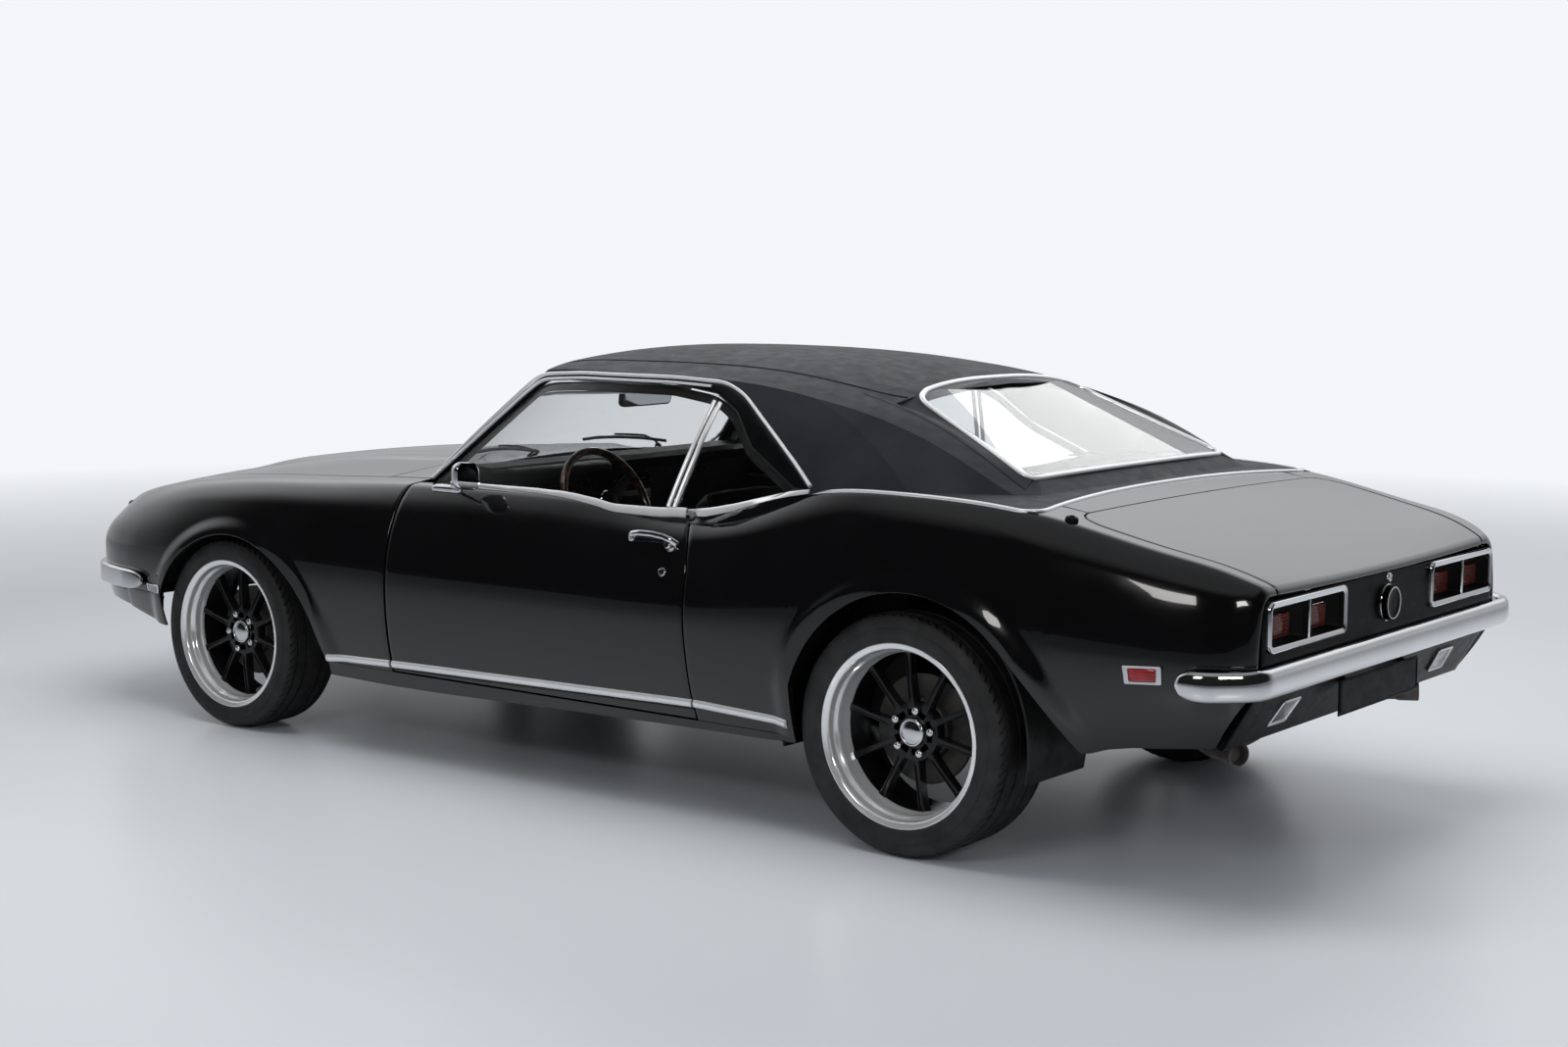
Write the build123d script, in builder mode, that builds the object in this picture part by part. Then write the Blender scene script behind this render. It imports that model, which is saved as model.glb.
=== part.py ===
"""Two-door muscle coupe on ten-spoke wheels, built panel by panel.

Frame: +X to the front, +Y to the left, +Z up, origin on the floor under the middle of the
overall box. All sizes are millimetres. Left-hand pieces are built, right-hand ones mirrored.
"""

from build123d import *
import os

os.makedirs("parts", exist_ok=True)

# ---------------------------------------------------------------- driving dimensions
overall_length = 4691.0
overall_width = 1842.0
front_overhang = 932.0  # front bumper face to front axle
wheelbase = 2746.0
skin = 20.0  # depth of a folded body panel
panel_gap = 5.0  # shut line round doors and lids
hinge_gap = 9.5  # shut line where a panel swings past its neighbour
seat_gap = 0.3  # between neighbours that are bolted together
pin_play = 0.05  # radial play of a shaft in its bore
cabin_half = 742.0  # inner face of the doors and side trim
floor_z = 240.0  # underside of the floor pan
floor_thick = 16.0
rocker_top = 282.0
half_length = overall_length / 2
half_width = overall_width / 2
front_axle_x = half_length - front_overhang
rear_axle_x = front_axle_x - wheelbase

# Places along the car at which the tables below are drawn, and where they go.
DRAWN_X = (-2345.5, -1332.5, 1413.5, 2345.5)
drawn_rear, drawn_front, drawn_end = DRAWN_X[1:]
PLACED_X = (-half_length, rear_axle_x, front_axle_x, half_length)


def along(x):
    """Place along the car of a drawn x, kept in step with both axles and both bumpers."""
    span = next((k for k in range(2) if x <= DRAWN_X[k + 1]), 2)
    share = (x - DRAWN_X[span]) / (DRAWN_X[span + 1] - DRAWN_X[span])
    return PLACED_X[span] + share * (PLACED_X[span + 1] - PLACED_X[span])



# Hinges: door pin (x, y) and heights, and the side plates of the lid hinges.
door_pin = (530.0, 880.0)
door_hinge_z = (430.0, 650.0)
door_pin_place = (along(door_pin[0]), door_pin[1])
door_pin_r = 6.0
hinge_eye_r = 11.0
hinge_reach = 95.0  # how far the door arm runs inboard of its pin
hinge_half_height = 25.0
hinge_plate_y = 606.0  # plane between the fixed and the moving plate of a lid hinge
hinge_plate = 6.0
steer_shaft_r = 9.0

# Shut lines of the left side, by height or by place along the car.
door_front_x = 590.0
door_rear_x = -645.0
hood_rear_x = 790.0
hood_front_x = 2150.0
header_half = 640.0  # joint between the header panel and the fenders, at the nose
deck_front_x = -1762.0
tail_face_x = -2302.0  # outer face of the tail panel
tail_x = tail_face_x + skin

# Body stations: x, sill corner (y, z), widest point (y, z), shoulder (y, z), panel edge (y, z),
# height on the centre line.
STATIONS = [
    (-2302, 690, 400, 772, 600, 752, 742, 700, 786, 776),
    (-2260, 738, 396, 818, 596, 794, 752, 732, 808, 792),
    (-2200, 778, 392, 852, 590, 824, 765, 758, 832, 814),
    (-2000, 812, 372, 885, 580, 852, 800, 785, 875, 876),
    (-1700, 842, 326, 908, 575, 872, 838, 795, 938, 950),
    (-1333, 860, 290, 917, 570, 880, 850, 802, 960, 985),
    (-1000, 866, 262, 915, 565, 872, 840, 803, 950, 985),
    (-640, 868, 258, 913, 560, 868, 780, 790, 858, 890),
    (0, 868, 245, 915, 555, 866, 775, 795, 872, 895),
    (580, 868, 234, 917, 550, 868, 778, 800, 868, 925),
    (1000, 868, 240, 916, 550, 872, 775, 792, 852, 905),
    (1414, 866, 250, 912, 550, 868, 765, 782, 834, 882),
    (1800, 846, 300, 888, 545, 842, 730, 748, 796, 838),
    (2080, 796, 330, 838, 545, 790, 664, 690, 743, 790),
    (2210, 730, 335, 772, 550, 730, 636, 628, 708, 764),
    (2290, 640, 335, 680, 555, 650, 620, 566, 682, 742),
]

# Greenhouse levels: z, windscreen (x at the middle, x and y at the corner), side y at x = 0,
# rear corner (x, y), backlight x at the middle.
GREENHOUSE = [
    (840, 745, 605, 762, 806, -1700, 870, -1838),
    (1040, 556, 400, 682, 722, -1440, 745, -1462),
    (1320, 262, 100, 548, 566, -925, 470, -895),
]

# Roof crown: x, edge height at y = 650, height on the centre line.
CROWN = [
    (800, 1000, 1080),
    (420, 1160, 1238),
    (300, 1204, 1272),
    (0, 1232, 1303),
    (-340, 1234, 1305),
    (-640, 1222, 1292),
    (-900, 1188, 1262),
    (-1150, 1130, 1205),
    (-1700, 960, 1010),
]

# Wheels: tyre radius, tyre width, outer lip plane y and hub face y of each axle.
WHEELS = {
    "front": dict(x=front_axle_x, drawn=drawn_front, tyre_r=319.0, tyre_w=226.0, lip_y=873.0, hub_y=797.0),
    "rear": dict(x=rear_axle_x, drawn=drawn_rear, tyre_r=328.0, tyre_w=256.0, lip_y=884.0, hub_y=795.0),
}
lip_r = 249.0
bead_r = 229.0
barrel_r = 214.0
lug_circle_r = 60.3
lug_count = 5
spoke_count = 10
tyre_bulge = 6.0  # sidewall proud of the rim lip

# ---------------------------------------------------------------- shared helpers


def save(builder, name):
    """Labels a finished piece and writes it under its node name."""
    builder.part.label = name
    export_step(builder.part, f"parts/{name}.step")


def save_mirrored(builder, name):
    """Writes a left piece and its mirror image on the right."""
    save(builder, f"{name}_left")
    with BuildPart() as twin:
        add(mirror(builder.part, about=Plane.XZ, mode=Mode.PRIVATE))
    save(twin, f"{name}_right")


def block(x_range, y_range, z_range):
    """Solid box between three pairs of limits."""
    ranges = (tuple(along(x) for x in x_range), y_range, z_range)
    with BuildPart() as piece:
        with Locations(tuple((low + high) / 2 for low, high in ranges)):
            Box(*(high - low for low, high in ranges))
    return piece.part


def side_prism(points, y_low, y_high):
    """Outline in x and z, carried from one y to another."""
    with BuildPart() as piece:
        with BuildSketch(Plane.XZ.offset(-y_low)):
            with BuildLine():
                Polyline([(along(x), z) for x, z in points], close=True)
            make_face()
        extrude(amount=y_low - y_high)
    return piece.part


def plan_prism(points, z_low, z_high):
    """Outline in x and y, carried from one height to another."""
    with BuildPart() as piece:
        with BuildSketch(Plane.XY.offset(z_low)):
            with BuildLine():
                Polyline([(along(x), y) for x, y in points], close=True)
            make_face()
        extrude(amount=z_high - z_low)
    return piece.part


def cylinder_y(x, z, radius, y_low, y_high):
    """Round bar along Y."""
    with BuildPart() as piece:
        with BuildSketch(Plane.XZ.offset(-y_low)):
            with Locations((along(x), z)):
                Circle(radius)
        extrude(amount=y_low - y_high)
    return piece.part


def tube(points, radii, outer_r):
    """Round bar along a path of runs and arcs."""
    with BuildPart() as piece:
        with BuildLine() as path:
            FilletPolyline(*((along(x), y, z) for x, y, z in points), radius=radii)
        start = path.line
        with BuildSketch(Plane(origin=start @ 0, z_dir=start % 0)):
            Circle(outer_r)
        sweep(path=start)
    return piece.part


def half_outline(row, inset, open_below):
    """Left half of the body outline at one station, as tangent arcs."""
    _, y_low, z_low, y_wide, z_wide, y_top, z_top, y_edge, z_edge, z_mid = row
    low = (y_low - inset, z_low - open_below)
    wide = (y_wide - inset, z_wide)
    top = (y_top - inset, z_top - inset / 2)
    edge = (y_edge - inset / 2, z_edge - inset)
    Line((0, low[1]), low)
    TangentArc(wide, low, tangent=(0, -1))
    side = TangentArc(wide, top, tangent=(0, 1))
    TangentArc(top, edge, tangent=side % 1)
    TangentArc((0, z_mid - inset), edge, tangent=(1, 0))


def body_volume(inset=0.0, open_below=0.0):
    """Solid inside the body surface, moved inwards by inset and down by open_below."""
    with BuildPart() as volume:
        for row in STATIONS:
            with BuildSketch(Plane.YZ.offset(along(row[0]))):
                with BuildLine():
                    half_outline(row, inset, open_below)
                    mirror(about=Plane.YZ)
                make_face()
        loft()
    return volume.part


def tent_volume(inset=0.0):
    """Windscreen, side glass and backlight faces, carried past the roof."""
    with BuildPart() as volume:
        for z, x_screen, x_front, y_front, y_side, x_back, y_back, x_light in GREENHOUSE:
            x_screen, x_front, x_back, x_light = (along(x) for x in (x_screen, x_front, x_back, x_light))
            front = (x_front - inset, y_front - inset)
            back = (x_back + inset, y_back - inset)
            with BuildSketch(Plane.XY.offset(z)):
                with BuildLine():
                    ThreePointArc((front[0], -front[1]), (x_screen - inset, 0), front)
                    ThreePointArc(front, (along(0), y_side - inset), back)
                    ThreePointArc(back, (x_light + inset, 0), (back[0], -back[1]))
                    ThreePointArc((back[0], -back[1]), (along(0), inset - y_side), (front[0], -front[1]))
                make_face()
        loft()
    return volume.part


def crown_volume(inset=0.0):
    """Space below the roof skin."""
    roof_half = 650.0
    with BuildPart() as volume:
        for x, z_edge, z_mid in CROWN:
            with BuildSketch(Plane.YZ.offset(along(x))):
                with BuildLine():
                    ThreePointArc((-roof_half, z_edge - inset), (0, z_mid - inset), (roof_half, z_edge - inset))
                    Polyline((roof_half, z_edge - inset), (1100, z_edge - 320), (1100, 300), (-1100, 300),
                             (-1100, z_edge - 320), (-roof_half, z_edge - inset))
                make_face()
        loft()
    return volume.part


def glass_layer(outer_inset, inner_inset):
    """Thin layer that follows the glass faces of the greenhouse."""
    with BuildPart() as layer:
        add(tent_volume(outer_inset))
        add(tent_volume(inner_inset), mode=Mode.SUBTRACT)
    return layer.part


def across_prism(points, x_low, x_high):
    """Outline in y and z, mirrored to the other side and carried along X."""
    with BuildPart() as piece:
        with BuildSketch(Plane.YZ.offset(along(x_low))):
            with BuildLine():
                Polyline(points)
                mirror(about=Plane.YZ)
            make_face()
        extrude(amount=along(x_high) - along(x_low))
    return piece.part


# ---------------------------------------------------------------- volumes that panels share

HIGH = (600.0, 1100.0)  # heights round the bonnet and boot panels
FAR = 1000.0  # beyond either flank
inner_length = (tail_x, 2270.0)
pan_top = (tail_face_x, 545.0)  # the pan below the rear bumper runs forward from here ...
pan_foot = (-2204.0, 380.0)  # ... to here


def under_tail(forward):
    """Space behind and below the pan, moved forward by a wall's thickness."""
    return side_prism([
        (-2400, pan_top[1]), (pan_top[0] + forward, pan_top[1]), (pan_foot[0] + forward, pan_foot[1]),
        (pan_foot[0] + forward, 200), (-2400, 200)], -FAR, FAR)


with BuildPart() as whole:
    add(body_volume())
    add(under_tail(0.0), mode=Mode.SUBTRACT)
outer = whole.part
with BuildPart() as hollow:
    add(body_volume(skin, 200.0))
    add(block(inner_length, (-FAR, FAR), (0, 1200)), mode=Mode.INTERSECT)
    add(under_tail(skin), mode=Mode.SUBTRACT)
with BuildPart() as wall:
    add(outer)
    add(hollow.part, mode=Mode.SUBTRACT)

arch_reach = (560.0, FAR)


def arch(axle_x, points, y_range):
    """Wheel opening: rises from the sill, arcs over the tyre and runs down behind it."""
    front_low, front_high, crest, rear_high, rear_mid, rear_low = [(axle_x + x, z) for x, z in points]
    with BuildPart() as piece:
        with BuildSketch(Plane.XZ.offset(-y_range[0])):
            with BuildLine():
                Line(front_low, front_high)
                ThreePointArc(front_high, crest, rear_high)
                ThreePointArc(rear_high, rear_mid, rear_low)
                Polyline(rear_low, (rear_low[0], 50), (front_low[0], 50), front_low)
            make_face()
        extrude(amount=y_range[0] - y_range[1])
    return piece.part


# Arch points from the axle: x and height, front foot to rear foot.
FRONT_ARCH = [(355, 330), (344, 400), (0, 655), (-292, 590), (-430, 470), (-520, 310)]
REAR_ARCH = [(338, 300), (340, 420), (0, 712), (-310, 610), (-420, 500), (-530, 350)]
front_arch = arch(front_axle_x, FRONT_ARCH, arch_reach)
rear_arch = arch(rear_axle_x, REAR_ARCH, arch_reach)

# Lid outlines seen from above: x and half width, front to back.
HOOD_SEAM = [(hood_front_x, 540), (2080, 560), (1800, 640), (1414, 690), (1100, 697), (hood_rear_x, 697)]
DECK_SEAM = [
    (deck_front_x, 640), (-1772, 672), (-1796, 700), (-1840, 722), (-1920, 728), (-2150, 704), (tail_face_x - 10, 660),
]


def lid_prism(seam, gap):
    """Lid seen from above, reaching gap past its seam on every side."""
    front = [(x, y + gap) for x, y in seam]
    front[0] = (seam[0][0] + gap, seam[0][1])
    front[-1] = (seam[-1][0] - gap, seam[-1][1] + gap)
    return plan_prism(front + [(x, -y) for x, y in reversed(front)], *HIGH)


hood_space = lid_prism(HOOD_SEAM, panel_gap)
deck_space = lid_prism(DECK_SEAM, panel_gap)
cowl_rear_x = 598.0
cowl_half = HOOD_SEAM[-1][1] + panel_gap - seat_gap
cowl_range = (cowl_rear_x, hood_rear_x - panel_gap)
valance_top = 415.0
valance_rear_x = drawn_front + 300
header_front = (drawn_end, header_half)
header_rear = (hood_front_x + hinge_gap, HOOD_SEAM[0][1] + panel_gap)


def header_space(play):
    """Room of the header panel seen from above, play wider on each flank."""
    left = [(header_rear[0] - play, header_rear[1] + play), (header_front[0], header_front[1] + play)]
    return plan_prism(left + [(x, -y) for x, y in reversed(left)], valance_top + seat_gap, 1100)


cabin_rear_x = -1480.0
deck_panel_half = 645.0
tail_half = 735.0
tail_top = 762.0

# ---------------------------------------------------------------- front fenders

fender_edge_x = door_front_x + hinge_gap
swing_room = 6.0  # the fender's inner edge stands back from the path of the door's corner
with BuildPart() as fender:
    add(wall.part)
    add(plan_prism([
        (fender_edge_x, FAR), (fender_edge_x, 908), (fender_edge_x + swing_room, 896), (fender_edge_x + swing_room, 300),
        (drawn_end, 300), (drawn_end, FAR)], rocker_top + seat_gap, 1100), mode=Mode.INTERSECT)
    add(hood_space, mode=Mode.SUBTRACT)
    add(front_arch, mode=Mode.SUBTRACT)
    add(block((cowl_rear_x - 60, cowl_range[1] + seat_gap), (0, cowl_half + seat_gap), HIGH), mode=Mode.SUBTRACT)
    add(block((fender_edge_x - 1, hood_rear_x + 1), (0, 600), HIGH), mode=Mode.SUBTRACT)
    add(header_space(seat_gap), mode=Mode.SUBTRACT)
    add(block((hood_front_x, drawn_end), (0, header_rear[1]), (0, 1100)), mode=Mode.SUBTRACT)
    add(block((valance_rear_x, drawn_end), (0, FAR), (0, valance_top + seat_gap)), mode=Mode.SUBTRACT)
save_mirrored(fender, "fender")

with BuildPart() as valance:
    add(wall.part)
    add(block((valance_rear_x, drawn_end), (-FAR, FAR), (0, valance_top)), mode=Mode.INTERSECT)
    add(front_arch, mode=Mode.SUBTRACT)
    add(mirror(front_arch, about=Plane.XZ, mode=Mode.PRIVATE), mode=Mode.SUBTRACT)
save(valance, "front_valance")

# ---------------------------------------------------------------- header panel and grille

grille_half = 600.0
grille_z = (518.0, 682.0)
grille_x = (2190.0, 2206.0)
bar_pitch = 18.0
bar_thick = 6.0
with BuildPart() as header:
    add(outer)
    add(header_space(0.0), mode=Mode.INTERSECT)
    add(block((2000, 2400), (-grille_half, grille_half), grille_z), mode=Mode.SUBTRACT)
save(header, "header_panel")

grille_height = grille_z[1] - grille_z[0] - 2 * seat_gap
with BuildPart() as grille:
    with BuildSketch(Plane.YZ.offset(along(grille_x[0]))):
        with Locations((0, sum(grille_z) / 2)):
            Rectangle(2 * (grille_half - seat_gap), grille_height)
            with GridLocations(150.0, bar_pitch, 7, 8):
                Rectangle(150.0 - bar_thick, bar_pitch - bar_thick, mode=Mode.SUBTRACT)
    extrude(amount=grille_x[1] - grille_x[0])
save(grille, "grille")

# ---------------------------------------------------------------- bonnet, cowl, rear deck and boot lid

HOOD_PLATE = [(700, 745), (700, 815), (815, 868), (870, 868), (870, 790), (800, 745)]
moving_plate = (hinge_plate_y + seat_gap / 2, hinge_plate_y + seat_gap / 2 + hinge_plate)
with BuildPart() as hood_hinge:
    add(side_prism(HOOD_PLATE, *moving_plate))
    add(mirror(hood_hinge.part, about=Plane.XZ, mode=Mode.PRIVATE))
    add(outer.moved(Location((0, 0, -skin / 2))), mode=Mode.INTERSECT)
# Raised middle of the bonnet: x, half width, height at its edge, height on the centre line.
BULGE = [(810, 270, 903, 925), (1100, 262, 890, 914), (1414, 246, 871, 896), (1700, 228, 841, 864), (1900, 214, 816, 822)]
with BuildPart() as bulge:
    for x, half, z_edge, z_mid in BULGE:
        with BuildSketch(Plane.YZ.offset(along(x))):
            with BuildLine():
                Polyline((0, z_edge - 12), (half, z_edge - 12), (half, z_edge), (half - 25, z_edge + (z_mid - z_edge) * 0.8),
                         (0, z_mid))
                mirror(about=Plane.YZ)
            make_face()
    loft(ruled=True)
with BuildPart() as hood:
    add(wall.part)
    add(lid_prism(HOOD_SEAM, 0.0), mode=Mode.INTERSECT)
    add(bulge.part)
    add(hood_hinge.part)
save(hood, "hood")

with BuildPart() as cowl:
    add(wall.part)
    add(block(cowl_range, (-cowl_half, cowl_half), HIGH), mode=Mode.INTERSECT)
save(cowl, "cowl")

fixed_plate = (hinge_plate_y - seat_gap / 2 - hinge_plate, hinge_plate_y - seat_gap / 2)
LID_FIXED = [(-1750, 850), (-1750, 940), (-1640, 950), (-1640, 850)]
LID_MOVING = [(-1850, 845), (-1850, 925), (-1775, 925), (-1775, 905), (-1660, 905), (-1660, 845)]
with BuildPart() as lid_fixed:
    add(side_prism(LID_FIXED, *fixed_plate))
    add(mirror(lid_fixed.part, about=Plane.XZ, mode=Mode.PRIVATE))
    add(outer.moved(Location((0, 0, -skin / 2))), mode=Mode.INTERSECT)
with BuildPart() as lid_moving:
    add(side_prism(LID_MOVING, *moving_plate))
    add(mirror(lid_moving.part, about=Plane.XZ, mode=Mode.PRIVATE))
    add(outer.moved(Location((0, 0, -skin / 2))), mode=Mode.INTERSECT)
with BuildPart() as rear_deck:
    add(wall.part)
    add(block((deck_front_x + panel_gap, cabin_rear_x), (-deck_panel_half, deck_panel_half), HIGH), mode=Mode.INTERSECT)
    add(lid_fixed.part)
save(rear_deck, "rear_deck")

with BuildPart() as deck_lid:
    add(wall.part)
    add(lid_prism(DECK_SEAM, 0.0), mode=Mode.INTERSECT)
    add(block((tail_x - 60, deck_front_x), (-FAR, FAR), (tail_top + panel_gap, 1100)), mode=Mode.INTERSECT)
    add(lid_moving.part)
save(deck_lid, "deck_lid")

# ---------------------------------------------------------------- tail panel with the fuel cap



def tail_space(y_low, y_high):
    """Room of the tail panel with its pan, between two planes."""
    return side_prism([
        (-2400, 200), (-2400, tail_top), (tail_x, tail_top), (tail_x, pan_top[1]), (pan_foot[0] + skin, pan_foot[1]),
        (pan_foot[0] + skin, 200)], y_low, y_high)


fuel_cap_z = 676.0
fuel_cap_r = 50.0
tail_depth = 20.0
with BuildPart() as tail_panel:
    add(wall.part)
    add(tail_space(-tail_half, tail_half), mode=Mode.INTERSECT)
    with BuildSketch(Plane.YZ.offset(along(tail_face_x))):
        with Locations((0, fuel_cap_z)):
            Circle(fuel_cap_r)
    extrude(amount=-12.0)
save(tail_panel, "tail_panel")

# ---------------------------------------------------------------- rear quarters and sills

tub_r = 396.0
tub_wall = 8.0
tub_inner_y = 588.0
with BuildPart() as tub:
    add(cylinder_y(drawn_rear, 330.0, tub_r + tub_wall, tub_inner_y - tub_wall, 895))
    add(cylinder_y(drawn_rear, 330.0, tub_r, tub_inner_y, 940), mode=Mode.SUBTRACT)
    add(hollow.part, mode=Mode.INTERSECT)
    add(block((-2000, -800), (0, FAR), (300, 900)), mode=Mode.INTERSECT)
    add(rear_arch, mode=Mode.SUBTRACT)

jamb_slant = 45.0  # how far the door's rear edge leans forward towards the cabin
jamb_rear_x = drawn_rear + tub_r
with BuildPart() as jamb:
    add(outer)
    add(plan_prism([
        (jamb_rear_x, cabin_half), (door_rear_x + jamb_slant, cabin_half), (door_rear_x, 920), (door_rear_x, FAR),
        (jamb_rear_x, FAR)], rocker_top + seat_gap, 1100), mode=Mode.INTERSECT)

with BuildPart() as quarter:
    add(wall.part)
    add(block((-drawn_end, door_rear_x), (0, FAR), (rocker_top + seat_gap, 1100)), mode=Mode.INTERSECT)
    add(jamb.part)
    add(rear_arch, mode=Mode.SUBTRACT)
    add(deck_space, mode=Mode.SUBTRACT)
    add(tail_space(0, tail_half + seat_gap), mode=Mode.SUBTRACT)
    add(block((tail_x - 60, tail_x + seat_gap), (0, tail_half + seat_gap), (tail_top - 5, 1100)), mode=Mode.SUBTRACT)
    add(block((deck_front_x - 5, cabin_rear_x), (0, deck_panel_half + seat_gap), HIGH), mode=Mode.SUBTRACT)
    add(block((cabin_rear_x - 1, door_rear_x + 1), (0, cabin_half), HIGH), mode=Mode.SUBTRACT)
    add(tub.part)
save_mirrored(quarter, "quarter")

sill_range = (-985.0, 900.0)
with BuildPart() as sill:
    add(outer)
    add(block(sill_range, (cabin_half, FAR), (0, rocker_top)), mode=Mode.INTERSECT)
    add(mirror(sill.part, about=Plane.XZ, mode=Mode.PRIVATE))
save(sill, "sills")

# ---------------------------------------------------------------- greenhouse openings

# Side opening of the left flank: x and z, from the screen pillar's foot round the roof rail.
SIDE_OPENING = [
    (599, 840), (599, 886), (548, 886), (205, 1200), (21, 1211), (-368, 1212), (-545, 1190),
    (-640, 1143), (-735, 1050), (-925, 952), (-790, 895), (-650, 840),
]
SCREEN_OPENING = [(0, 905), (672, 905), (545, 1196), (400, 1222), (0, 1238)]
LIGHT_OPENING = [(0, 1000), (578, 1002), (524, 1192), (400, 1206), (0, 1216)]
side_opening = side_prism(SIDE_OPENING, 400, FAR)
screen_opening = across_prism(SCREEN_OPENING, 60, 900)
light_opening = across_prism(LIGHT_OPENING, -1900, -1070)
roof_wall = 28.0
body_clear = Location((0, 0, seat_gap))

with BuildPart() as roof_hollow:
    add(tent_volume(roof_wall))
    add(crown_volume(roof_wall), mode=Mode.INTERSECT)
with BuildPart() as roof:
    add(tent_volume())
    add(crown_volume(), mode=Mode.INTERSECT)
    add(roof_hollow.part, mode=Mode.SUBTRACT)
    add(outer.moved(body_clear), mode=Mode.SUBTRACT)
    add(side_opening, mode=Mode.SUBTRACT)
    add(mirror(side_opening, about=Plane.XZ, mode=Mode.PRIVATE), mode=Mode.SUBTRACT)
    add(screen_opening, mode=Mode.SUBTRACT)
    add(light_opening, mode=Mode.SUBTRACT)
save(roof, "roof")

# ---------------------------------------------------------------- glass

glass_out = 12.0
glass_in = 17.0
glass = glass_layer(glass_out, glass_in)
DOOR_GLASS = [(572, 845), (538, 880), (190, 1194), (21, 1204), (-368, 1205), (-548, 1184), (-482, 845)]
QUARTER_GLASS = [(-560, 1200), (-640, 1160), (-750, 1060), (-950, 950), (-790, 870), (-640, 850), (-494, 850)]
with BuildPart() as windscreen:
    add(glass)
    add(across_prism([(0, 870), (690, 870), (555, 1205), (400, 1232), (0, 1248)], 60, 900), mode=Mode.INTERSECT)
    add(outer.moved(body_clear), mode=Mode.SUBTRACT)
    add(roof.part, mode=Mode.SUBTRACT)
screen_piece = windscreen.part.solids().sort_by(SortBy.VOLUME)[-1]
with BuildPart() as windscreen:
    add(screen_piece)
save(windscreen, "windscreen")

with BuildPart() as backlight:
    add(glass)
    add(across_prism([(0, 990), (590, 990), (532, 1202), (400, 1216), (0, 1226)], -1900, -1060), mode=Mode.INTERSECT)
    add(roof.part, mode=Mode.SUBTRACT)
save(backlight, "backlight")

door_glass_face = side_prism(DOOR_GLASS, 400, FAR)
with BuildPart() as door_glass:
    add(glass)
    add(door_glass_face, mode=Mode.INTERSECT)
save_mirrored(door_glass, "door_glass")

with BuildPart() as quarter_glass:
    add(glass)
    add(side_prism(QUARTER_GLASS, 400, FAR), mode=Mode.INTERSECT)
    add(outer.moved(body_clear), mode=Mode.SUBTRACT)
    add(roof.part, mode=Mode.SUBTRACT)
    add(mirror(quarter_glass.part, about=Plane.XZ, mode=Mode.PRIVATE))
save(quarter_glass, "quarter_glass")

# ---------------------------------------------------------------- doors with their mirrors

door_low = rocker_top + panel_gap
door_edge_x = door_rear_x + panel_gap
pocket_play = 5.0


def hinge_pocket(z):
    """Space in the door for the fixed hinge arm over the whole swing."""
    x, y = door_pin
    back = x - hinge_eye_r - pocket_play
    return plan_prism([
        (back, y + 16), (x + 6, y + 16), (door_front_x + 5, y - 12), (door_front_x + 5, y - hinge_reach - 6),
        (back, y - hinge_reach - 6)], z - hinge_half_height - pocket_play, z + hinge_half_height + pocket_play)


mirror_at = (along(300.0), 868.0, 918.0)
mirror_stalk = (818.0, 878.0)  # y and z of its foot on the door
mirror_size = (34.0, 104.0, 78.0)
with BuildPart() as door:
    add(outer)
    add(plan_prism([
        (door_front_x, cabin_half), (door_front_x, FAR), (door_edge_x, FAR), (door_edge_x, 920),
        (door_edge_x + jamb_slant, cabin_half)], door_low, 1100), mode=Mode.INTERSECT)
    add(glass_layer(glass_out - seat_gap, glass_in + seat_gap) & side_prism(
        [(577, 844), (577, 1100), (-480, 1100), (-480, 844)], 400, FAR), mode=Mode.SUBTRACT)
    for z in door_hinge_z:
        add(hinge_pocket(z), mode=Mode.SUBTRACT)
        with BuildSketch(Plane.XY.offset(z - hinge_half_height - 12)):
            with Locations(door_pin_place):
                Circle(door_pin_r)
        extrude(amount=2 * (hinge_half_height + 12))
    with Locations(mirror_at):
        Box(*mirror_size)
    with Locations((mirror_at[0], mirror_stalk[0], mirror_stalk[1])):
        Box(50, 44, 26)
save_mirrored(door, "door")

# ---------------------------------------------------------------- bumpers

bumper_depth = 34.0


def bumper(points, radii, z, height):
    """Wrap-round bar seen from above, with a rounded section."""
    with BuildPart() as bar:
        with BuildLine(Plane.XY.offset(z)) as line:
            FilletPolyline(*((along(x), y) for x, y in points), radius=radii)
        path = line.line
        with BuildSketch(Plane(origin=path @ 0, x_dir=(0, 0, 1), z_dir=path % 0)):
            RectangleRounded(height, bumper_depth, bumper_depth / 2 - 1)
        sweep(path=path)
    return bar.part


def bumper_points(half):
    """Whole bumper line from its left half, tip to middle."""
    return half + [(x, -y) for x, y in reversed(half)]


rear_face_x = -drawn_end + bumper_depth / 2
front_face_x = drawn_end - bumper_depth / 2
rear_bumper_y = half_width - bumper_depth / 2
rear_bar = bumper(
    bumper_points([(-2150, rear_bumper_y - 1), (-2240, rear_bumper_y - 6), (rear_face_x, 800)]), [90, 130, 130, 90], 565, 72)
front_bar = bumper(
    bumper_points([(1836, 902), (2060, 886), (2268, 775), (front_face_x, 640)]), [400, 180, 180, 180, 180, 400], 462, 76)
bracket_y = (380, 430)
with BuildPart() as rear_bumper:
    add(rear_bar)
    add(block((rear_face_x, tail_face_x - seat_gap), bracket_y, (545, 585)))
    add(block((rear_face_x, tail_face_x - seat_gap), (-bracket_y[1], -bracket_y[0]), (545, 585)))
save(rear_bumper, "rear_bumper")
with BuildPart() as front_bumper:
    add(front_bar)
    add(block((2290 + 2 * seat_gap, front_face_x), bracket_y, (440, 480)))
    add(block((2290 + 2 * seat_gap, front_face_x), (-bracket_y[1], -bracket_y[0]), (440, 480)))
save(front_bumper, "front_bumper")

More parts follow.
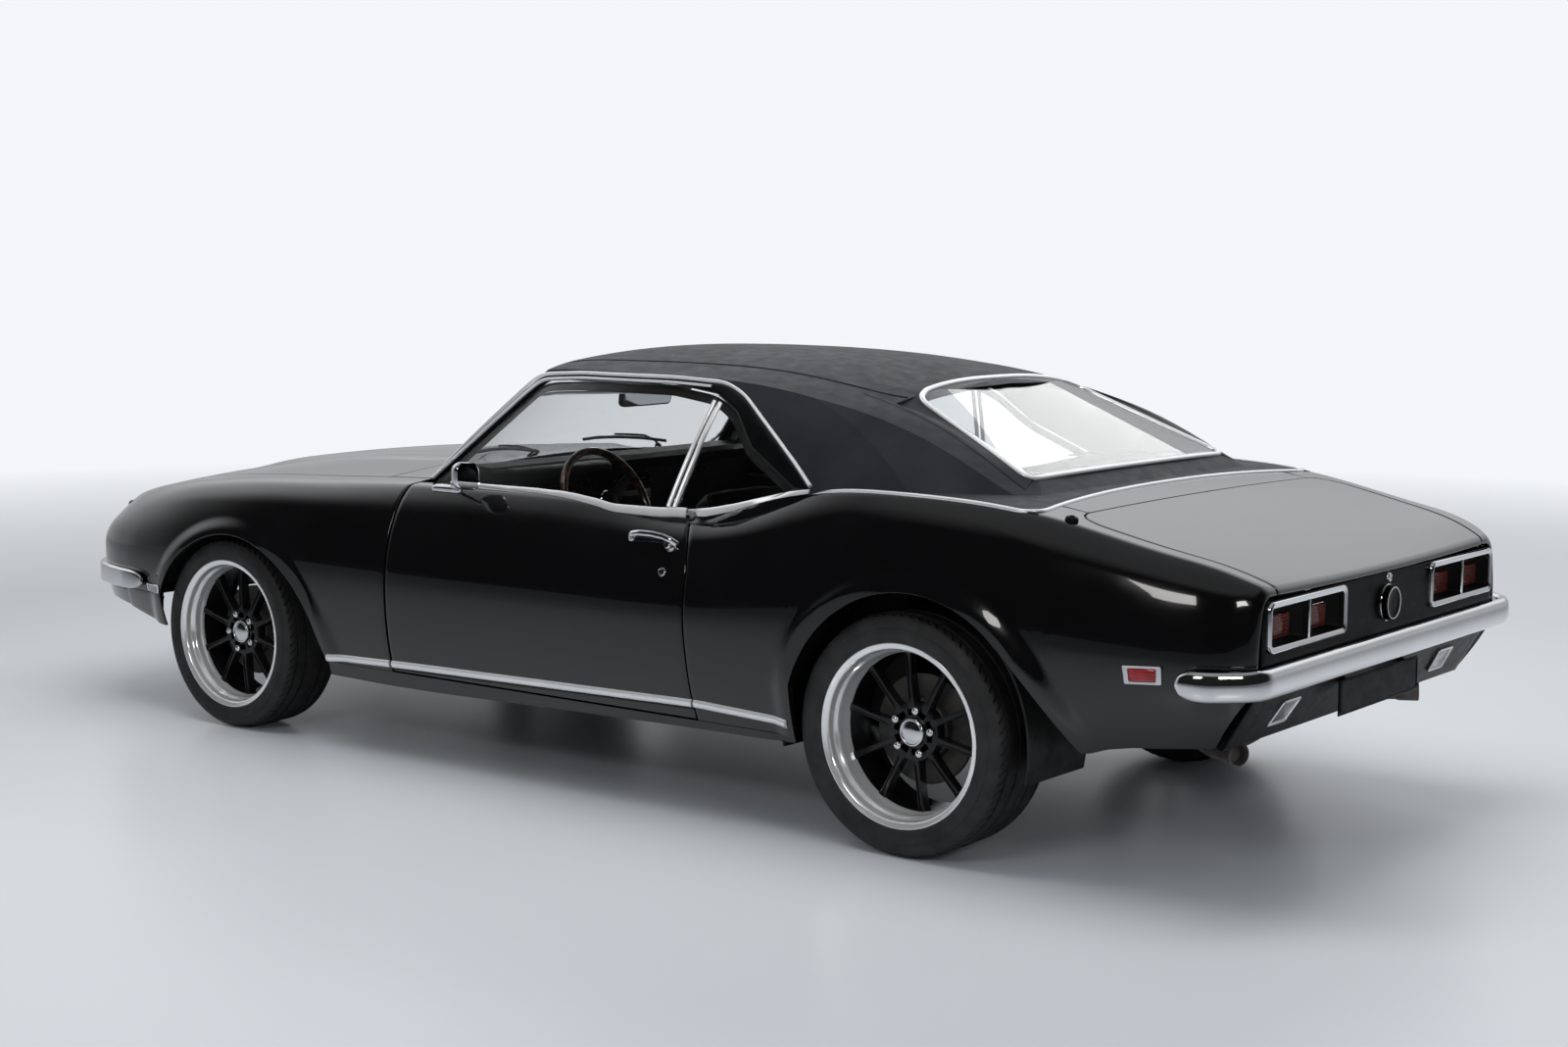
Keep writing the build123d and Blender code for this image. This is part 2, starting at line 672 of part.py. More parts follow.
# ---------------------------------------------------------------- lamps and number plate on the tail

lamp_y = (276.0, 718.0)
lamp_z = (628.0, 756.0)
lamp_rim = 10.0
lamp_proud = 12.0
reverse_outline = [(422, 479), (542, 479), (571, 411), (452, 411)]  # y and height, corner by corner
plate_half = 255.0
plate_z = (403.0, 498.0)
plate_x = (-2288.0, -2284.0)
pan_run = along(pan_foot[0]) - along(pan_top[0])
pan_drop = pan_top[1] - pan_foot[1]
pan_length = (pan_run ** 2 + pan_drop ** 2) ** 0.5
pan_plane = Plane(origin=(along(pan_top[0]), 0, pan_top[1]), x_dir=(0, 1, 0), z_dir=(-pan_drop, 0, -pan_run))
with BuildPart() as lamps:
    add(block((tail_face_x - lamp_proud, tail_face_x - seat_gap), lamp_y, lamp_z))
    lens_width = (lamp_y[1] - lamp_y[0] - 3 * lamp_rim) / 2
    for index in range(2):
        inner = lamp_y[0] + lamp_rim + index * (lens_width + lamp_rim)
        add(block((tail_face_x - lamp_proud - 1, tail_face_x - lamp_proud + 4), (inner, inner + lens_width),
                  (lamp_z[0] + lamp_rim, lamp_z[1] - lamp_rim)), mode=Mode.SUBTRACT)
    with BuildSketch(pan_plane.offset(seat_gap)):
        with BuildLine():
            Polyline([(y, (pan_top[1] - z) * pan_length / pan_drop) for y, z in reverse_outline], close=True)
        make_face()
    extrude(amount=8)
    add(mirror(lamps.part, about=Plane.XZ, mode=Mode.PRIVATE))
save(lamps, "tail_lamps")
with BuildPart() as plate:
    add(block(plate_x, (-plate_half, plate_half), plate_z))
    for bracket in ((-200, -180), (180, 200)):
        add(block((plate_x[1] - 1, pan_foot[0]), bracket, (plate_z[0] + 5, plate_z[1] - 5)))
    add(under_tail(-seat_gap), mode=Mode.INTERSECT)
save(plate, "number_plate")

# ---------------------------------------------------------------- signal lamps below the front bumper

signal_y = (430.0, 590.0)
signal_z = (347.0, 405.0)
with BuildPart() as signals:
    add(block((2290 + seat_gap, 2302), signal_y, signal_z))
    add(mirror(signals.part, about=Plane.XZ, mode=Mode.PRIVATE))
save(signals, "signal_lamps")

# ---------------------------------------------------------------- floor, bulkhead and front structure

tunnel_half = 150.0
tunnel_top = 430.0
tunnel_wall = 10.0
cowl_x = 612.0
step_x = -1010.0
boot_floor_z = 470.0
rear_rail_z = boot_floor_z - 60
lift_pad = 10.0
tub_gap_half = tub_inner_y - tub_wall - seat_gap
floor_top = floor_z + floor_thick
with BuildPart() as floor:
    add(block((step_x, cowl_x), (seat_gap - cabin_half, cabin_half - seat_gap), (floor_z, floor_top)))
    add(block((step_x, cowl_x), (-tunnel_half, tunnel_half), (floor_top, tunnel_top)))
    add(block((step_x - floor_thick, step_x), (-tub_gap_half, tub_gap_half), (floor_z, boot_floor_z + floor_thick)))
    add(block((tail_x, step_x), (-tub_gap_half, tub_gap_half), (boot_floor_z, boot_floor_z + floor_thick)))
    inner_half = tunnel_half - tunnel_wall
    add(block((step_x - 50, cowl_x + 1), (-inner_half, inner_half), (floor_z - 1, tunnel_top - tunnel_wall)),
        mode=Mode.SUBTRACT)
    for side in (-1, 1):
        rail = sorted((side * 500, side * 560))
        add(block((-2200, step_x), rail, (rear_rail_z, boot_floor_z)))
        add(block((-2180, -2100), rail, (rear_rail_z - lift_pad, rear_rail_z)))
    add(under_tail(skin + seat_gap), mode=Mode.SUBTRACT)
save(floor, "floor_pan")

apron_y = (470.0, 480.0)
bulkhead_half = 838.0
arm_width = 20.0


def door_hinge_arm(z, side):
    """Goose-neck arm from the bulkhead to the eye round the door pin."""
    x, y = door_pin_place
    inboard = y - hinge_reach
    wall_x = along(cowl_x) - 6
    with BuildPart() as piece:
        with BuildSketch(Plane.XY.offset(z - hinge_half_height)):
            with BuildLine():
                Polyline(
                    (x - arm_width / 2, side * y), (x - arm_width / 2, side * inboard), (wall_x, side * inboard),
                    (wall_x, side * (inboard + arm_width)), (x + arm_width / 2, side * (inboard + arm_width)),
                    (x + arm_width / 2, side * y), close=True)
            make_face()
            with Locations((x, side * y)):
                Circle(hinge_eye_r)
                Circle(door_pin_r + pin_play, mode=Mode.SUBTRACT)
        extrude(amount=2 * hinge_half_height)
    return piece.part


core_x = (2060.0, 2080.0)
rail_y = (360.0, 440.0)
rail_z = (250.0, 360.0)
subframe_start = cowl_x + seat_gap
with BuildPart() as structure:
    add(block((cowl_x - 12, cowl_x), (-bulkhead_half, bulkhead_half), (rocker_top + seat_gap, 1000)))
    add(block((cowl_x - 12, cowl_x), (-730, 730), (floor_top + seat_gap, 1000)))
    add(hollow.part.moved(Location((0, 0, -seat_gap))), mode=Mode.INTERSECT)
    for side in (-1, 1):
        add(block((cowl_x - 1, core_x[0] + 1), sorted((side * apron_y[0], side * apron_y[1])), (420, 695)))
        add(side_prism([(cowl_x - 1, 640), (cowl_x - 1, 835), (760, 835), (900, 790), (900, 700)],
                       *sorted((side * fixed_plate[0], side * fixed_plate[1]))))
        for z in door_hinge_z:
            add(door_hinge_arm(z, side))
    add(block(core_x, (-apron_y[1], apron_y[1]), (rail_z[1] + seat_gap, 690)))
    add(block((drawn_front - 145, drawn_front + 145), (-FAR, FAR), (400, 475)), mode=Mode.SUBTRACT)
    add(block((cowl_x - 20, cowl_x + 20), (-tunnel_half - 10, tunnel_half + 10), (0, tunnel_top + 10)), mode=Mode.SUBTRACT)
save(structure, "front_structure")

# ---------------------------------------------------------------- subframe, arms and knuckles

kingpin_y = 700.0
kingpin_r = 12.0
arm_thick = 23.0
lower_arm_z = 205.0
upper_arm_z = 432.0
eye_r = 28.0
cross_top = 258.0
axle_z = WHEELS["front"]["tyre_r"]


def arm(z, side):
    """Flat control arm from the rail to the eye round the kingpin."""
    with BuildPart() as piece:
        with BuildSketch(Plane.XY.offset(z)):
            with BuildLine():
                Polyline(
                    (front_axle_x - 130, side * (rail_y[1] - 5)), (front_axle_x + 130, side * (rail_y[1] - 5)),
                    (front_axle_x + 20, side * kingpin_y), (front_axle_x - 20, side * kingpin_y), close=True)
            make_face()
            with Locations((front_axle_x, side * kingpin_y)):
                Circle(eye_r)
                Circle(kingpin_r + pin_play, mode=Mode.SUBTRACT)
        extrude(amount=arm_thick)
    return piece.part


with BuildPart() as subframe:
    for side in (-1, 1):
        y_range = sorted((side * rail_y[0], side * rail_y[1]))
        add(block((subframe_start, core_x[1]), y_range, rail_z))
        add(block((drawn_front - 130, drawn_front + 130), y_range, (rail_z[1] - 1, upper_arm_z + arm_thick)))
        add(arm(lower_arm_z, side))
        add(arm(upper_arm_z, side))
    add(block((drawn_front - 140, drawn_front + 140), (-rail_y[1], rail_y[1]), (lower_arm_z - 5, cross_top)))
save(subframe, "front_subframe")

spindle_r = 20.0
rotor_face_y = 742.0
upright_face_y = rotor_face_y - 5
with BuildPart() as knuckle:
    add(block((drawn_front - 34, drawn_front + 34), (kingpin_y - 20, upright_face_y),
              (lower_arm_z + arm_thick + 2, upper_arm_z - 2)))
    with BuildSketch(Plane.XY.offset(lower_arm_z)):
        with Locations((front_axle_x, kingpin_y)):
            Circle(kingpin_r)
    extrude(amount=upper_arm_z + arm_thick - lower_arm_z)
    add(cylinder_y(drawn_front, axle_z, spindle_r, upright_face_y - 1, 790))
save_mirrored(knuckle, "knuckle")

# ---------------------------------------------------------------- engine with its gearbox

engine_bottom = cross_top + seat_gap
with BuildPart() as engine:
    add(block((800, 1480), (-270, 270), (engine_bottom, 780)))
    add(block((230, 801), (-115, 115), (engine_bottom + 10, 405)))
save(engine, "engine")

# ---------------------------------------------------------------- rear axle, springs, driveshaft

rear_axle_z = WHEELS["rear"]["tyre_r"]
axle_tube_r = 38.0
spring_y = (500.0, 560.0)
spring_thick = 26.0
shaft_z = 330.0
spring_top = rear_axle_z - axle_tube_r + 2
spring_seat = rear_rail_z - seat_gap
with BuildPart() as rear_axle:
    add(cylinder_y(drawn_rear, rear_axle_z, axle_tube_r, 5 - rotor_face_y, rotor_face_y - 5))
    add(cylinder_y(drawn_rear, rear_axle_z, spindle_r, -788, 788))
    with Locations((rear_axle_x, 0, rear_axle_z)):
        Sphere(128)
    with BuildSketch(Plane.YZ.offset(rear_axle_x)):
        with Locations((0, shaft_z)):
            Circle(34)
    extrude(amount=along(230 - seat_gap) - rear_axle_x)
    for side in (-1, 1):
        add(side_prism([
            (-1054, spring_seat), (-1080, spring_seat), (-1080, 330), (drawn_rear, spring_top),
            (-1934, 350), (-1934, spring_seat), (-1960, spring_seat), (-1960, 325),
            (drawn_rear, spring_top - spring_thick), (-1054, 305)], *sorted(side * y for y in spring_y)))
save(rear_axle, "rear_axle")

# ---------------------------------------------------------------- exhaust and fuel tank

pipe_r = 30.0
with BuildPart() as exhaust:
    for side in (-1, 1):
        add(tube([
            (1200, side * 300, 215), (560, side * 240, 200), (-1080, side * 250, 200), (-1170, side * 300, 426),
            (-1520, side * 300, 426), (-1680, side * 440, 335), (-1990, side * 440, 335), (-2080, side * 540, 335),
            (-2190, side * 560, 335)],
            [60, 90, 90, 90, 90, 60, 60], pipe_r))
        add(block((-760, -260), sorted((side * 165, side * 315)), (165, floor_z - seat_gap)))
save(exhaust, "exhaust")

with BuildPart() as tank:
    add(block((-2150, -1700), (-360, 360), (360, boot_floor_z - seat_gap)))
save(tank, "fuel_tank")

# ---------------------------------------------------------------- dashboard, column, steering wheel

dash_half = 700.0
with BuildPart() as dash:
    add(block((430, cowl_x - 12 - seat_gap), (-dash_half, dash_half), (620, 1000)))
    add(hollow.part.moved(Location((0, 0, -seat_gap))), mode=Mode.INTERSECT)
save(dash, "dashboard")

steer_centre = (along(150.0), 370.0, 800.0)
steer_axis = Vector(-0.9063, 0, 0.4226)  # towards the driver, 25 degrees above level
steer_rim_r = 182.0
steer_grip_r = 13.0
column_r = 24.0
column_end = Vector(*steer_centre) - steer_axis * 45
steer_plane = Plane(origin=steer_centre, x_dir=(0, 1, 0), z_dir=steer_axis)
with BuildPart() as steering_wheel:
    with BuildSketch(steer_plane.offset(-steer_grip_r)):
        Circle(steer_rim_r + steer_grip_r)
        Circle(steer_rim_r - steer_grip_r, mode=Mode.SUBTRACT)
    extrude(amount=2 * steer_grip_r)
    with BuildSketch(steer_plane.offset(-30)):
        Circle(40)
    extrude(amount=36)
    with BuildSketch(steer_plane.offset(-4)):
        with PolarLocations(steer_rim_r / 2, 3, start_angle=90):
            Rectangle(steer_rim_r, 34)
    extrude(amount=6)
    with BuildSketch(steer_plane.offset(-29)):
        Circle(steer_shaft_r)
    extrude(amount=-46)
save(steering_wheel, "steering_wheel")

with BuildPart() as column:
    with BuildSketch(steer_plane.offset(-30 - 5)):
        Circle(column_r)
    extrude(amount=-330)
    add(dash.part, mode=Mode.SUBTRACT)
    add(block((cowl_x - 12 - seat_gap, 900), (-FAR, FAR), (0, 1000)), mode=Mode.SUBTRACT)
column_piece = column.part.solids().sort_by(Axis.X)[0]
with BuildPart() as column:
    add(column_piece)
    with BuildSketch(steer_plane.offset(-34)):
        Circle(steer_shaft_r + pin_play)
    extrude(amount=-44, mode=Mode.SUBTRACT)
save(column, "steering_column")

# ---------------------------------------------------------------- seats

seat_y = 375.0
seat_half = 250.0
SEAT_SIDE = [
    (90, 305), (90, 430), (-330, 400), (-470, 905), (-560, 905), (-500, 360), (-420, 300),
]
base_top = 300.0
with BuildPart() as seat:
    add(side_prism(SEAT_SIDE, seat_y - seat_half + 25, seat_y + seat_half - 25))
    add(block((-380, 40), (seat_y - 200, seat_y + 200), (floor_top + seat_gap, 306)))
save_mirrored(seat, "front_seat")

bench_half = 560.0
BENCH_SIDE = [
    (step_x + seat_gap, floor_top + seat_gap), (-600, floor_top + seat_gap), (-590, 470), (-990, 440),
    (-1120, 880), (-1200, 880), (step_x - 130, boot_floor_z + floor_thick + seat_gap),
    (step_x + seat_gap, boot_floor_z + floor_thick + seat_gap),
]
with BuildPart() as bench:
    add(side_prism(BENCH_SIDE, -bench_half, bench_half))
    add(block((-1500, -500), (-tunnel_half - seat_gap, tunnel_half + seat_gap), (0, tunnel_top + seat_gap)),
        mode=Mode.SUBTRACT)
save(bench, "rear_bench")

# ---------------------------------------------------------------- wheels and tyres

spoke_root_r = 70.0
spoke_width = 26.0
spoke_thick = 22.0
hub_r = 80.0
rotor_r = 158.0
cap_r = 27.0
lug_r = 10.0
lug_height = 20.0
bead_height = 10.0


def wheel_and_tyre(axle, name):
    """Rim, barrel, spokes, hub and brake rotor of one axle, and the tyre round it."""
    size = WHEELS[axle]
    x, z, lip_y, hub_y = size["x"], size["tyre_r"], size["lip_y"], size["hub_y"]
    width = size["tyre_w"]
    inner_y = lip_y - width
    spin = Axis((x, 0, z), (0, 1, 0))
    section = Plane(origin=(x, 0, z), x_dir=(0, 1, 0), z_dir=(1, 0, 0))
    face = Plane(origin=(x, hub_y, z), x_dir=(1, 0, 0), z_dir=(0, 1, 0))
    with BuildPart() as wheel:
        with BuildSketch(section):
            with BuildLine():
                Polyline(
                    (lip_y, lip_r), (lip_y, lip_r - 10), (lip_y - 12, bead_r - 4), (lip_y - 16, barrel_r),
                    (inner_y, barrel_r), (inner_y, lip_r), (inner_y + bead_height, lip_r),
                    (inner_y + bead_height, bead_r), (inner_y + 45, bead_r), (inner_y + 60, barrel_r + 8),
                    (lip_y - 70, barrel_r + 8), (lip_y - 55, bead_r), (lip_y - bead_height, bead_r),
                    (lip_y - bead_height, lip_r), close=True)
            make_face()
        revolve(axis=spin)
        with BuildSketch(face):
            Circle(hub_r)
            with PolarLocations((barrel_r + 2 + spoke_root_r) / 2, spoke_count):
                Rectangle(barrel_r + 2 - spoke_root_r, spoke_width)
        extrude(amount=-spoke_thick)
        with BuildSketch(face):
            Circle(cap_r)
            with PolarLocations(lug_circle_r, lug_count):
                Circle(lug_r)
        extrude(amount=lug_height)
        drawn = size["drawn"]
        add(cylinder_y(drawn, z, hub_r - 4, rotor_face_y, hub_y - spoke_thick + 1))
        add(cylinder_y(drawn, z, rotor_r, rotor_face_y, rotor_face_y + 22))
        add(cylinder_y(drawn, z, spindle_r + pin_play, rotor_face_y - 1, 791), mode=Mode.SUBTRACT)
    with BuildPart() as tyre:
        bead = bead_r + seat_gap
        outside = lip_y + tyre_bulge
        inside = inner_y - tyre_bulge
        tread = size["tyre_r"]
        shoulder = 16.0
        with BuildSketch(section):
            with BuildLine():
                Polyline(
                    (lip_y - bead_height - seat_gap, bead), (lip_y - bead_height - seat_gap, lip_r + seat_gap),
                    (lip_y - 2, lip_r + seat_gap), (outside, lip_r + 25), (outside - 4, tread - shoulder),
                    (outside - 18, tread - 2), ((outside + inside) / 2, tread), (inside + 18, tread - 2),
                    (inside + 4, tread - shoulder), (inside, lip_r + 25), (inner_y + 2, lip_r + seat_gap),
                    (inner_y + bead_height + seat_gap, lip_r + seat_gap), (inner_y + bead_height + seat_gap, bead),
                    (inner_y + 40, bead), (inner_y + 40, bead + 14), (lip_y - 40, bead + 14), (lip_y - 40, bead),
                    close=True)
            make_face()
        revolve(axis=spin)
    save_mirrored(wheel, f"wheel_{name}")
    save_mirrored(tyre, f"tyre_{name}")


for axle_name in WHEELS:
    wheel_and_tyre(axle_name, axle_name)
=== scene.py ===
"""Looks of the two-door muscle coupe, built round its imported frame. Metres, +X front, +Y left, +Z up."""

import math

import bmesh
import bpy
import numpy as np
from mathutils.bvhtree import BVHTree
from mathutils import Matrix, Vector


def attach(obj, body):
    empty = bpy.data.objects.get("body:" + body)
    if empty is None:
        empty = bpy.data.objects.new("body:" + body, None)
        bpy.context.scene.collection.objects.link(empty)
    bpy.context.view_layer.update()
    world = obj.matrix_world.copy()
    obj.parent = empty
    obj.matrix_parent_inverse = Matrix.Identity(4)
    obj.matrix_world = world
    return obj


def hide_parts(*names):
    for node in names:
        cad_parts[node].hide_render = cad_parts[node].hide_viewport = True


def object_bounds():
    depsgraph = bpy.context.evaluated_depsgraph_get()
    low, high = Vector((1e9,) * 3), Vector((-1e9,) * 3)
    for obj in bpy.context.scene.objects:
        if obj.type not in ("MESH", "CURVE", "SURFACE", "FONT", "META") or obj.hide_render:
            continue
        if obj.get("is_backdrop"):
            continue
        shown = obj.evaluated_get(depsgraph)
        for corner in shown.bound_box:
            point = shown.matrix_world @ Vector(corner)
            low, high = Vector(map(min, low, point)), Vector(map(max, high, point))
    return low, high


MM = 0.001
HALF = {"left": 1.0, "right": -1.0}

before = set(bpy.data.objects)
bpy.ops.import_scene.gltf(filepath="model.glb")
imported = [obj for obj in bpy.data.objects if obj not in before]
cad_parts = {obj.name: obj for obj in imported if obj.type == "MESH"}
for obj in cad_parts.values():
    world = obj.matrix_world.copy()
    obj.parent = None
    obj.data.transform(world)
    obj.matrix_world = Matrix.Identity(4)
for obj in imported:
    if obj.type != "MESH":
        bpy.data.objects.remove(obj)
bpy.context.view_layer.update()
scene = bpy.context.scene

# ---------------------------------------------------------------- materials

SOCKETS = {
    "color": "Base Color",
    "metal": "Metallic",
    "coat": "Coat Weight",
    "coat_rough": "Coat Roughness",
    "ior": "IOR",
    "clear": "Transmission Weight",
    "sheen": "Sheen Weight",
    "sheen_rough": "Sheen Roughness",
    "specular": "Specular IOR Level",
}


class Nodes:
    """Short helper that builds one node material."""

    def __init__(self, name, **sockets):
        self.material = bpy.data.materials.new(name)
        self.material.use_nodes = True
        self.tree = self.material.node_tree
        self.shader = self.tree.nodes["Principled BSDF"]
        self.coords = self.add("ShaderNodeTexCoord").outputs["Object"]
        for key, value in sockets.items():
            self.set(key, value)

    def add(self, kind, **props):
        node = self.tree.nodes.new(kind)
        for key, value in props.items():
            setattr(node, key, value)
        return node

    def link(self, source, target):
        self.tree.links.new(source, target)

    def set(self, key, value):
        if key == "color":
            value = (*value, 1.0)
        self.shader.inputs[SOCKETS[key]].default_value = value

    def noise(self, scale, detail=4.0, rough=0.5):
        node = self.add("ShaderNodeTexNoise")
        node.inputs["Scale"].default_value = scale
        node.inputs["Detail"].default_value = detail
        node.inputs["Roughness"].default_value = rough
        self.link(self.coords, node.inputs["Vector"])
        return node.outputs["Fac"]

    def cells(self, scale):
        node = self.add("ShaderNodeTexVoronoi", feature="SMOOTH_F1")
        node.inputs["Scale"].default_value = scale
        self.link(self.coords, node.inputs["Vector"])
        return node.outputs["Distance"]

    def spread(self, fac, low, high, start, end):
        """Number from low to high while the value goes from start to end."""
        node = self.add("ShaderNodeMapRange")
        node.inputs["From Min"].default_value = start
        node.inputs["From Max"].default_value = end
        node.inputs["To Min"].default_value = low
        node.inputs["To Max"].default_value = high
        self.link(fac, node.inputs["Value"])
        return node.outputs["Result"]

    def tint(self, fac, dark, light, start=0.3, end=0.7):
        ramp = self.add("ShaderNodeValToRGB")
        ramp.color_ramp.elements[0].position = start
        ramp.color_ramp.elements[1].position = end
        ramp.color_ramp.elements[0].color = (*dark, 1.0)
        ramp.color_ramp.elements[1].color = (*light, 1.0)
        self.link(fac, ramp.inputs["Fac"])
        self.link(ramp.outputs["Color"], self.shader.inputs["Base Color"])

    def roughness(self, fac, low, high, start=0.3, end=0.7):
        self.link(self.spread(fac, low, high, start, end), self.shader.inputs["Roughness"])

    def bump(self, fac, strength, distance):
        """Relief on top of any that the material has already."""
        node = self.add("ShaderNodeBump")
        node.inputs["Strength"].default_value = strength
        node.inputs["Distance"].default_value = distance
        self.link(fac, node.inputs["Height"])
        earlier = self.shader.inputs["Normal"].links
        if earlier:
            self.link(earlier[0].from_socket, node.inputs["Normal"])
        self.link(node.outputs["Normal"], self.shader.inputs["Normal"])


def paint():
    """Polished black lacquer: faint orange peel and a light dust haze."""
    m = Nodes("body_paint", coat=1.0, coat_rough=0.025, ior=1.3)
    m.tint(m.noise(3.0), (0.0022, 0.0022, 0.0026), (0.0036, 0.0036, 0.0042))
    m.roughness(m.noise(9.0, 6.0), 0.10, 0.17)
    m.bump(m.noise(260.0, 2.0), 0.03, 0.0004)
    return m.material


def satin_black(name, low, high, colour, grain=500.0, ior=1.18):
    """Black or plain coloured plastic, lacquer or paint with a soft sheen."""
    m = Nodes(name, ior=ior)
    m.tint(m.noise(12.0), tuple(c * 0.7 for c in colour), tuple(c * 1.5 for c in colour))
    m.roughness(m.noise(30.0, 5.0), low, high)
    m.bump(m.noise(grain, 2.0), 0.05, 0.0002)
    return m.material


def vinyl(name, colour, grain=330.0, depth=0.0006, low=0.42, high=0.56, specular=0.32, relief=0.35):
    """Grained vinyl: cells with soft creases between them, uneven sheen."""
    m = Nodes(name, sheen=0.03, sheen_rough=0.4, specular=specular)
    m.tint(m.noise(7.0, 6.0), tuple(c * 0.72 for c in colour), tuple(c * 1.35 for c in colour))
    m.roughness(m.noise(22.0, 5.0), low, high)
    m.bump(m.cells(grain), relief, depth)
    m.bump(m.noise(14.0, 3.0), 0.10, 0.002)
    return m.material


def metal(name, colour, low, high, brushed=0.0, scale=14.0, share=1.0):
    """Plated or polished metal with faint wipe marks."""
    m = Nodes(name, metal=share)
    m.tint(m.noise(5.0), tuple(c * 0.93 for c in colour), colour)
    m.roughness(m.noise(scale, 8.0), low, high)
    m.bump(m.noise(180.0, 3.0), 0.03 + brushed, 0.0003)
    return m.material


def rubber(name, colour=(0.012, 0.012, 0.0125)):
    m = Nodes(name, specular=0.4)
    m.tint(m.noise(16.0, 6.0), tuple(c * 0.8 for c in colour), tuple(c * 1.9 for c in colour))
    m.roughness(m.noise(40.0, 5.0), 0.5, 0.68)
    m.bump(m.noise(900.0, 3.0), 0.16, 0.0003)
    return m.material


def glass(name, colour):
    m = Nodes(name, color=colour, clear=1.0, ior=1.45)
    m.roughness(m.noise(6.0, 6.0), 0.0, 0.012)
    return m.material


def lens(name, dark, light):
    """Moulded lamp lens: ribs in relief, deep colour."""
    m = Nodes(name, coat=0.6, coat_rough=0.05, ior=1.5)
    m.tint(m.noise(40.0), dark, light)
    m.roughness(m.noise(60.0), 0.10, 0.2)
    wave = m.add("ShaderNodeTexWave", wave_type="BANDS", bands_direction="Z")
    wave.inputs["Scale"].default_value = 42.0
    m.link(m.coords, wave.inputs["Vector"])
    m.bump(wave.outputs["Fac"], 0.35, 0.0015)
    return m.material


def grid_lens():
    """Deep red lens pressed in a grid of small prisms."""
    m = Nodes("lamp_red_grid", coat=0.5, coat_rough=0.06, ior=1.5)
    m.tint(m.noise(60.0), (0.075, 0.012, 0.008), (0.150, 0.026, 0.016))
    m.roughness(m.noise(80.0), 0.14, 0.24)
    for way in ("Y", "Z"):
        wave = m.add("ShaderNodeTexWave", wave_type="BANDS", bands_direction=way)
        wave.inputs["Scale"].default_value = 34.0
        m.link(m.coords, wave.inputs["Vector"])
        m.bump(wave.outputs["Fac"], 0.6, 0.003)
    return m.material


def wood():
    m = Nodes("wheel_wood", coat=0.7, coat_rough=0.08)
    wave = m.add("ShaderNodeTexWave", wave_type="RINGS", rings_direction="SPHERICAL")
    wave.inputs["Scale"].default_value = 9.0
    wave.inputs["Distortion"].default_value = 7.0
    wave.inputs["Detail"].default_value = 4.0
    m.link(m.coords, wave.inputs["Vector"])
    m.tint(wave.outputs["Fac"], (0.055, 0.017, 0.007), (0.14, 0.05, 0.018), 0.2, 0.8)
    m.roughness(m.noise(40.0), 0.28, 0.4)
    return m.material


def carpet():
    m = Nodes("carpet", sheen=0.4, sheen_rough=0.5)
    m.tint(m.noise(160.0, 3.0), (0.006, 0.006, 0.0065), (0.02, 0.02, 0.021))
    m.roughness(m.noise(60.0), 0.85, 1.0)
    m.bump(m.noise(1400.0, 2.0), 0.6, 0.002)
    return m.material


def steel(name, colour, low, high):
    """Bare or painted underbody metal with grime."""
    m = Nodes(name, metal=0.6)
    m.tint(m.noise(11.0, 8.0, 0.65), tuple(c * 0.45 for c in colour), colour)
    m.roughness(m.noise(18.0, 8.0), low, high)
    m.bump(m.noise(120.0, 6.0), 0.2, 0.0008)
    return m.material


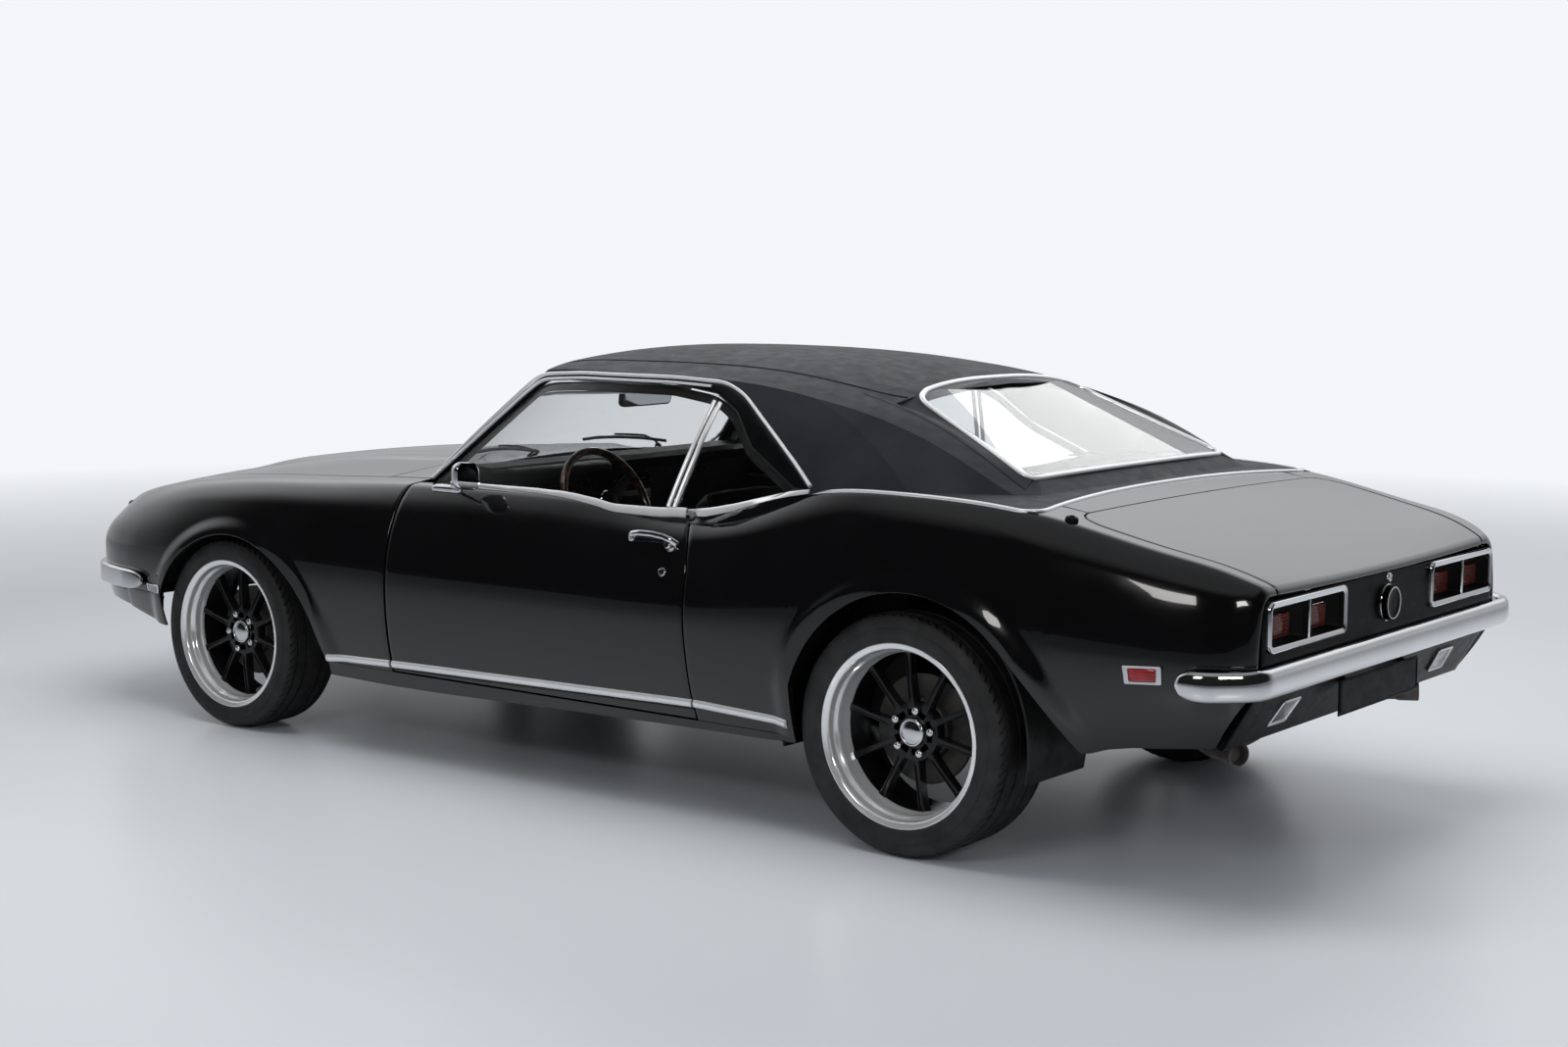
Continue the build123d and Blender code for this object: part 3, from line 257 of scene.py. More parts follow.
MAT = {
    "paint": paint(),
    "tail": satin_black("tail_black", 0.26, 0.36, (0.0020, 0.0020, 0.0023), ior=1.14),
    "vinyl": vinyl("roof_vinyl", (0.0085, 0.0095, 0.0125)),
    "seat": vinyl("seat_vinyl", (0.0050, 0.0050, 0.0055), 300.0, 0.0003, 0.40, 0.52, 0.16, 0.15),
    "chrome": metal("chrome", (0.80, 0.81, 0.83), 0.03, 0.10),
    "bright": metal("bright_trim", (0.90, 0.91, 0.93), 0.12, 0.20, share=0.55),
    "alloy": metal("polished_alloy", (0.93, 0.94, 0.95), 0.08, 0.20, 0.02, 24.0, 0.64),
    "spoke": satin_black("wheel_black", 0.14, 0.26, (0.007, 0.007, 0.008), 300.0, 1.42),
    "trim": satin_black("black_trim", 0.40, 0.55, (0.0045, 0.0045, 0.0048)),
    "chassis": steel("chassis_black", (0.03, 0.03, 0.031), 0.45, 0.7),
    "iron": steel("cast_iron", (0.10, 0.095, 0.09), 0.5, 0.75),
    "exhaust": steel("exhaust_steel", (0.22, 0.20, 0.19), 0.34, 0.58),
    "engine": steel("engine_iron", (0.06, 0.06, 0.062), 0.4, 0.65),
    "rubber": rubber("tyre_rubber"),
    "seal": rubber("seal_rubber", (0.008, 0.008, 0.008)),
    "glass": glass("tinted_glass", (0.915, 0.930, 0.935)),
    "dark_glass": satin_black("glass_margin", 0.02, 0.05, (0.0030, 0.0032, 0.0035), 300.0, 1.4),
    "rear_glass": glass("rear_window_glass", (0.86, 0.885, 0.90)),
    "red": lens("lamp_red", (0.16, 0.006, 0.010), (0.30, 0.012, 0.016)),
    "grid": grid_lens(),
    "clear": lens("lamp_clear", (0.20, 0.20, 0.21), (0.30, 0.30, 0.31)),
    "smoke": lens("lamp_smoke", (0.045, 0.042, 0.040), (0.085, 0.080, 0.078)),
    "amber": lens("lamp_amber", (0.5, 0.13, 0.01), (0.62, 0.2, 0.02)),
    "plate": satin_black("plate_blank", 0.32, 0.45, (0.0035, 0.0035, 0.0042)),
    "wood": wood(),
    "carpet": carpet(),
    "dial": satin_black("dial_black", 0.2, 0.3, (0.012, 0.012, 0.013)),
    "white": satin_black("dial_white", 0.4, 0.5, (0.55, 0.55, 0.53)),
    "mirror": metal("mirror_glass", (0.86, 0.88, 0.90), 0.0, 0.02),
}

# ---------------------------------------------------------------- mesh helpers


def place(name, verts, faces, material, body="root", stands_for=(), slot=None, sharp=None):
    """One named piece from its points and faces, riding on a body."""
    data = bpy.data.meshes.new(name)
    data.from_pydata([tuple(map(float, v)) for v in verts], [], [tuple(map(int, f)) for f in faces])
    data.validate()
    data.materials.append(MAT[material])
    piece = bpy.data.objects.new(name, data)
    scene.collection.objects.link(piece)
    data.shade_smooth()
    if sharp:
        data.set_sharp_from_angle(angle=math.radians(sharp))
    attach(piece, body)
    for node in stands_for:
        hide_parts(node)
    return piece


def tidy_normals(piece):
    """Turns every face outwards."""
    bm = bmesh.new()
    bm.from_mesh(piece.data)
    bmesh.ops.remove_doubles(bm, verts=bm.verts, dist=1e-6)
    bmesh.ops.recalc_face_normals(bm, faces=bm.faces)
    bm.to_mesh(piece.data)
    bm.free()
    piece.data.update()


def solid(name, part, material, body="root", sharp=40, **more):
    """One named closed piece, its faces turned outwards."""
    piece = place(name, *part, material, body, sharp=sharp, **more)
    tidy_normals(piece)
    return piece


def grid_faces(rows, columns, closed=False, wrap=False):
    """Quads of a rows x columns grid; closed joins the last column to the first, wrap the last row."""
    faces = []
    for i in range(rows if wrap else rows - 1):
        below = (i + 1) % rows
        for j in range(columns if closed else columns - 1):
            k = (j + 1) % columns
            faces.append((i * columns + j, i * columns + k, below * columns + k, below * columns + j))
    return faces


def merge(parts):
    """Joins (verts, faces) lists into one."""
    verts, faces = [], []
    for v, f in parts:
        base = len(verts)
        verts.extend([tuple(map(float, p)) for p in v])
        faces.extend([tuple(base + k for k in face) for face in f])
    return verts, faces


def mirrored(part):
    """The same part on the other side of the car."""
    verts, faces = part
    return [(x, -y, z) for x, y, z in verts], [tuple(reversed(f)) for f in faces]


def on_side(part, side):
    """The part as it is on the left, and mirrored on the right."""
    return part if side == "left" else mirrored(part)


def resample(points, count):
    """count points evenly spaced along a polyline."""
    p = np.asarray(points, float)
    step = np.linalg.norm(np.diff(p, axis=0), axis=1)
    along = np.concatenate([[0], np.cumsum(step)])
    want = np.linspace(0, along[-1], count)
    return np.stack([np.interp(want, along, p[:, k]) for k in range(p.shape[1])], axis=1)


def rounded_path(points, radius, steps=8, closed=False):
    """Polyline with its corners rounded by arcs of about that radius."""
    p = [np.asarray(q, float) for q in points]
    n = len(p)
    radii = radius if hasattr(radius, "__len__") else [radius] * n
    out = []
    for i in range(n):
        if not closed and i in (0, n - 1):
            out.append(p[i])
            continue
        a, b, c = p[i - 1], p[i], p[(i + 1) % n]
        u, v = a - b, c - b
        lu, lv = np.linalg.norm(u), np.linalg.norm(v)
        u, v = u / lu, v / lv
        half = math.acos(max(-1.0, min(1.0, float(u @ v)))) / 2
        if half > math.pi / 2 - 1e-3 or radii[i] <= 0:
            out.append(b)
            continue
        cut = min(radii[i] / math.tan(half), 0.48 * lu, 0.48 * lv)
        start, end = b + u * cut, b + v * cut
        for k in range(steps + 1):
            t = k / steps
            out.append((1 - t) ** 2 * start + 2 * t * (1 - t) * b + t * t * end)
    return np.array(out)


def sweep(path, section, up, closed=False, scale=None):
    """Section points (side, up) carried along a path; up stays as near as it can to the given way."""
    p = np.asarray(path, float)
    n = len(p)
    if closed:
        tangent = np.roll(p, -1, 0) - np.roll(p, 1, 0)
    else:
        tangent = np.gradient(p, axis=0)
    tangent /= np.linalg.norm(tangent, axis=1)[:, None]
    ups = np.broadcast_to(np.asarray(up, float), (n, 3))
    side = np.cross(tangent, ups)
    side /= np.linalg.norm(side, axis=1)[:, None]
    rise = np.cross(side, tangent)
    s = np.asarray(section, float)
    size = np.ones(n) if scale is None else np.asarray(scale, float)
    spread = s[None, :, 0, None] * side[:, None, :] + s[None, :, 1, None] * rise[:, None, :]
    ring = p[:, None, :] + size[:, None, None] * spread
    m = len(s)
    verts = ring.reshape(-1, 3)
    faces = grid_faces(n, m, closed=True, wrap=closed)
    faces = [tuple(reversed(f)) for f in faces]
    if not closed:
        faces.append(tuple(range(m)))
        faces.append(tuple((n - 1) * m + k for k in reversed(range(m))))
    return verts, faces


def circle(radius, count, squash=1.0):
    return [(radius * math.cos(2 * math.pi * k / count), radius * squash * math.sin(2 * math.pi * k / count))
            for k in range(count)]


def strip_section(width, height, base=0.0):
    """Half-round trim bar: flat below, crowned above, width along the side axis."""
    count = 5
    top = [(width / 2 * math.cos(math.pi * k / (2 * count - 2)),
            base + height * math.sin(math.pi * k / (2 * count - 2)) ** 0.7) for k in range(2 * count - 1)]
    return [(-width / 2, base - 0.003), *[(-a, b) for a, b in top], (width / 2, base - 0.003)]


def lathe(profile, centre, axis, count, closed=True):
    """Profile points (along the axis, radius) spun round the axis."""
    axis = Vector(axis).normalized()
    side = axis.orthogonal().normalized()
    up = axis.cross(side)
    c = Vector(centre)
    verts = []
    for a, r in profile:
        for k in range(count):
            t = 2 * math.pi * k / count
            verts.append(c + axis * a + (side * math.cos(t) + up * math.sin(t)) * r)
    faces = grid_faces(len(profile), count, closed=True)
    if closed and profile[0][1] > 1e-6:
        faces.append(tuple(reversed(range(count))))
    if closed and profile[-1][1] > 1e-6:
        base = (len(profile) - 1) * count
        faces.append(tuple(base + k for k in range(count)))
    return verts, faces


def soft_box(low, high, radius, steps):
    """Box with every edge rounded."""
    bm = bmesh.new()
    bmesh.ops.create_cube(bm, size=1.0)
    size = [b - a for a, b in zip(low, high)]
    for v in bm.verts:
        v.co = Vector([(a + b) / 2 + c * s for a, b, c, s in zip(low, high, v.co, size)])
    bmesh.ops.bevel(bm, geom=list(bm.edges), offset=min(radius, min(size) * 0.49), segments=steps,
                    profile=0.5, affect="EDGES")
    bm.verts.index_update()
    part = [tuple(v.co) for v in bm.verts], [tuple(v.index for v in f.verts) for f in bm.faces]
    bm.free()
    return part


def turned(part, matrix):
    """The part moved and turned by a matrix."""
    verts, faces = part
    return [tuple(matrix @ Vector(v)) for v in verts], faces


# ---------------------------------------------------------------- body surface

# x, sill corner (y, z), widest point (y, z), shoulder (y, z), panel edge (y, z), height at the middle.
STATIONS = np.array([
    (-2302, 690, 400, 772, 600, 752, 742, 700, 786, 776),
    (-2260, 738, 396, 818, 596, 794, 752, 732, 808, 792),
    (-2200, 778, 392, 852, 590, 824, 765, 758, 832, 814),
    (-2000, 812, 372, 885, 580, 852, 800, 785, 875, 876),
    (-1700, 842, 326, 908, 575, 872, 838, 795, 938, 950),
    (-1333, 860, 290, 917, 570, 880, 850, 802, 960, 985),
    (-1000, 866, 262, 915, 565, 872, 840, 803, 950, 985),
    (-640, 868, 258, 913, 560, 868, 780, 790, 858, 890),
    (0, 868, 245, 915, 555, 866, 775, 795, 872, 895),
    (580, 868, 234, 917, 550, 868, 778, 800, 868, 925),
    (1000, 868, 240, 916, 550, 872, 775, 792, 852, 905),
    (1414, 866, 250, 912, 550, 868, 765, 782, 834, 882),
    (1800, 846, 300, 888, 545, 842, 730, 748, 796, 838),
    (2080, 796, 330, 838, 545, 790, 664, 690, 743, 790),
    (2210, 730, 335, 772, 550, 730, 636, 628, 708, 764),
    (2290, 640, 335, 680, 555, 650, 620, 566, 682, 742),
]) * MM
SPACING = np.array([0.0, 0.300, 0.525, 0.645, 1.345])  # nominal run of the outline at s = 0, 1, 2, 3, 4


def smooth_columns():
    """Station table carried to every centimetre and eased along the car."""
    x = STATIONS[:, 0]
    h = np.diff(x)
    slope = np.diff(STATIONS[:, 1:], axis=0) / h[:, None]
    middle = (h[1:, None] * slope[:-1] + h[:-1, None] * slope[1:]) / (h[1:] + h[:-1])[:, None]
    m = np.vstack([slope[:1], middle, slope[-1:]])
    fine = np.arange(x[0], x[-1] + 1e-6, 0.008)
    k = np.clip(np.searchsorted(x, fine, side="right") - 1, 0, len(h) - 1)
    t = ((fine - x[k]) / h[k])[:, None]
    value = ((2 * t ** 3 - 3 * t ** 2 + 1) * STATIONS[k, 1:] + (t ** 3 - 2 * t ** 2 + t) * h[k, None] * m[k]
             + (-2 * t ** 3 + 3 * t ** 2) * STATIONS[k + 1, 1:] + (t ** 3 - t ** 2) * h[k, None] * m[k + 1])
    ends = np.minimum(fine - fine[0], fine[-1] - fine)
    sigma = np.clip(0.25 * ends, 0.004, 0.075)
    weight = np.exp(-0.5 * ((fine[None, :] - fine[:, None]) / sigma[:, None]) ** 2)
    weight /= weight.sum(1)[:, None]
    centre = (weight * fine[None, :]).sum(1)
    return fine, weight @ value + (fine - centre)[:, None] * np.gradient(value, fine, axis=0)


FINE_X, FINE = smooth_columns()
PEAK_ROUND = 0.016  # half width of the rounding along the fender peak


def outline(x, s):
    """Point of the left body surface: x along the car, s = 0 sill, 1 widest, 2 shoulder, 3 peak, 4 middle."""
    x, s = np.broadcast_arrays(np.asarray(x, float), np.asarray(s, float))
    yl, zl, yw, zw, ys, zs, ye, ze, zm = [np.interp(x, FINE_X, FINE[:, k]) for k in range(9)]

    def lower(q):
        yc = (yw ** 2 - yl ** 2 - (zw - zl) ** 2) / (2 * (yw - yl))
        angle = np.arctan2(zl - zw, yl - yc) * (1 - q)
        r = yw - yc
        return yc + r * np.cos(angle), zw + r * np.sin(angle)

    yc2 = (yw ** 2 - ys ** 2 - (zs - zw) ** 2) / (2 * (yw - ys))
    r2 = yw - yc2
    top = np.arctan2(zs - zw, ys - yc2)

    def upper(q):
        return yc2 + r2 * np.cos(top * q), zw + r2 * np.sin(top * q)

    ty, tz = -np.sin(top), np.cos(top)
    ny, nz = -np.cos(top), -np.sin(top)
    dy, dz = ye - ys, ze - zs
    across, along = dy * ny + dz * nz, dy * ty + dz * tz
    across = np.where(np.abs(across) < 1e-5, 1e-5, across)
    radius = (dy ** 2 + dz ** 2) / (2 * across)
    turn = 2 * np.arctan2(across, along)

    def shoulder(q):
        a = turn * q
        return (ys + radius * (ny - ny * np.cos(a) + ty * np.sin(a)),
                zs + radius * (nz - nz * np.cos(a) + tz * np.sin(a)))

    def crown(q):
        y = ye * (1 - q)
        return y, zm - (zm - ze) * (1 - q) ** 2

    length = np.maximum(np.abs(radius * turn), 0.02)
    before, after = PEAK_ROUND / length, PEAK_ROUND / ye
    y = np.zeros_like(x)
    z = np.zeros_like(x)
    for low, high, curve in ((-1, 1, lower), (1, 2, upper), (2, 3, shoulder), (3, 5, crown)):
        inside = (s >= low) & (s < high)
        cy, cz = curve(s - max(low, 0))
        y, z = np.where(inside, cy, y), np.where(inside, cz, z)
    start, end = 3 - before, 3 + after
    near = (s > start) & (s < end)
    t = np.clip((s - start) / (end - start), 0, 1)
    ay, az = shoulder(1 - before)
    by, bz = crown(after)
    y = np.where(near, (1 - t) ** 2 * ay + 2 * t * (1 - t) * ye + t ** 2 * by, y)
    z = np.where(near, (1 - t) ** 2 * az + 2 * t * (1 - t) * ze + t ** 2 * bz, z)
    return np.stack([x, y, z], axis=-1)


def s_at_z(x, z):
    """Place on the flank whose height is z."""
    grid = np.linspace(0, 3, 241)
    out = []
    for a, b in zip(np.atleast_1d(x), np.atleast_1d(z)):
        out.append(np.interp(b, outline(a, grid)[:, 2], grid))
    return np.array(out)


def s_at_y(x, y):
    """Place on the shoulder or the top whose half width is y."""
    grid = np.linspace(2, 4, 241)
    out = []
    for a, b in zip(np.atleast_1d(x), np.atleast_1d(y)):
        out.append(np.interp(-b, -outline(a, grid)[:, 1], grid))
    return np.array(out)


def surface_normal(x, s):
    e = 0.002
    along = outline(x + e, s) - outline(x - e, s)
    up = outline(x, s + 0.01) - outline(x, s - 0.01)
    n = np.cross(along, up)
    n /= np.linalg.norm(n, axis=-1)[..., None]
    return n * np.where(n[..., 1:2] + n[..., 2:3] < 0, -1, 1)


def ease(t):
    t = np.clip(t, 0, 1)
    return t * t * (3 - 2 * t)


# Wheel openings, from the front foot to the rear one: mm ahead of the axle and mm above the floor.
FRONT_AXLE, REAR_AXLE = 1.4135, -1.3325
FRONT_ARCH = np.array([(355, 330), (344, 400), (0, 655), (-292, 590), (-430, 470), (-520, 310)]) * MM
REAR_ARCH = np.array([(338, 300), (340, 420), (0, 712), (-310, 610), (-420, 500), (-530, 350)]) * MM


def arc3(a, b, c, count):
    """Points of the arc through three points."""
    (ax, ay), (bx, by), (cx, cy) = a, b, c
    d = 2 * (ax * (by - cy) + bx * (cy - ay) + cx * (ay - by))
    aa, bb, cc = ax ** 2 + ay ** 2, bx ** 2 + by ** 2, cx ** 2 + cy ** 2
    ux = (aa * (by - cy) + bb * (cy - ay) + cc * (ay - by)) / d
    uy = (aa * (cx - bx) + bb * (ax - cx) + cc * (bx - ax)) / d
    r = math.hypot(ax - ux, ay - uy)
    t0, t1 = math.atan2(ay - uy, ax - ux), math.atan2(cy - uy, cx - ux)
    tm = math.atan2(by - uy, bx - ux)
    while tm < t0:
        tm += 2 * math.pi
    while t1 < tm:
        t1 += 2 * math.pi
    if t1 - t0 > 2 * math.pi:
        t1 -= 2 * math.pi
    return [(ux + r * math.cos(t0 + (t1 - t0) * k / count), uy + r * math.sin(t0 + (t1 - t0) * k / count))
            for k in range(count + 1)]


def arch_curve(axle, points):
    """Edge of a wheel opening: a straight front foot, then two arcs."""
    p = [(axle + a, b) for a, b in points]
    first = arc3(p[1], p[2], p[3], 40)
    return np.array([p[0], *first, *arc3(p[3], p[4], p[5], 24)[1:]])


FRONT_LIP = arch_curve(FRONT_AXLE, FRONT_ARCH)
REAR_LIP = arch_curve(REAR_AXLE, REAR_ARCH)


def distance_to(curve, x, z):
    """Distance in the side view from each point to a polyline."""
    a, b = curve[:-1], curve[1:]
    p = np.stack([x, z], axis=-1)[..., None, :]
    ab = b - a
    t = np.clip(((p - a) * ab).sum(-1) / (ab ** 2).sum(-1), 0, 1)
    near = a + t[..., None] * ab
    return np.sqrt(((p - near) ** 2).sum(-1)).min(-1)


FLARES = [  # curve, how far the lip stands out, width of its flat, width of its run-out
    (FRONT_LIP, 0.010, 0.014, 0.050),
    (REAR_LIP, 0.012, 0.016, 0.060),
]
WIDEST = 0.9195  # half width that the flares stay inside
BULGE_HALF, BULGE_RISE, BULGE_EASE = 0.265, 0.014, 0.045
TAIL_X, TAIL_ROUND = -2.302, 0.016  # tail plane and the rounding of the body's edge along it


def shaped(x, s):
    """Body surface with its wheel flares and the raised middle of the bonnet."""
    p = outline(x, s)
    out = np.zeros_like(p[..., 0])
    for curve, stand, flat, run in FLARES:
        near = (np.abs(p[..., 0] - curve[:, 0].mean()) < 0.8) & (p[..., 1] > 0.6)
        if near.any():
            d = distance_to(curve, p[..., 0][near], p[..., 2][near])
            out[near] = np.maximum(out[near], stand * (1 - ease((d - flat) / run)))
    n = surface_normal(x, s)
    across = n * [0, 1, 1]
    across /= np.maximum(np.linalg.norm(across, axis=-1), 1e-6)[..., None]
    short = TAIL_ROUND - np.clip(p[..., 0] - TAIL_X, 0, TAIL_ROUND)
    room = np.maximum(WIDEST - p[..., 1], 0.0)
    out = np.where(out > 0, np.minimum(out, room), out)
    p = p + n * out[..., None] - across * (TAIL_ROUND - np.sqrt(TAIL_ROUND ** 2 - short ** 2))[..., None]
    hood = ease((p[..., 0] - 0.60) / 0.10) * ease((2.20 - p[..., 0]) / 0.5)
    half = BULGE_HALF - 0.05 * np.clip((p[..., 0] - 1.0) / 1.2, 0, 1)
    p[..., 2] += BULGE_RISE * hood * (1 - ease((p[..., 1] - half) / BULGE_EASE)) * (s > 3)
    return p


def run_of(s):
    """Nominal run of the outline at a place s."""
    return np.interp(s, [0, 1, 2, 3, 4], SPACING)


def s_of(run):
    """Place s of a run of the outline."""
    return np.interp(run, SPACING, [0, 1, 2, 3, 4])


def patch_grid(lower, upper, rows, dense):
    """(x, s) grid between two matched curves, with a band of rows along the peak at s = 3."""
    lower, upper = np.asarray(lower), np.asarray(upper)
    k = np.linspace(0, 1, rows)
    if dense > 0:
        k = (np.exp(dense * k) - 1) / (math.exp(dense) - 1)
    xs, ss = [], []
    peak = SPACING[3]
    crosses = all(run_of(sl) < peak < run_of(su) for (_, sl), (_, su) in zip(lower, upper))
    first = max(3, int(round((rows - 9) * 0.72)))
    for (xl, sl), (xu, su) in zip(lower, upper):
        a, b = run_of(sl), run_of(su)
        if crosses:
            before, after = min(0.018, 0.5 * (peak - a)), min(0.018, 0.5 * (b - peak))
            band = np.concatenate([np.linspace(peak - before, peak, 5),
                                   np.linspace(peak, peak + after, 5)[1:]])
            run = np.concatenate([a + (band[0] - a) * (k[np.linspace(0, rows - 1, first).astype(int)]),
                                  band[1:-1], np.linspace(band[-1], b, rows - first - 7)])
        else:
            run = a + (b - a) * k
        t = (run - a) / (b - a)
        xs.append(xl + (xu - xl) * t)
        ss.append(s_of(run))
    return np.array(xs).T, np.array(ss).T  # rows x columns


HEM_STEPS = 3


def panel(points, normals, radius, depth, inner=None):
    """Closed panel: outer face, rounded hem, flange and inner face, which inner can shape."""
    rows, columns = points.shape[:2]
    p = points.copy()
    n = normals
    # Edge directions that lie in the surface and point out of the patch.
    out = np.zeros_like(p)
    ring = ([(0, j) for j in range(columns)] + [(i, columns - 1) for i in range(1, rows)]
            + [(rows - 1, j) for j in range(columns - 2, -1, -1)] + [(i, 0) for i in range(rows - 2, 0, -1)])
    for i, j in ring:
        d = np.zeros(3)
        if i == 0:
            d += unit(p[0, j] - p[1, j])
        if i == rows - 1:
            d += unit(p[-1, j] - p[-2, j])
        if j == 0:
            d += unit(p[i, 0] - p[i, 1])
        if j == columns - 1:
            d += unit(p[i, -1] - p[i, -2])
        d -= n[i, j] * (d @ n[i, j])
        out[i, j] = unit(d)
    edge = np.array([p[i, j] for i, j in ring])
    way = np.array([out[i, j] for i, j in ring])
    up = np.array([n[i, j] for i, j in ring])
    flat = edge - way * radius
    for (i, j), q in zip(ring, flat):
        p[i, j] = q
    rings = []
    for k in range(1, HEM_STEPS + 1):
        a = math.pi / 2 * k / HEM_STEPS
        rings.append(flat + way * radius * math.sin(a) - up * radius * (1 - math.cos(a)))
    m = len(ring)
    if inner is None:
        back = p - n * depth
        back_edge = edge - up * depth
    else:
        back = inner(p)
        back_edge = inner(edge)
    for (i, j), q in zip(ring, back_edge):
        back[i, j] = q
    verts = [p.reshape(-1, 3), back.reshape(-1, 3), *rings]
    count = rows * columns
    faces = grid_faces(rows, columns)
    faces += [tuple(reversed([count + k for k in f])) for f in grid_faces(rows, columns)]
    index = [i * columns + j for i, j in ring]
    hems = [[2 * count + r * m + k for k in range(m)] for r in range(HEM_STEPS)]
    loops = [index, *hems, [count + k for k in index]]
    for a, b in zip(loops, loops[1:]):
        for k in range(m):
            q = (k + 1) % m
            faces.append((a[q], a[k], b[k], b[q]))
    return np.concatenate(verts), faces


def unit(v):
    """Vector of length one."""
    v = np.asarray(v, float)
    return v / max(np.linalg.norm(v), 1e-12)


def curve_xs(segments, columns, kind):
    """Matched boundary in (x, s) from polylines in (x, z) or (x, y), resampled piece by piece."""
    out = []
    for points, count in zip(segments, columns):
        q = resample(points, count)
        s = s_at_z(q[:, 0], q[:, 1]) if kind == "z" else s_at_y(q[:, 0], q[:, 1])
        rows = np.stack([q[:, 0], s], axis=1)
        out.append(rows if not out else rows[1:])
    return np.concatenate(out)


SEAM_X, SEAM_REACH = -0.643, 0.125
SEAM_LEAN = [(0.0, -0.004), (0.10, 0.010), (0.30, 0.025), (0.45, 0.028), (0.54, 0.048), (0.60, 0.072),
             (0.66, 0.092), (0.74, 0.092)]


def leaned(x, s):
    """The door's rear shut line leans forwards towards the belt."""
    lean = np.interp(run_of(s), [a for a, _ in SEAM_LEAN], [b for _, b in SEAM_LEAN])
    return x + lean * np.exp(-((x - SEAM_X) / SEAM_REACH) ** 2)


def side_panel(name, body, low_segments, high_segments, columns, rows, node, dense, inner=None, inset=0.0):
    """Painted panel on both sides, between a lower boundary in (x, z) and an upper one in (x, y)."""
    lower = curve_xs(low_segments, columns, "z")
    upper = curve_xs(high_segments, columns, "y")
    x, s = patch_grid(lower, upper, rows, dense)
    x = leaned(x, s)
    p = shaped(x, s)
    e = 0.001
    du = shaped(x + e, s) - shaped(x - e, s)
    dv = shaped(x, s + 0.004) - shaped(x, s - 0.004)
    n = np.cross(du, dv)
    n /= np.linalg.norm(n, axis=-1)[..., None]
    n *= np.where(n[..., 1:2] * 1.0 + n[..., 2:3] * 0.6 < 0, -1, 1)
    if inset:
        p = p - n * inset
    part = panel(p, n, 0.0025, 0.018, inner)
    for side in HALF:
        carrier = body if body == "root" else f"{body}_{side}"
        solid(f"{name}_skin_{side}", on_side(part, side), "paint", carrier, 35,
              stands_for=[f"{node}_{side}"] if node else [], slot="body_paint")


# ---------------------------------------------------------------- side panels

FENDER_TOP = [(2.290, 0.640), (2.155, 0.547), (2.080, 0.565), (1.800, 0.645), (1.414, 0.695), (1.100, 0.702),
              (0.880, 0.702)]
ROCKER = 0.2825
VALANCE_TOP = 0.4153
front_foot = FRONT_LIP[FRONT_LIP[:, 1] > VALANCE_TOP]
front_start = (float(np.interp(VALANCE_TOP, FRONT_LIP[:6, 1], FRONT_LIP[:6, 0])), VALANCE_TOP)
crest = int(np.argmax(front_foot[:, 1]))
side_panel(
    "fender", "root",
    [[(2.290, VALANCE_TOP), front_start], [front_start, *front_foot[:crest + 1]],
     [*front_foot[crest:], (FRONT_LIP[-1, 0], ROCKER)], [(FRONT_LIP[-1, 0], ROCKER), (0.5995, ROCKER)]],
    [FENDER_TOP[:4], FENDER_TOP[3:5], FENDER_TOP[4:], [FENDER_TOP[6], (0.5995, 0.702)]],
    [30, 34, 40, 18], 62, "fender", dense=1.9)

# Boot lid seam: an elliptical front corner, then an easy run in towards the tail.
DECK_FRONT, DECK_TURN, DECK_HALF, DECK_WIDE = -1.762, -1.862, 0.640, 0.728


def deck_half(x):
    """Half width of the boot lid."""
    if x > DECK_TURN:
        reach = min(1.0, (x - DECK_TURN) / (DECK_FRONT - DECK_TURN))
        return DECK_HALF + (DECK_WIDE - DECK_HALF) * math.sqrt(1 - reach ** 2)
    back = DECK_TURN - x
    return DECK_WIDE - 0.1721 * back ** 2 - 0.4072 * back ** 3


def deck_corner(gap):
    """Front corner of the seam, moved outwards by gap."""
    angle = np.linspace(0, math.pi / 2, 18)
    x = DECK_TURN + (DECK_FRONT - DECK_TURN + gap) * np.cos(angle)
    y = DECK_HALF + (DECK_WIDE - DECK_HALF + gap) * np.sin(angle)
    return [(a, b) for a, b in zip(x, y) if b > DECK_HALF + gap]


PAN_TOP, PAN_FOOT = (-2.302, 0.545), (-2.204, 0.380)
TAIL_BEND = -2.282
deck_gap = 0.005
crest = int(np.argmax(REAR_LIP[:, 1]))
bend_z = PAN_TOP[1] - (TAIL_BEND - TAIL_X) * (PAN_TOP[1] - 0.394) / (PAN_FOOT[0] - PAN_TOP[0])
QUARTER_FOOT = [
    [(-0.645, ROCKER), (REAR_LIP[0, 0], ROCKER)],
    [(REAR_LIP[0, 0], ROCKER), *REAR_LIP[:crest + 1]],
    REAR_LIP[crest:],
    [(REAR_LIP[-1, 0], REAR_LIP[-1, 1]), (-2.000, 0.374), (-2.204, 0.394)],
    [(-2.204, 0.394), (TAIL_BEND, bend_z)],
    [(TAIL_BEND, bend_z), (TAIL_X, PAN_TOP[1])],
]
QUARTER_HEAD = [
    [(-0.645, 0.745), (-0.960, 0.745)],
    [(-0.960, 0.745), (-1.3325, 0.745)],
    [(-1.3325, 0.745), (-1.45, 0.735), (-1.52, 0.665), (-1.757, 0.645)],
    [(-1.757, 0.645), *deck_corner(deck_gap)],
    [(a, deck_half(a) + deck_gap) for a in np.linspace(DECK_TURN, TAIL_BEND, 24)],
    [(a, deck_half(a) + deck_gap) for a in (TAIL_BEND, TAIL_X)],
]
side_panel("quarter", "root", QUARTER_FOOT, QUARTER_HEAD, [22, 44, 48, 26, 34, 9], 66, "quarter", dense=1.9)

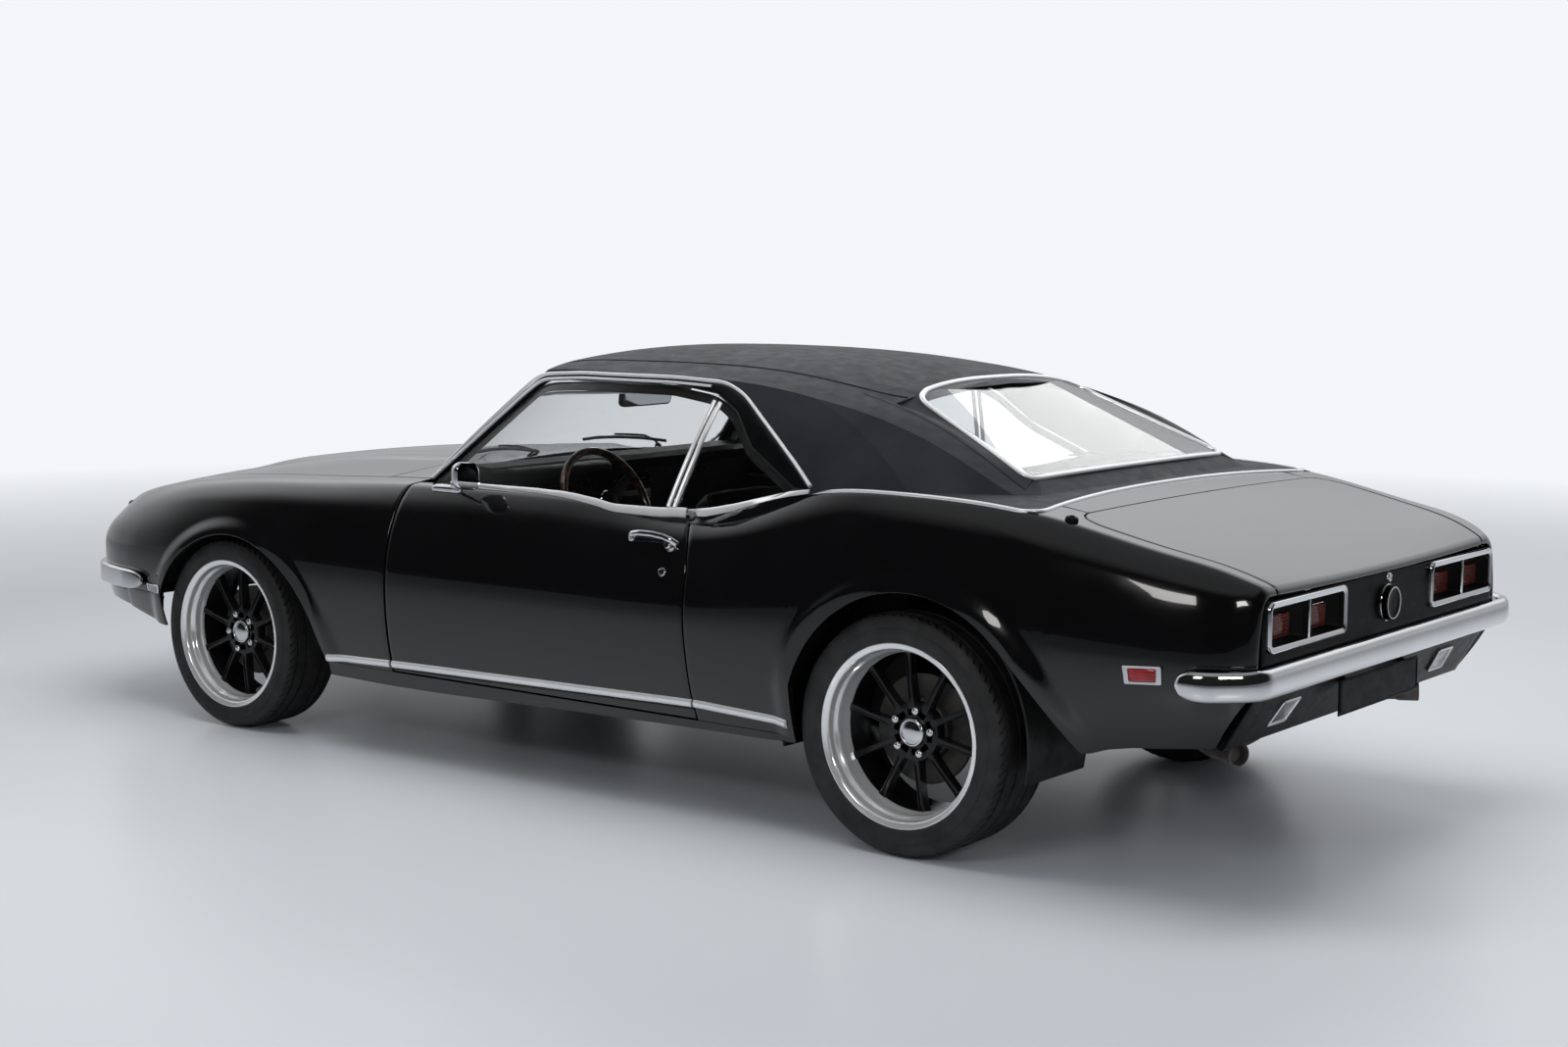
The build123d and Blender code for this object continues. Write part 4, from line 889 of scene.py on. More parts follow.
DOOR_REAR, DOOR_LOW = -0.640, 0.287
TRIM_Y = 0.744  # inner face of the doors


def door_inside(p):
    """Inner face of the door: flat, and a little smaller than the skin."""
    q = np.array(p, float)
    q[..., 0] = 0.590 + (q[..., 0] - 0.590) * 1.185 / 1.230
    q[..., 2] = DOOR_LOW + (q[..., 2] - DOOR_LOW) * 0.945
    q[..., 1] = TRIM_Y
    return q


side_panel("door", "door", [[(0.590, DOOR_LOW), (DOOR_REAR, DOOR_LOW)]],
           [[(0.590, 0.762), (DOOR_REAR, 0.762)]], [76], 60, "door", inner=door_inside, dense=0.0)


def quarter_inside(p):
    """Inner face of the jamb behind the door."""
    q = np.array(p, float)
    q[..., 1] = TRIM_Y
    return q


side_panel("quarter_jamb", "root", [[(-0.647, ROCKER + 0.004), (-0.930, ROCKER + 0.004)]],
           [[(-0.647, 0.770), (-0.930, 0.770)]], [16], 40, None, inner=quarter_inside, dense=0.0,
           inset=0.0195)

SILL_X = (-0.985, 0.900)


def sill_part():
    """Rocker below the doors, as a closed bar along the body's lower edge."""
    x = np.linspace(SILL_X[1], SILL_X[0], 70)
    ring = []
    for a in x:
        grid = np.linspace(0, s_at_z(a, 0.282)[0], 9)
        skin = outline(a, grid)
        ring.append(np.concatenate([skin, [[a, TRIM_Y, 0.282], [a, TRIM_Y, skin[0, 2]]]]))
    ring = np.array(ring)
    m = ring.shape[1]
    faces = grid_faces(len(x), m, closed=True)
    faces += [tuple(range(m)), tuple((len(x) - 1) * m + k for k in reversed(range(m)))]
    return ring.reshape(-1, 3), faces


solid("sills_both", merge([sill_part(), mirrored(sill_part())]), "paint", stands_for=["sills"],
      slot="body_paint", sharp=30)

# ---------------------------------------------------------------- top panels


def top_grid(xs, half, columns):
    """Grid across the car: half width of each row from the shut line."""
    w = np.linspace(-1, 1, columns)
    x = np.repeat(np.asarray(xs)[:, None], columns, 1)
    y = np.asarray([half(a) for a in xs])[:, None] * w[None, :]
    s = s_at_y(x.ravel(), np.abs(y).ravel()).reshape(x.shape)
    p = shaped(x, s)
    p[..., 1] = np.abs(p[..., 1]) * np.sign(y)
    e = 0.001
    du = shaped(x + e, s) - shaped(x - e, s)
    dv = shaped(x, s + 0.004) - shaped(x, s - 0.004)
    for d in (du, dv):
        d[..., 1] *= np.where(y < 0, -1, 1)
    n = np.cross(du, dv)
    n /= np.linalg.norm(n, axis=-1)[..., None]
    n *= np.where(n[..., 2:3] < 0, -1, 1)
    return p, n


def by_table(table):
    """Half width as a function of x, from a table of corners."""
    t = sorted(table)
    return lambda x: float(np.interp(x, [a for a, _ in t], [b for _, b in t]))


HOOD_SEAM = [(2.150, 0.540), (2.080, 0.560), (1.800, 0.640), (1.414, 0.690), (1.100, 0.697), (0.790, 0.697)]
p, n = top_grid(np.linspace(2.150, 0.790, 110), by_table(HOOD_SEAM), 81)
solid("hood_panel", panel(p, n, 0.0025, 0.010), "paint", "hood", stands_for=["hood"], slot="body_paint",
      sharp=35)

p, n = top_grid(np.linspace(0.785, 0.598, 16), lambda x: 0.697, 61)
solid("cowl_panel", panel(p, n, 0.002, 0.010), "paint", stands_for=["cowl"], slot="body_paint", sharp=35)

lid_rows = [DECK_TURN + (DECK_FRONT - DECK_TURN) * math.cos(a) for a in np.linspace(0.0, math.pi / 2, 24)]
lid_rows = np.concatenate([lid_rows, np.linspace(DECK_TURN, -2.284, 40)[1:],
                           np.linspace(-2.284, TAIL_X, 10)[1:]])
p, n = top_grid(lid_rows, deck_half, 73)
solid("deck_panel", panel(p, n, 0.0035, 0.020), "paint", "deck_lid", stands_for=["deck_lid"],
      slot="body_paint", sharp=35)

p, n = top_grid(np.linspace(-1.757, -1.480, 26), lambda x: 0.645, 61)
solid("rear_deck_panel", panel(p, n, 0.002, 0.018), "paint", stands_for=["rear_deck"], slot="body_paint",
      sharp=35)

TAIL_TOP = 0.757


def tail_part():
    """Tail panel with its pan, let in between the quarters and under the lid."""
    edge = np.linspace(0, 3, 400)
    profile = resample([(TAIL_X, TAIL_TOP), PAN_TOP, PAN_FOOT], 44)
    rows, normals = [], []
    for a, z in profile:
        skin = shaped(np.full_like(edge, a), edge)
        half = min(0.742, float(np.interp(z, skin[:, 2], skin[:, 1])) - 0.006)
        y = half * np.linspace(-1, 1, 60)
        rows.append(np.stack([np.full_like(y, a), y, np.full_like(y, z)], axis=1))
        fall = math.hypot(PAN_FOOT[0] - PAN_TOP[0], PAN_TOP[1] - PAN_FOOT[1])
        share = ease((PAN_TOP[1] + 0.008 - z) / 0.016)
        tilt = np.array([-1, 0, 0]) * (1 - share) + share * np.array(
            [PAN_FOOT[1] - PAN_TOP[1], 0, PAN_TOP[0] - PAN_FOOT[0]]) / fall
        normals.append(np.repeat((tilt / np.linalg.norm(tilt))[None], 60, 0))
    return panel(np.array(rows), np.array(normals), 0.002, 0.020)


tail = solid("tail_face_panel", tail_part(), "tail", stands_for=["tail_panel"], slot="tail_black", sharp=35)

# ---------------------------------------------------------------- wheels and tyres

WHEEL = {  # axle x and height, tyre radius and width, lip plane, hub face, phase of the first stud
    "front": (FRONT_AXLE, 0.319, 0.319, 0.226, 0.873, 0.797, 1.195),
    "rear": (REAR_AXLE, 0.328, 0.328, 0.256, 0.884, 0.795, 3.024),
}
LUG_CIRCLE = 0.0603
PITCHES = 72  # tread blocks round the shoulder


def tyre_part(x, z, radius, width, lip):
    """Tyre with grooves round it and slanted slots through the shoulder blocks."""
    out = lip + 0.006
    mid = out - width / 2
    half = width / 2
    face = [(half - 0.016, 0.2390), (half - 0.0085, 0.2478), (half - 0.0040, 0.2520), (half - 0.0022, 0.2560),
            (half - 0.0030, 0.2600), (half - 0.0012, 0.2640), (half - 0.0003, 0.2720), (half, 0.2800),
            (half - 0.0012, 0.2880), (half - 0.0024, 0.2888), (half - 0.0024, 0.2912),
            (half - 0.0024, 0.2920)]
    face += [(half - 0.0055, radius - 0.0200), (half - 0.0090, radius - 0.0140)]
    shoulder = [(half - 0.0130, radius - 0.0090), (half - 0.0180, radius - 0.0055),
                (half - 0.0260, radius - 0.0030), (half - 0.0360, radius - 0.0014)]
    tread = []
    grooves = [(half - 0.040, 0.0045), (half * 0.30, 0.0050), (-half * 0.30, 0.0050), (-half + 0.040, 0.0045)]

    def crown(a):
        return radius - 0.0014 * (a / (half - 0.036)) ** 2

    for a, w in grooves:
        tread += [(a + w, crown(a), 0), (a + w - 0.0008, crown(a) - 0.007, 1),
                  (a - w + 0.0008, crown(a) - 0.007, 1), (a - w, crown(a), 0)]
    ribs = []
    for k, (a, w) in enumerate(grooves[:-1]):
        b, v = grooves[k + 1]
        ribs.append([(q, crown(q), 0) for q in np.linspace(a - w, b + v, 5)[1:-1]])
    line = [(a, r, 0) for a, r in face] + [(a, r, 2 if k else 0) for k, (a, r) in enumerate(shoulder)]
    for k in range(4):
        line += tread[4 * k:4 * k + 4]
        if k < 3:
            line += ribs[k]
    line += [(-a, r, 2 if a < half - 0.014 else 0) for a, r in reversed(shoulder)]
    line += [(-a, r, 0) for a, r in reversed(face)]
    shares = (0.0, 0.30, 0.62, 0.66, 0.94)
    depth = (0.0, 0.0, 0.0, 1.0, 1.0)
    angles, cut = [], []
    for k in range(PITCHES):
        for share, low in zip(shares, depth):
            angles.append(2 * math.pi * (k + share) / PITCHES)
            cut.append(low)
    angles, cut = np.array(angles), np.array(cut)
    verts = []
    for a, r, kind in line:
        slant = 0.9 * (abs(a) - half) if abs(a) > half - 0.04 else 0.9 * (-0.04)
        t = angles + slant / radius * np.sign(a if abs(a) > 0.01 else 1)
        near = r - (0.0050 * cut if kind == 2 else 0)
        near = np.broadcast_to(near, angles.shape)
        verts.append(np.stack([x + near * np.cos(t), np.full_like(t, mid + a), z + near * np.sin(t)], axis=1))
    verts = np.concatenate(verts)
    faces = grid_faces(len(line), len(angles), closed=True, wrap=True)
    return verts, [tuple(reversed(f)) for f in faces]


def ring_part(profile, x, z, count=96):
    """Closed ring section (y, radius) spun round the wheel's axle."""
    t = np.linspace(0, 2 * math.pi, count, endpoint=False)
    rings = [np.stack([x + r * np.cos(t), np.full(count, y), z + r * np.sin(t)], axis=1) for y, r in profile]
    return np.concatenate(rings), [tuple(reversed(f))
                                   for f in grid_faces(len(profile), count, closed=True, wrap=True)]


def disc_part(profile, x, z, count=48):
    """Profile (y, radius) spun round the axle and closed on the axis at its outer end."""
    verts, faces = ring_part(profile, x, z, count)
    faces = [f for k, f in enumerate(faces) if k < (len(profile) - 1) * count]
    faces.append(tuple(range(count)))
    base = (len(profile) - 1) * count
    faces.append(tuple(base + k for k in reversed(range(count))))
    return verts, faces


def spoke_part(x, z, angle, hub_y):
    """One slim spoke: a raised edge on each side of a shallow channel."""
    radii = [0.046, 0.062, 0.078, 0.095, 0.120, 0.150, 0.180, 0.204, 0.2148]
    widths = [0.0135, 0.0128, 0.0105, 0.0088, 0.0078, 0.0076, 0.0080, 0.0092, 0.0120]
    fronts = [0.0120, 0.0120, 0.0125, 0.0130, 0.0130, 0.0118, 0.0100, 0.0085, 0.0080]
    verts = []
    for r, w, f in zip(radii, widths, fronts):
        groove = 0.0045 if 0.08 < r < 0.21 else 0.0
        section = [(-w, -0.020), (-w, f - 0.002), (-w + 0.0015, f), (-w + 0.0036, f),
                   (-w + 0.0046, f - groove), (w - 0.0046, f - groove), (w - 0.0036, f), (w - 0.0015, f),
                   (w, f - 0.002), (w, -0.020)]
        for t, y in section:
            verts.append((x + r * math.cos(angle) - t * math.sin(angle), hub_y + y,
                          z + r * math.sin(angle) + t * math.cos(angle)))
    faces = [tuple(reversed(f)) for f in grid_faces(len(radii), 10, closed=True)]
    faces += [tuple(range(10)), tuple(80 + k for k in reversed(range(10)))]
    return verts, faces


def lug_part(x, z, y, angle):
    """Six-sided nut with a domed end."""
    cx, cz = x + LUG_CIRCLE * math.cos(angle), z + LUG_CIRCLE * math.sin(angle)
    rings = [(0.0, 0.0115), (0.013, 0.0115), (0.0155, 0.0100), (0.0180, 0.0070), (0.0192, 0.0030)]
    verts = []
    for a, r in rings:
        for k in range(12):
            t = angle + math.pi * k / 6
            spread = r * (1.0 if a > 0.014 else (1.0 if k % 2 else 0.93))
            verts.append((cx + spread * math.cos(t), y + a, cz + spread * math.sin(t)))
    faces = [tuple(reversed(f)) for f in grid_faces(len(rings), 12, closed=True)]
    faces += [tuple(range(12)), tuple(48 + k for k in reversed(range(12)))]
    return verts, faces


for axle, (x, z, radius, width, lip, hub, phase) in WHEEL.items():
    tyre = tyre_part(x, z, radius, width, lip)
    back = lip + 0.006 - width
    polished = ring_part([(lip - 0.0140, 0.2450), (lip - 0.0040, 0.2478), (lip - 0.0008, 0.2484),
                          (lip, 0.2468), (lip - 0.0006, 0.2446), (lip - 0.0030, 0.2410),
                          (lip - 0.0040, 0.2370), (lip - 0.0050, 0.2335), (lip - 0.0090, 0.2308),
                          (lip - 0.0150, 0.2296), (lip - 0.0250, 0.2290), (lip - 0.0310, 0.2270),
                          (lip - 0.0360, 0.2225), (lip - 0.0420, 0.2200), (lip - 0.0520, 0.2190),
                          (hub + 0.0140, 0.2180), (hub + 0.0100, 0.2150), (hub + 0.0020, 0.2148),
                          (hub + 0.0020, 0.2180), (lip - 0.0420, 0.2240), (lip - 0.0300, 0.2320),
                          (lip - 0.0160, 0.2350)], x, z)
    barrel = ring_part([(hub + 0.0018, 0.2150), (hub - 0.0400, 0.2140), (back + 0.030, 0.2150),
                        (back + 0.012, 0.2300), (back + 0.006, 0.2440), (back + 0.012, 0.2470),
                        (back + 0.018, 0.2350), (back + 0.035, 0.2200), (hub - 0.0400, 0.2185),
                        (hub + 0.0018, 0.2190)], x, z)
    hub_disc = disc_part([(hub - 0.0200, 0.0800), (hub + 0.0060, 0.0800), (hub + 0.0110, 0.0775),
                          (hub + 0.0120, 0.0740), (hub + 0.0120, 0.0460), (hub + 0.0090, 0.0440),
                          (hub + 0.0090, 0.0300)], x, z, 60)
    spokes = [spoke_part(x, z, phase + math.pi / 5 * (k + 0.5), hub) for k in range(10)]
    cap = disc_part([(hub + 0.0085, 0.0385), (hub + 0.0200, 0.0380), (hub + 0.0225, 0.0365),
                     (hub + 0.0236, 0.0340), (hub + 0.0232, 0.0318), (hub + 0.0222, 0.0310),
                     (hub + 0.0250, 0.0240), (hub + 0.0272, 0.0150), (hub + 0.0280, 0.0050)], x, z)
    nuts = [lug_part(x, z, hub + 0.009, phase + 2 * math.pi * k / 5) for k in range(5)]
    rotor = disc_part([(hub - 0.0560, 0.1500), (hub - 0.0430, 0.1500), (hub - 0.0420, 0.1480),
                       (hub - 0.0420, 0.0900), (hub - 0.0230, 0.0860), (hub - 0.0210, 0.0820),
                       (hub - 0.0210, 0.0300)], x, z, 60)
    for side in HALF:
        body = f"roll_{axle}_{side}"
        tag = f"{axle}_{side}"
        place(f"tread_and_wall_{tag}", *on_side(tyre, side), "rubber", body, stands_for=[f"tyre_{tag}"],
              slot="tyre", sharp=38)
        place(f"rim_step_{tag}", *on_side(polished, side), "alloy", body, stands_for=[f"wheel_{tag}"],
              slot="wheel_alloy", sharp=50)
        place(f"rim_barrel_{tag}", *on_side(barrel, side), "spoke", body, sharp=50)
        place(f"spider_{tag}", *on_side(merge([hub_disc, *spokes]), side), "spoke", body, sharp=35)
        place(f"centre_cap_{tag}", *on_side(cap, side), "chrome", body, sharp=50)
        place(f"wheel_nuts_{tag}", *on_side(merge(nuts), side), "chrome", body, sharp=35)
        place(f"brake_rotor_{tag}", *on_side(rotor, side), "iron", body, sharp=35)

# ---------------------------------------------------------------- bright trim, vinyl edge and side fittings

bpy.context.view_layer.update()


BESIDE, ABOVE, AHEAD, BEHIND = 1.3, 1.6, 1.6, -2.8  # where rays start, clear of the body


def tree_of(node):
    """Search tree of a piece that stays as it was loaded."""
    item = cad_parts[node]
    at = item.matrix_world
    return BVHTree.FromPolygons([at @ v.co for v in item.data.vertices],
                                [tuple(p.vertices) for p in item.data.polygons])


def cast(tree, starts, way):
    """Hits and outward normals of rays that all run one way; rays that miss are dropped."""
    spots, normals = [], []
    direction = Vector(way)
    for start in starts:
        hit, normal, _, _ = tree.ray_cast(Vector(start), direction)
        if hit is None:
            continue
        if normal.dot(direction) > 0:
            normal = -normal
        spots.append(tuple(hit))
        normals.append(tuple(normal))
    return np.array(spots), np.array(normals)


def eased(values, passes=3, closed=False):
    """Running mean along a path, ends held."""
    v = np.array(values, float)
    for _ in range(passes):
        if closed:
            v = (np.roll(v, 1, 0) + 2 * v + np.roll(v, -1, 0)) / 4
        else:
            v[1:-1] = (v[:-2] + 2 * v[1:-1] + v[2:]) / 4
    return v


def grid_normals(points, way):
    """Unit normals of a grid of points, all turned to the side of way."""
    n = np.cross(np.gradient(points, axis=0), np.gradient(points, axis=1))
    n /= np.maximum(np.linalg.norm(n, axis=-1), 1e-9)[..., None]
    return n * np.where((n * way).sum(-1)[..., None] < 0, -1, 1)


def offset_line(points, distance):
    """Flat polyline moved to its left by distance."""
    p = np.asarray(points, float)
    step = np.diff(p, axis=0)
    normal = np.stack([-step[:, 1], step[:, 0]], axis=1)
    normal /= np.linalg.norm(normal, axis=1)[:, None]
    corner = np.vstack([normal[:1], (normal[:-1] + normal[1:]), normal[-1:]])
    corner /= np.maximum((corner * np.vstack([normal[:1], normal[1:], normal[-1:]])).sum(1), 0.3)[:, None]
    return p + corner * distance


def rounded_loop(width, height, radius, count=6):
    w, h = width / 2, height / 2
    loop = []
    for cx, cy, start in ((w - radius, h - radius, 0), (-w + radius, h - radius, 90),
                          (-w + radius, -h + radius, 180), (w - radius, -h + radius, 270)):
        for k in range(count + 1):
            t = math.radians(start + 90 * k / count)
            loop.append((cx + radius * math.cos(t), cy + radius * math.sin(t)))
    return loop


def layered(rings, close_start=True, close_end=True):
    """Closed skin through rings of equal length."""
    m = len(rings[0])
    verts = [p for ring in rings for p in ring]
    faces = grid_faces(len(rings), m, closed=True)
    if close_start:
        faces.append(tuple(reversed(range(m))))
    if close_end:
        faces.append(tuple((len(rings) - 1) * m + k for k in range(m)))
    return verts, faces


def both_sides(name, part, material, body="root", sharp=40, **more):
    """A left piece and its mirrored twin, on the car or on the body of that side."""
    for side in HALF:
        carrier = body if body == "root" else f"{body}_{side}"
        solid(f"{name}_{side}", on_side(part, side), material, carrier, sharp, **more)


def body_strip(name, x, s, width, height, body, material="bright"):
    """Strip that lies on the flank along a line of (x, s)."""
    both_sides(name, sweep(shaped(x, s), strip_section(width, height), up=surface_normal(x, s)), material,
               body)


roof_tree = tree_of("roof")
SIDE_FRAME = [(0.548, 0.884), (0.205, 1.200), (0.021, 1.211), (-0.368, 1.212), (-0.545, 1.190),
              (-0.640, 1.143), (-0.735, 1.050), (-0.925, 0.952)]

# Edge of the side glass as the photo has it: behind the door it runs higher and straighter than the
# opening in the CAD roof.
RAIL_FRAME = SIDE_FRAME[:4] + [(-0.560, 1.204), (-0.640, 1.174), (-0.700, 1.134), (-0.804, 1.066),
                               (-0.904, 0.998), (-0.972, 0.946)]


def side_rail(name, away, width, height, material, base=0.0, trim=(0, 0)):
    """Strip round the side glass, away from its edge; trim leaves out points at either end."""
    line = rounded_path(offset_line(RAIL_FRAME, -away), 0.07, 8)
    line = resample(line, 110)[trim[0]:110 - trim[1]]
    spots, normals = cast(roof_tree, [(a, BESIDE, b) for a, b in line], (0, -1, 0))
    both_sides(name, sweep(eased(spots, 4), strip_section(width, height, base), up=eased(normals, 12)),
               material)


old_run = resample(rounded_path(offset_line(SIDE_FRAME[3:], -0.0035), 0.07, 8), 60)
new_run = resample(rounded_path(offset_line(RAIL_FRAME[3:], -0.008), 0.07, 8), 60)
rows = []
for start, end in zip(old_run, new_run):
    across = [start * (1 - t) + end * t for t in np.linspace(0, 1, 15)]
    spots, normals = cast(roof_tree, [(a, BESIDE, b) for a, b in across], (0, -1, 0))
    if len(spots) > 3 and np.linalg.norm(spots[0] - spots[-1]) > 0.004:
        fine = resample(np.hstack([spots, normals]), 9)
        rows.append((fine[:, :3], fine[:, 3:]))
margin_p, margin_n = np.array([r[0] for r in rows]), np.array([r[1] for r in rows])
both_sides("quarter_glass_margin", panel(margin_p + margin_n * 0.0016, margin_n, 0.0006, 0.003), "dark_glass")
side_rail("window_frame_side", 0.0045, 0.0085, 0.0060, "bright", trim=(0, 34))
side_rail("window_seal_side", 0.0105, 0.006, 0.0030, "seal")
side_rail("drip_rail", 0.0175, 0.0105, 0.0095, "bright", 0.002)

# Black seal inside the edge of the side glass.
merged_glass = [tree_of("door_glass_left"), tree_of("quarter_glass")]
line = resample(rounded_path(offset_line(SIDE_FRAME, 0.016), 0.07, 8), 120)
spots, normals = [], []
for a, b in line:
    for tree in merged_glass:
        found, facing = cast(tree, [(a, BESIDE, b)], (0, -1, 0))
        if len(found):
            spots.append(found[0] - facing[0] * 0.0095)
            normals.append(facing[0])
            break
both_sides("window_inner_seal",
           sweep(eased(spots, 4), [(-0.014, -0.003), (-0.014, 0.001), (-0.010, 0.003), (0.010, 0.003),
                                   (0.014, 0.001), (0.014, -0.003)], up=eased(normals, 12)), "seal")


def window_surround(name, half, away, width, height, radius):
    """Bright frame round the windscreen: half of its outline in (y, z)."""
    loop = np.array(half + [(-y, z) for y, z in reversed(half[1:-1])])
    line = rounded_path(offset_line(np.vstack([loop, loop[:1]]), -away)[:-1], radius, 8, closed=True)
    line = resample(np.vstack([line, line[:1]]), 200)[:-1]
    spots, normals = cast(roof_tree, [(AHEAD, a, b) for a, b in line], (-1, 0, 0))
    solid(name, sweep(eased(spots, 3, True), strip_section(width, height), up=eased(normals, 12, True),
                      closed=True), "bright")


SCREEN_LOOP = [(0, 0.905), (0.672, 0.905), (0.545, 1.196), (0.400, 1.222), (0, 1.238)]
window_surround("windscreen_surround", SCREEN_LOOP, 0.0018, 0.0125, 0.005,
                [0, 0.03, 0.05, 0.2, 0, 0.2, 0.05, 0.03])

# Back window: glass with rounded upper corners, its bright frame, and the vinyl that closes in round it.
BACK_SIDE = [(-1.522, 0.556, 0.994), (-1.066, 0.432, 1.194)]  # foot and head of its side edge
BACK_MIDDLE = [(-1.540, 1.002), (-1.060, 1.2295)]  # x and z of the foot and head in the middle
BACK_ROWS, BACK_COLUMNS = 41, 45
last_row, last_column = BACK_ROWS - 1, BACK_COLUMNS - 1


def back_glass_grid():
    """Points and normals of the back window, crowned across and rounded at its corners."""
    grid = []
    low, high = np.array(BACK_SIDE[0]), np.array(BACK_SIDE[1])
    for v in np.linspace(0, 1, BACK_ROWS):
        side = low + (high - low) * v
        middle = np.array(BACK_MIDDLE[0]) + (np.array(BACK_MIDDLE[1]) - np.array(BACK_MIDDLE[0])) * v
        half = side[1]
        if v > 0.88:
            half -= 0.060 * (1 - math.sqrt(max(0.0, 1 - ((v - 0.88) / 0.12) ** 2)))
        if v < 0.05:
            half -= 0.022 * (1 - math.sqrt(max(0.0, 1 - ((0.05 - v) / 0.05) ** 2)))
        row = []
        for w in np.linspace(-1, 1, BACK_COLUMNS):
            blend = 1 - abs(w * half / side[1]) ** 2.8
            row.append((side[0] + (middle[0] - side[0]) * blend, w * half,
                        side[2] + (middle[1] - side[2]) * blend))
        grid.append(row)
    p = np.array(grid)
    n = grid_normals(p, (0, 0, 1))
    return p + n * 0.003, n


back_p, back_n = back_glass_grid()
solid("back_glass", panel(back_p, back_n, 0.001, 0.005), "rear_glass", stands_for=["backlight"], slot="glass")
loop_ids = [(0, c) for c in range(BACK_COLUMNS)] + [(r, last_column) for r in range(1, BACK_ROWS)]
loop_ids += [(last_row, c) for c in range(last_column - 1, -1, -1)]
loop_ids += [(r, 0) for r in range(last_row - 1, 0, -1)]
loop = np.array([[*back_p[i], *back_n[i]] for i in loop_ids])
even = resample(np.vstack([loop, loop[:1]]), 260)[:-1]
solid("back_glass_frame", sweep(eased(even[:, :3], 2, True), strip_section(0.0165, 0.0065),
                                up=eased(even[:, 3:], 10, True), closed=True), "bright")
outer_line = resample(offset_line([(0.590, 0.968), (0.578, 1.002), (0.524, 1.192), (0.400, 1.206),
                                   (0.300, 1.211)], -0.012), 60)
inner_run = [back_p[r, last_column] for r in range(BACK_ROWS)]
inner_run += [back_p[last_row, last_column - k] for k in range(1, 7)]
inner_run = resample(inner_run, 60)
rows = []
for (y, z), near in zip(outer_line, inner_run):
    found, _ = cast(roof_tree, [(BEHIND, y, z)], (1, 0, 0))
    far = found[0] if len(found) else near
    rows.append([near * (1 - t) + far * t for t in np.linspace(0, 1, 9)])
rows = eased(rows, 2)
n = grid_normals(rows, (0, 1, 1))
both_sides("vinyl_window_corner", panel(rows + n * 0.0012, n, 0.0008, 0.005), "vinyl")

# Welted seams of the vinyl roof.
SEAM = [(0.285, 0.455), (-0.031, 0.478), (-0.343, 0.482), (-0.639, 0.484), (-0.886, 0.492), (-1.010, 0.486),
        (-1.064, 0.462)]
line = resample(rounded_path(SEAM, 0.2, 8), 90)
spots, normals = cast(roof_tree, [(a, b, ABOVE) for a, b in line], (0, 0, -1))
both_sides("roof_seam", sweep(eased(spots), strip_section(0.008, 0.0028), up=eased(normals, 8)), "vinyl")

# Vinyl that runs down over the shoulder behind and beside the back window, edged in bright trim.
VINYL_HALF = 0.797


def vinyl_rear(y):
    """Rear edge of the vinyl across the deck."""
    return -1.642 - 0.058 * (abs(y) / 0.80) ** 2.5


def vinyl_patch(xs_of, ys):
    """Patch on the top of the body between the two x that xs_of gives for each y."""
    rows = []
    for k in np.linspace(0, 1, 14):
        row = []
        for y in ys:
            a, b = xs_of(y)
            row.append((a + (b - a) * k, y))
        rows.append(row)
    grid = np.array(rows)
    s = s_at_y(grid[..., 0].ravel(), np.abs(grid[..., 1]).ravel()).reshape(grid.shape[:2])
    p = shaped(grid[..., 0], s)
    p[..., 1] *= np.where(grid[..., 1] < 0, -1, 1)
    n = surface_normal(grid[..., 0], s)
    n[..., 1] *= np.where(grid[..., 1] < 0, -1, 1)
    return panel(p + n * 0.0025, n, 0.001, 0.005)


solid("vinyl_deck_edge", vinyl_patch(lambda y: (-1.470, vinyl_rear(y)),
                                     np.linspace(-VINYL_HALF, VINYL_HALF, 61)), "vinyl",
      slot="roof_vinyl")
both_sides("vinyl_shoulder_edge", vinyl_patch(lambda y: (-0.955, -1.472), np.linspace(0.60, VINYL_HALF, 17)),
           "vinyl")
corner = rounded_path([(-1.560, 0.800), (vinyl_rear(0.8), 0.800), (vinyl_rear(0.66), 0.660)], 0.06, 12)
line = np.vstack([[(a, 0.800) for a in np.linspace(-0.972, -1.560, 50)], corner[1:-1],
                  [(vinyl_rear(b), b) for b in np.linspace(0.655, 0.0, 40)]])
whole = np.vstack([line, [(a, -b) for a, b in line[:-1][::-1]]])
whole = resample(whole, 260)
s = s_at_y(whole[:, 0], np.abs(whole[:, 1]))
spots = shaped(whole[:, 0], s)
sign = np.where(whole[:, 1] < 0, -1, 1)
spots[:, 1] *= sign
normals = surface_normal(whole[:, 0], s)
normals[:, 1] *= sign
solid("vinyl_edge_moulding", sweep(eased(spots, 2), strip_section(0.013, 0.0065), up=eased(normals, 10)),
      "bright")

# Belt moulding: a bright ledge between the foot of the side glass and the body.
glass_trees = [*merged_glass, roof_tree]


def outer_y(x, z):
    """Outermost surface of the glass or roof beside a height."""
    found = [cast(tree, [(x, BESIDE, z)], (0, -1, 0))[0] for tree in glass_trees]
    found = [f[0][1] for f in found if len(f)]
    return max(found) if found else None


def flank_y(x, z):
    """Half width of the body at a height, or nothing above its flat shoulder."""
    if z >= float(shaped(np.array([x]), s_at_y([x], [0.770]))[0, 2]) - 0.001:
        return 0.0
    return float(shaped(np.array([x]), s_at_z([x], [z]))[0, 1])


def belt_ring(low, high):
    """Crowned face of the belt moulding between its two edges."""
    out = np.array([0, 0.80, 0.60])
    return [low + (high - low) * t + out * 0.0022 * math.sin(math.pi * t) ** 0.6
            for t in np.linspace(0, 1, 9)]


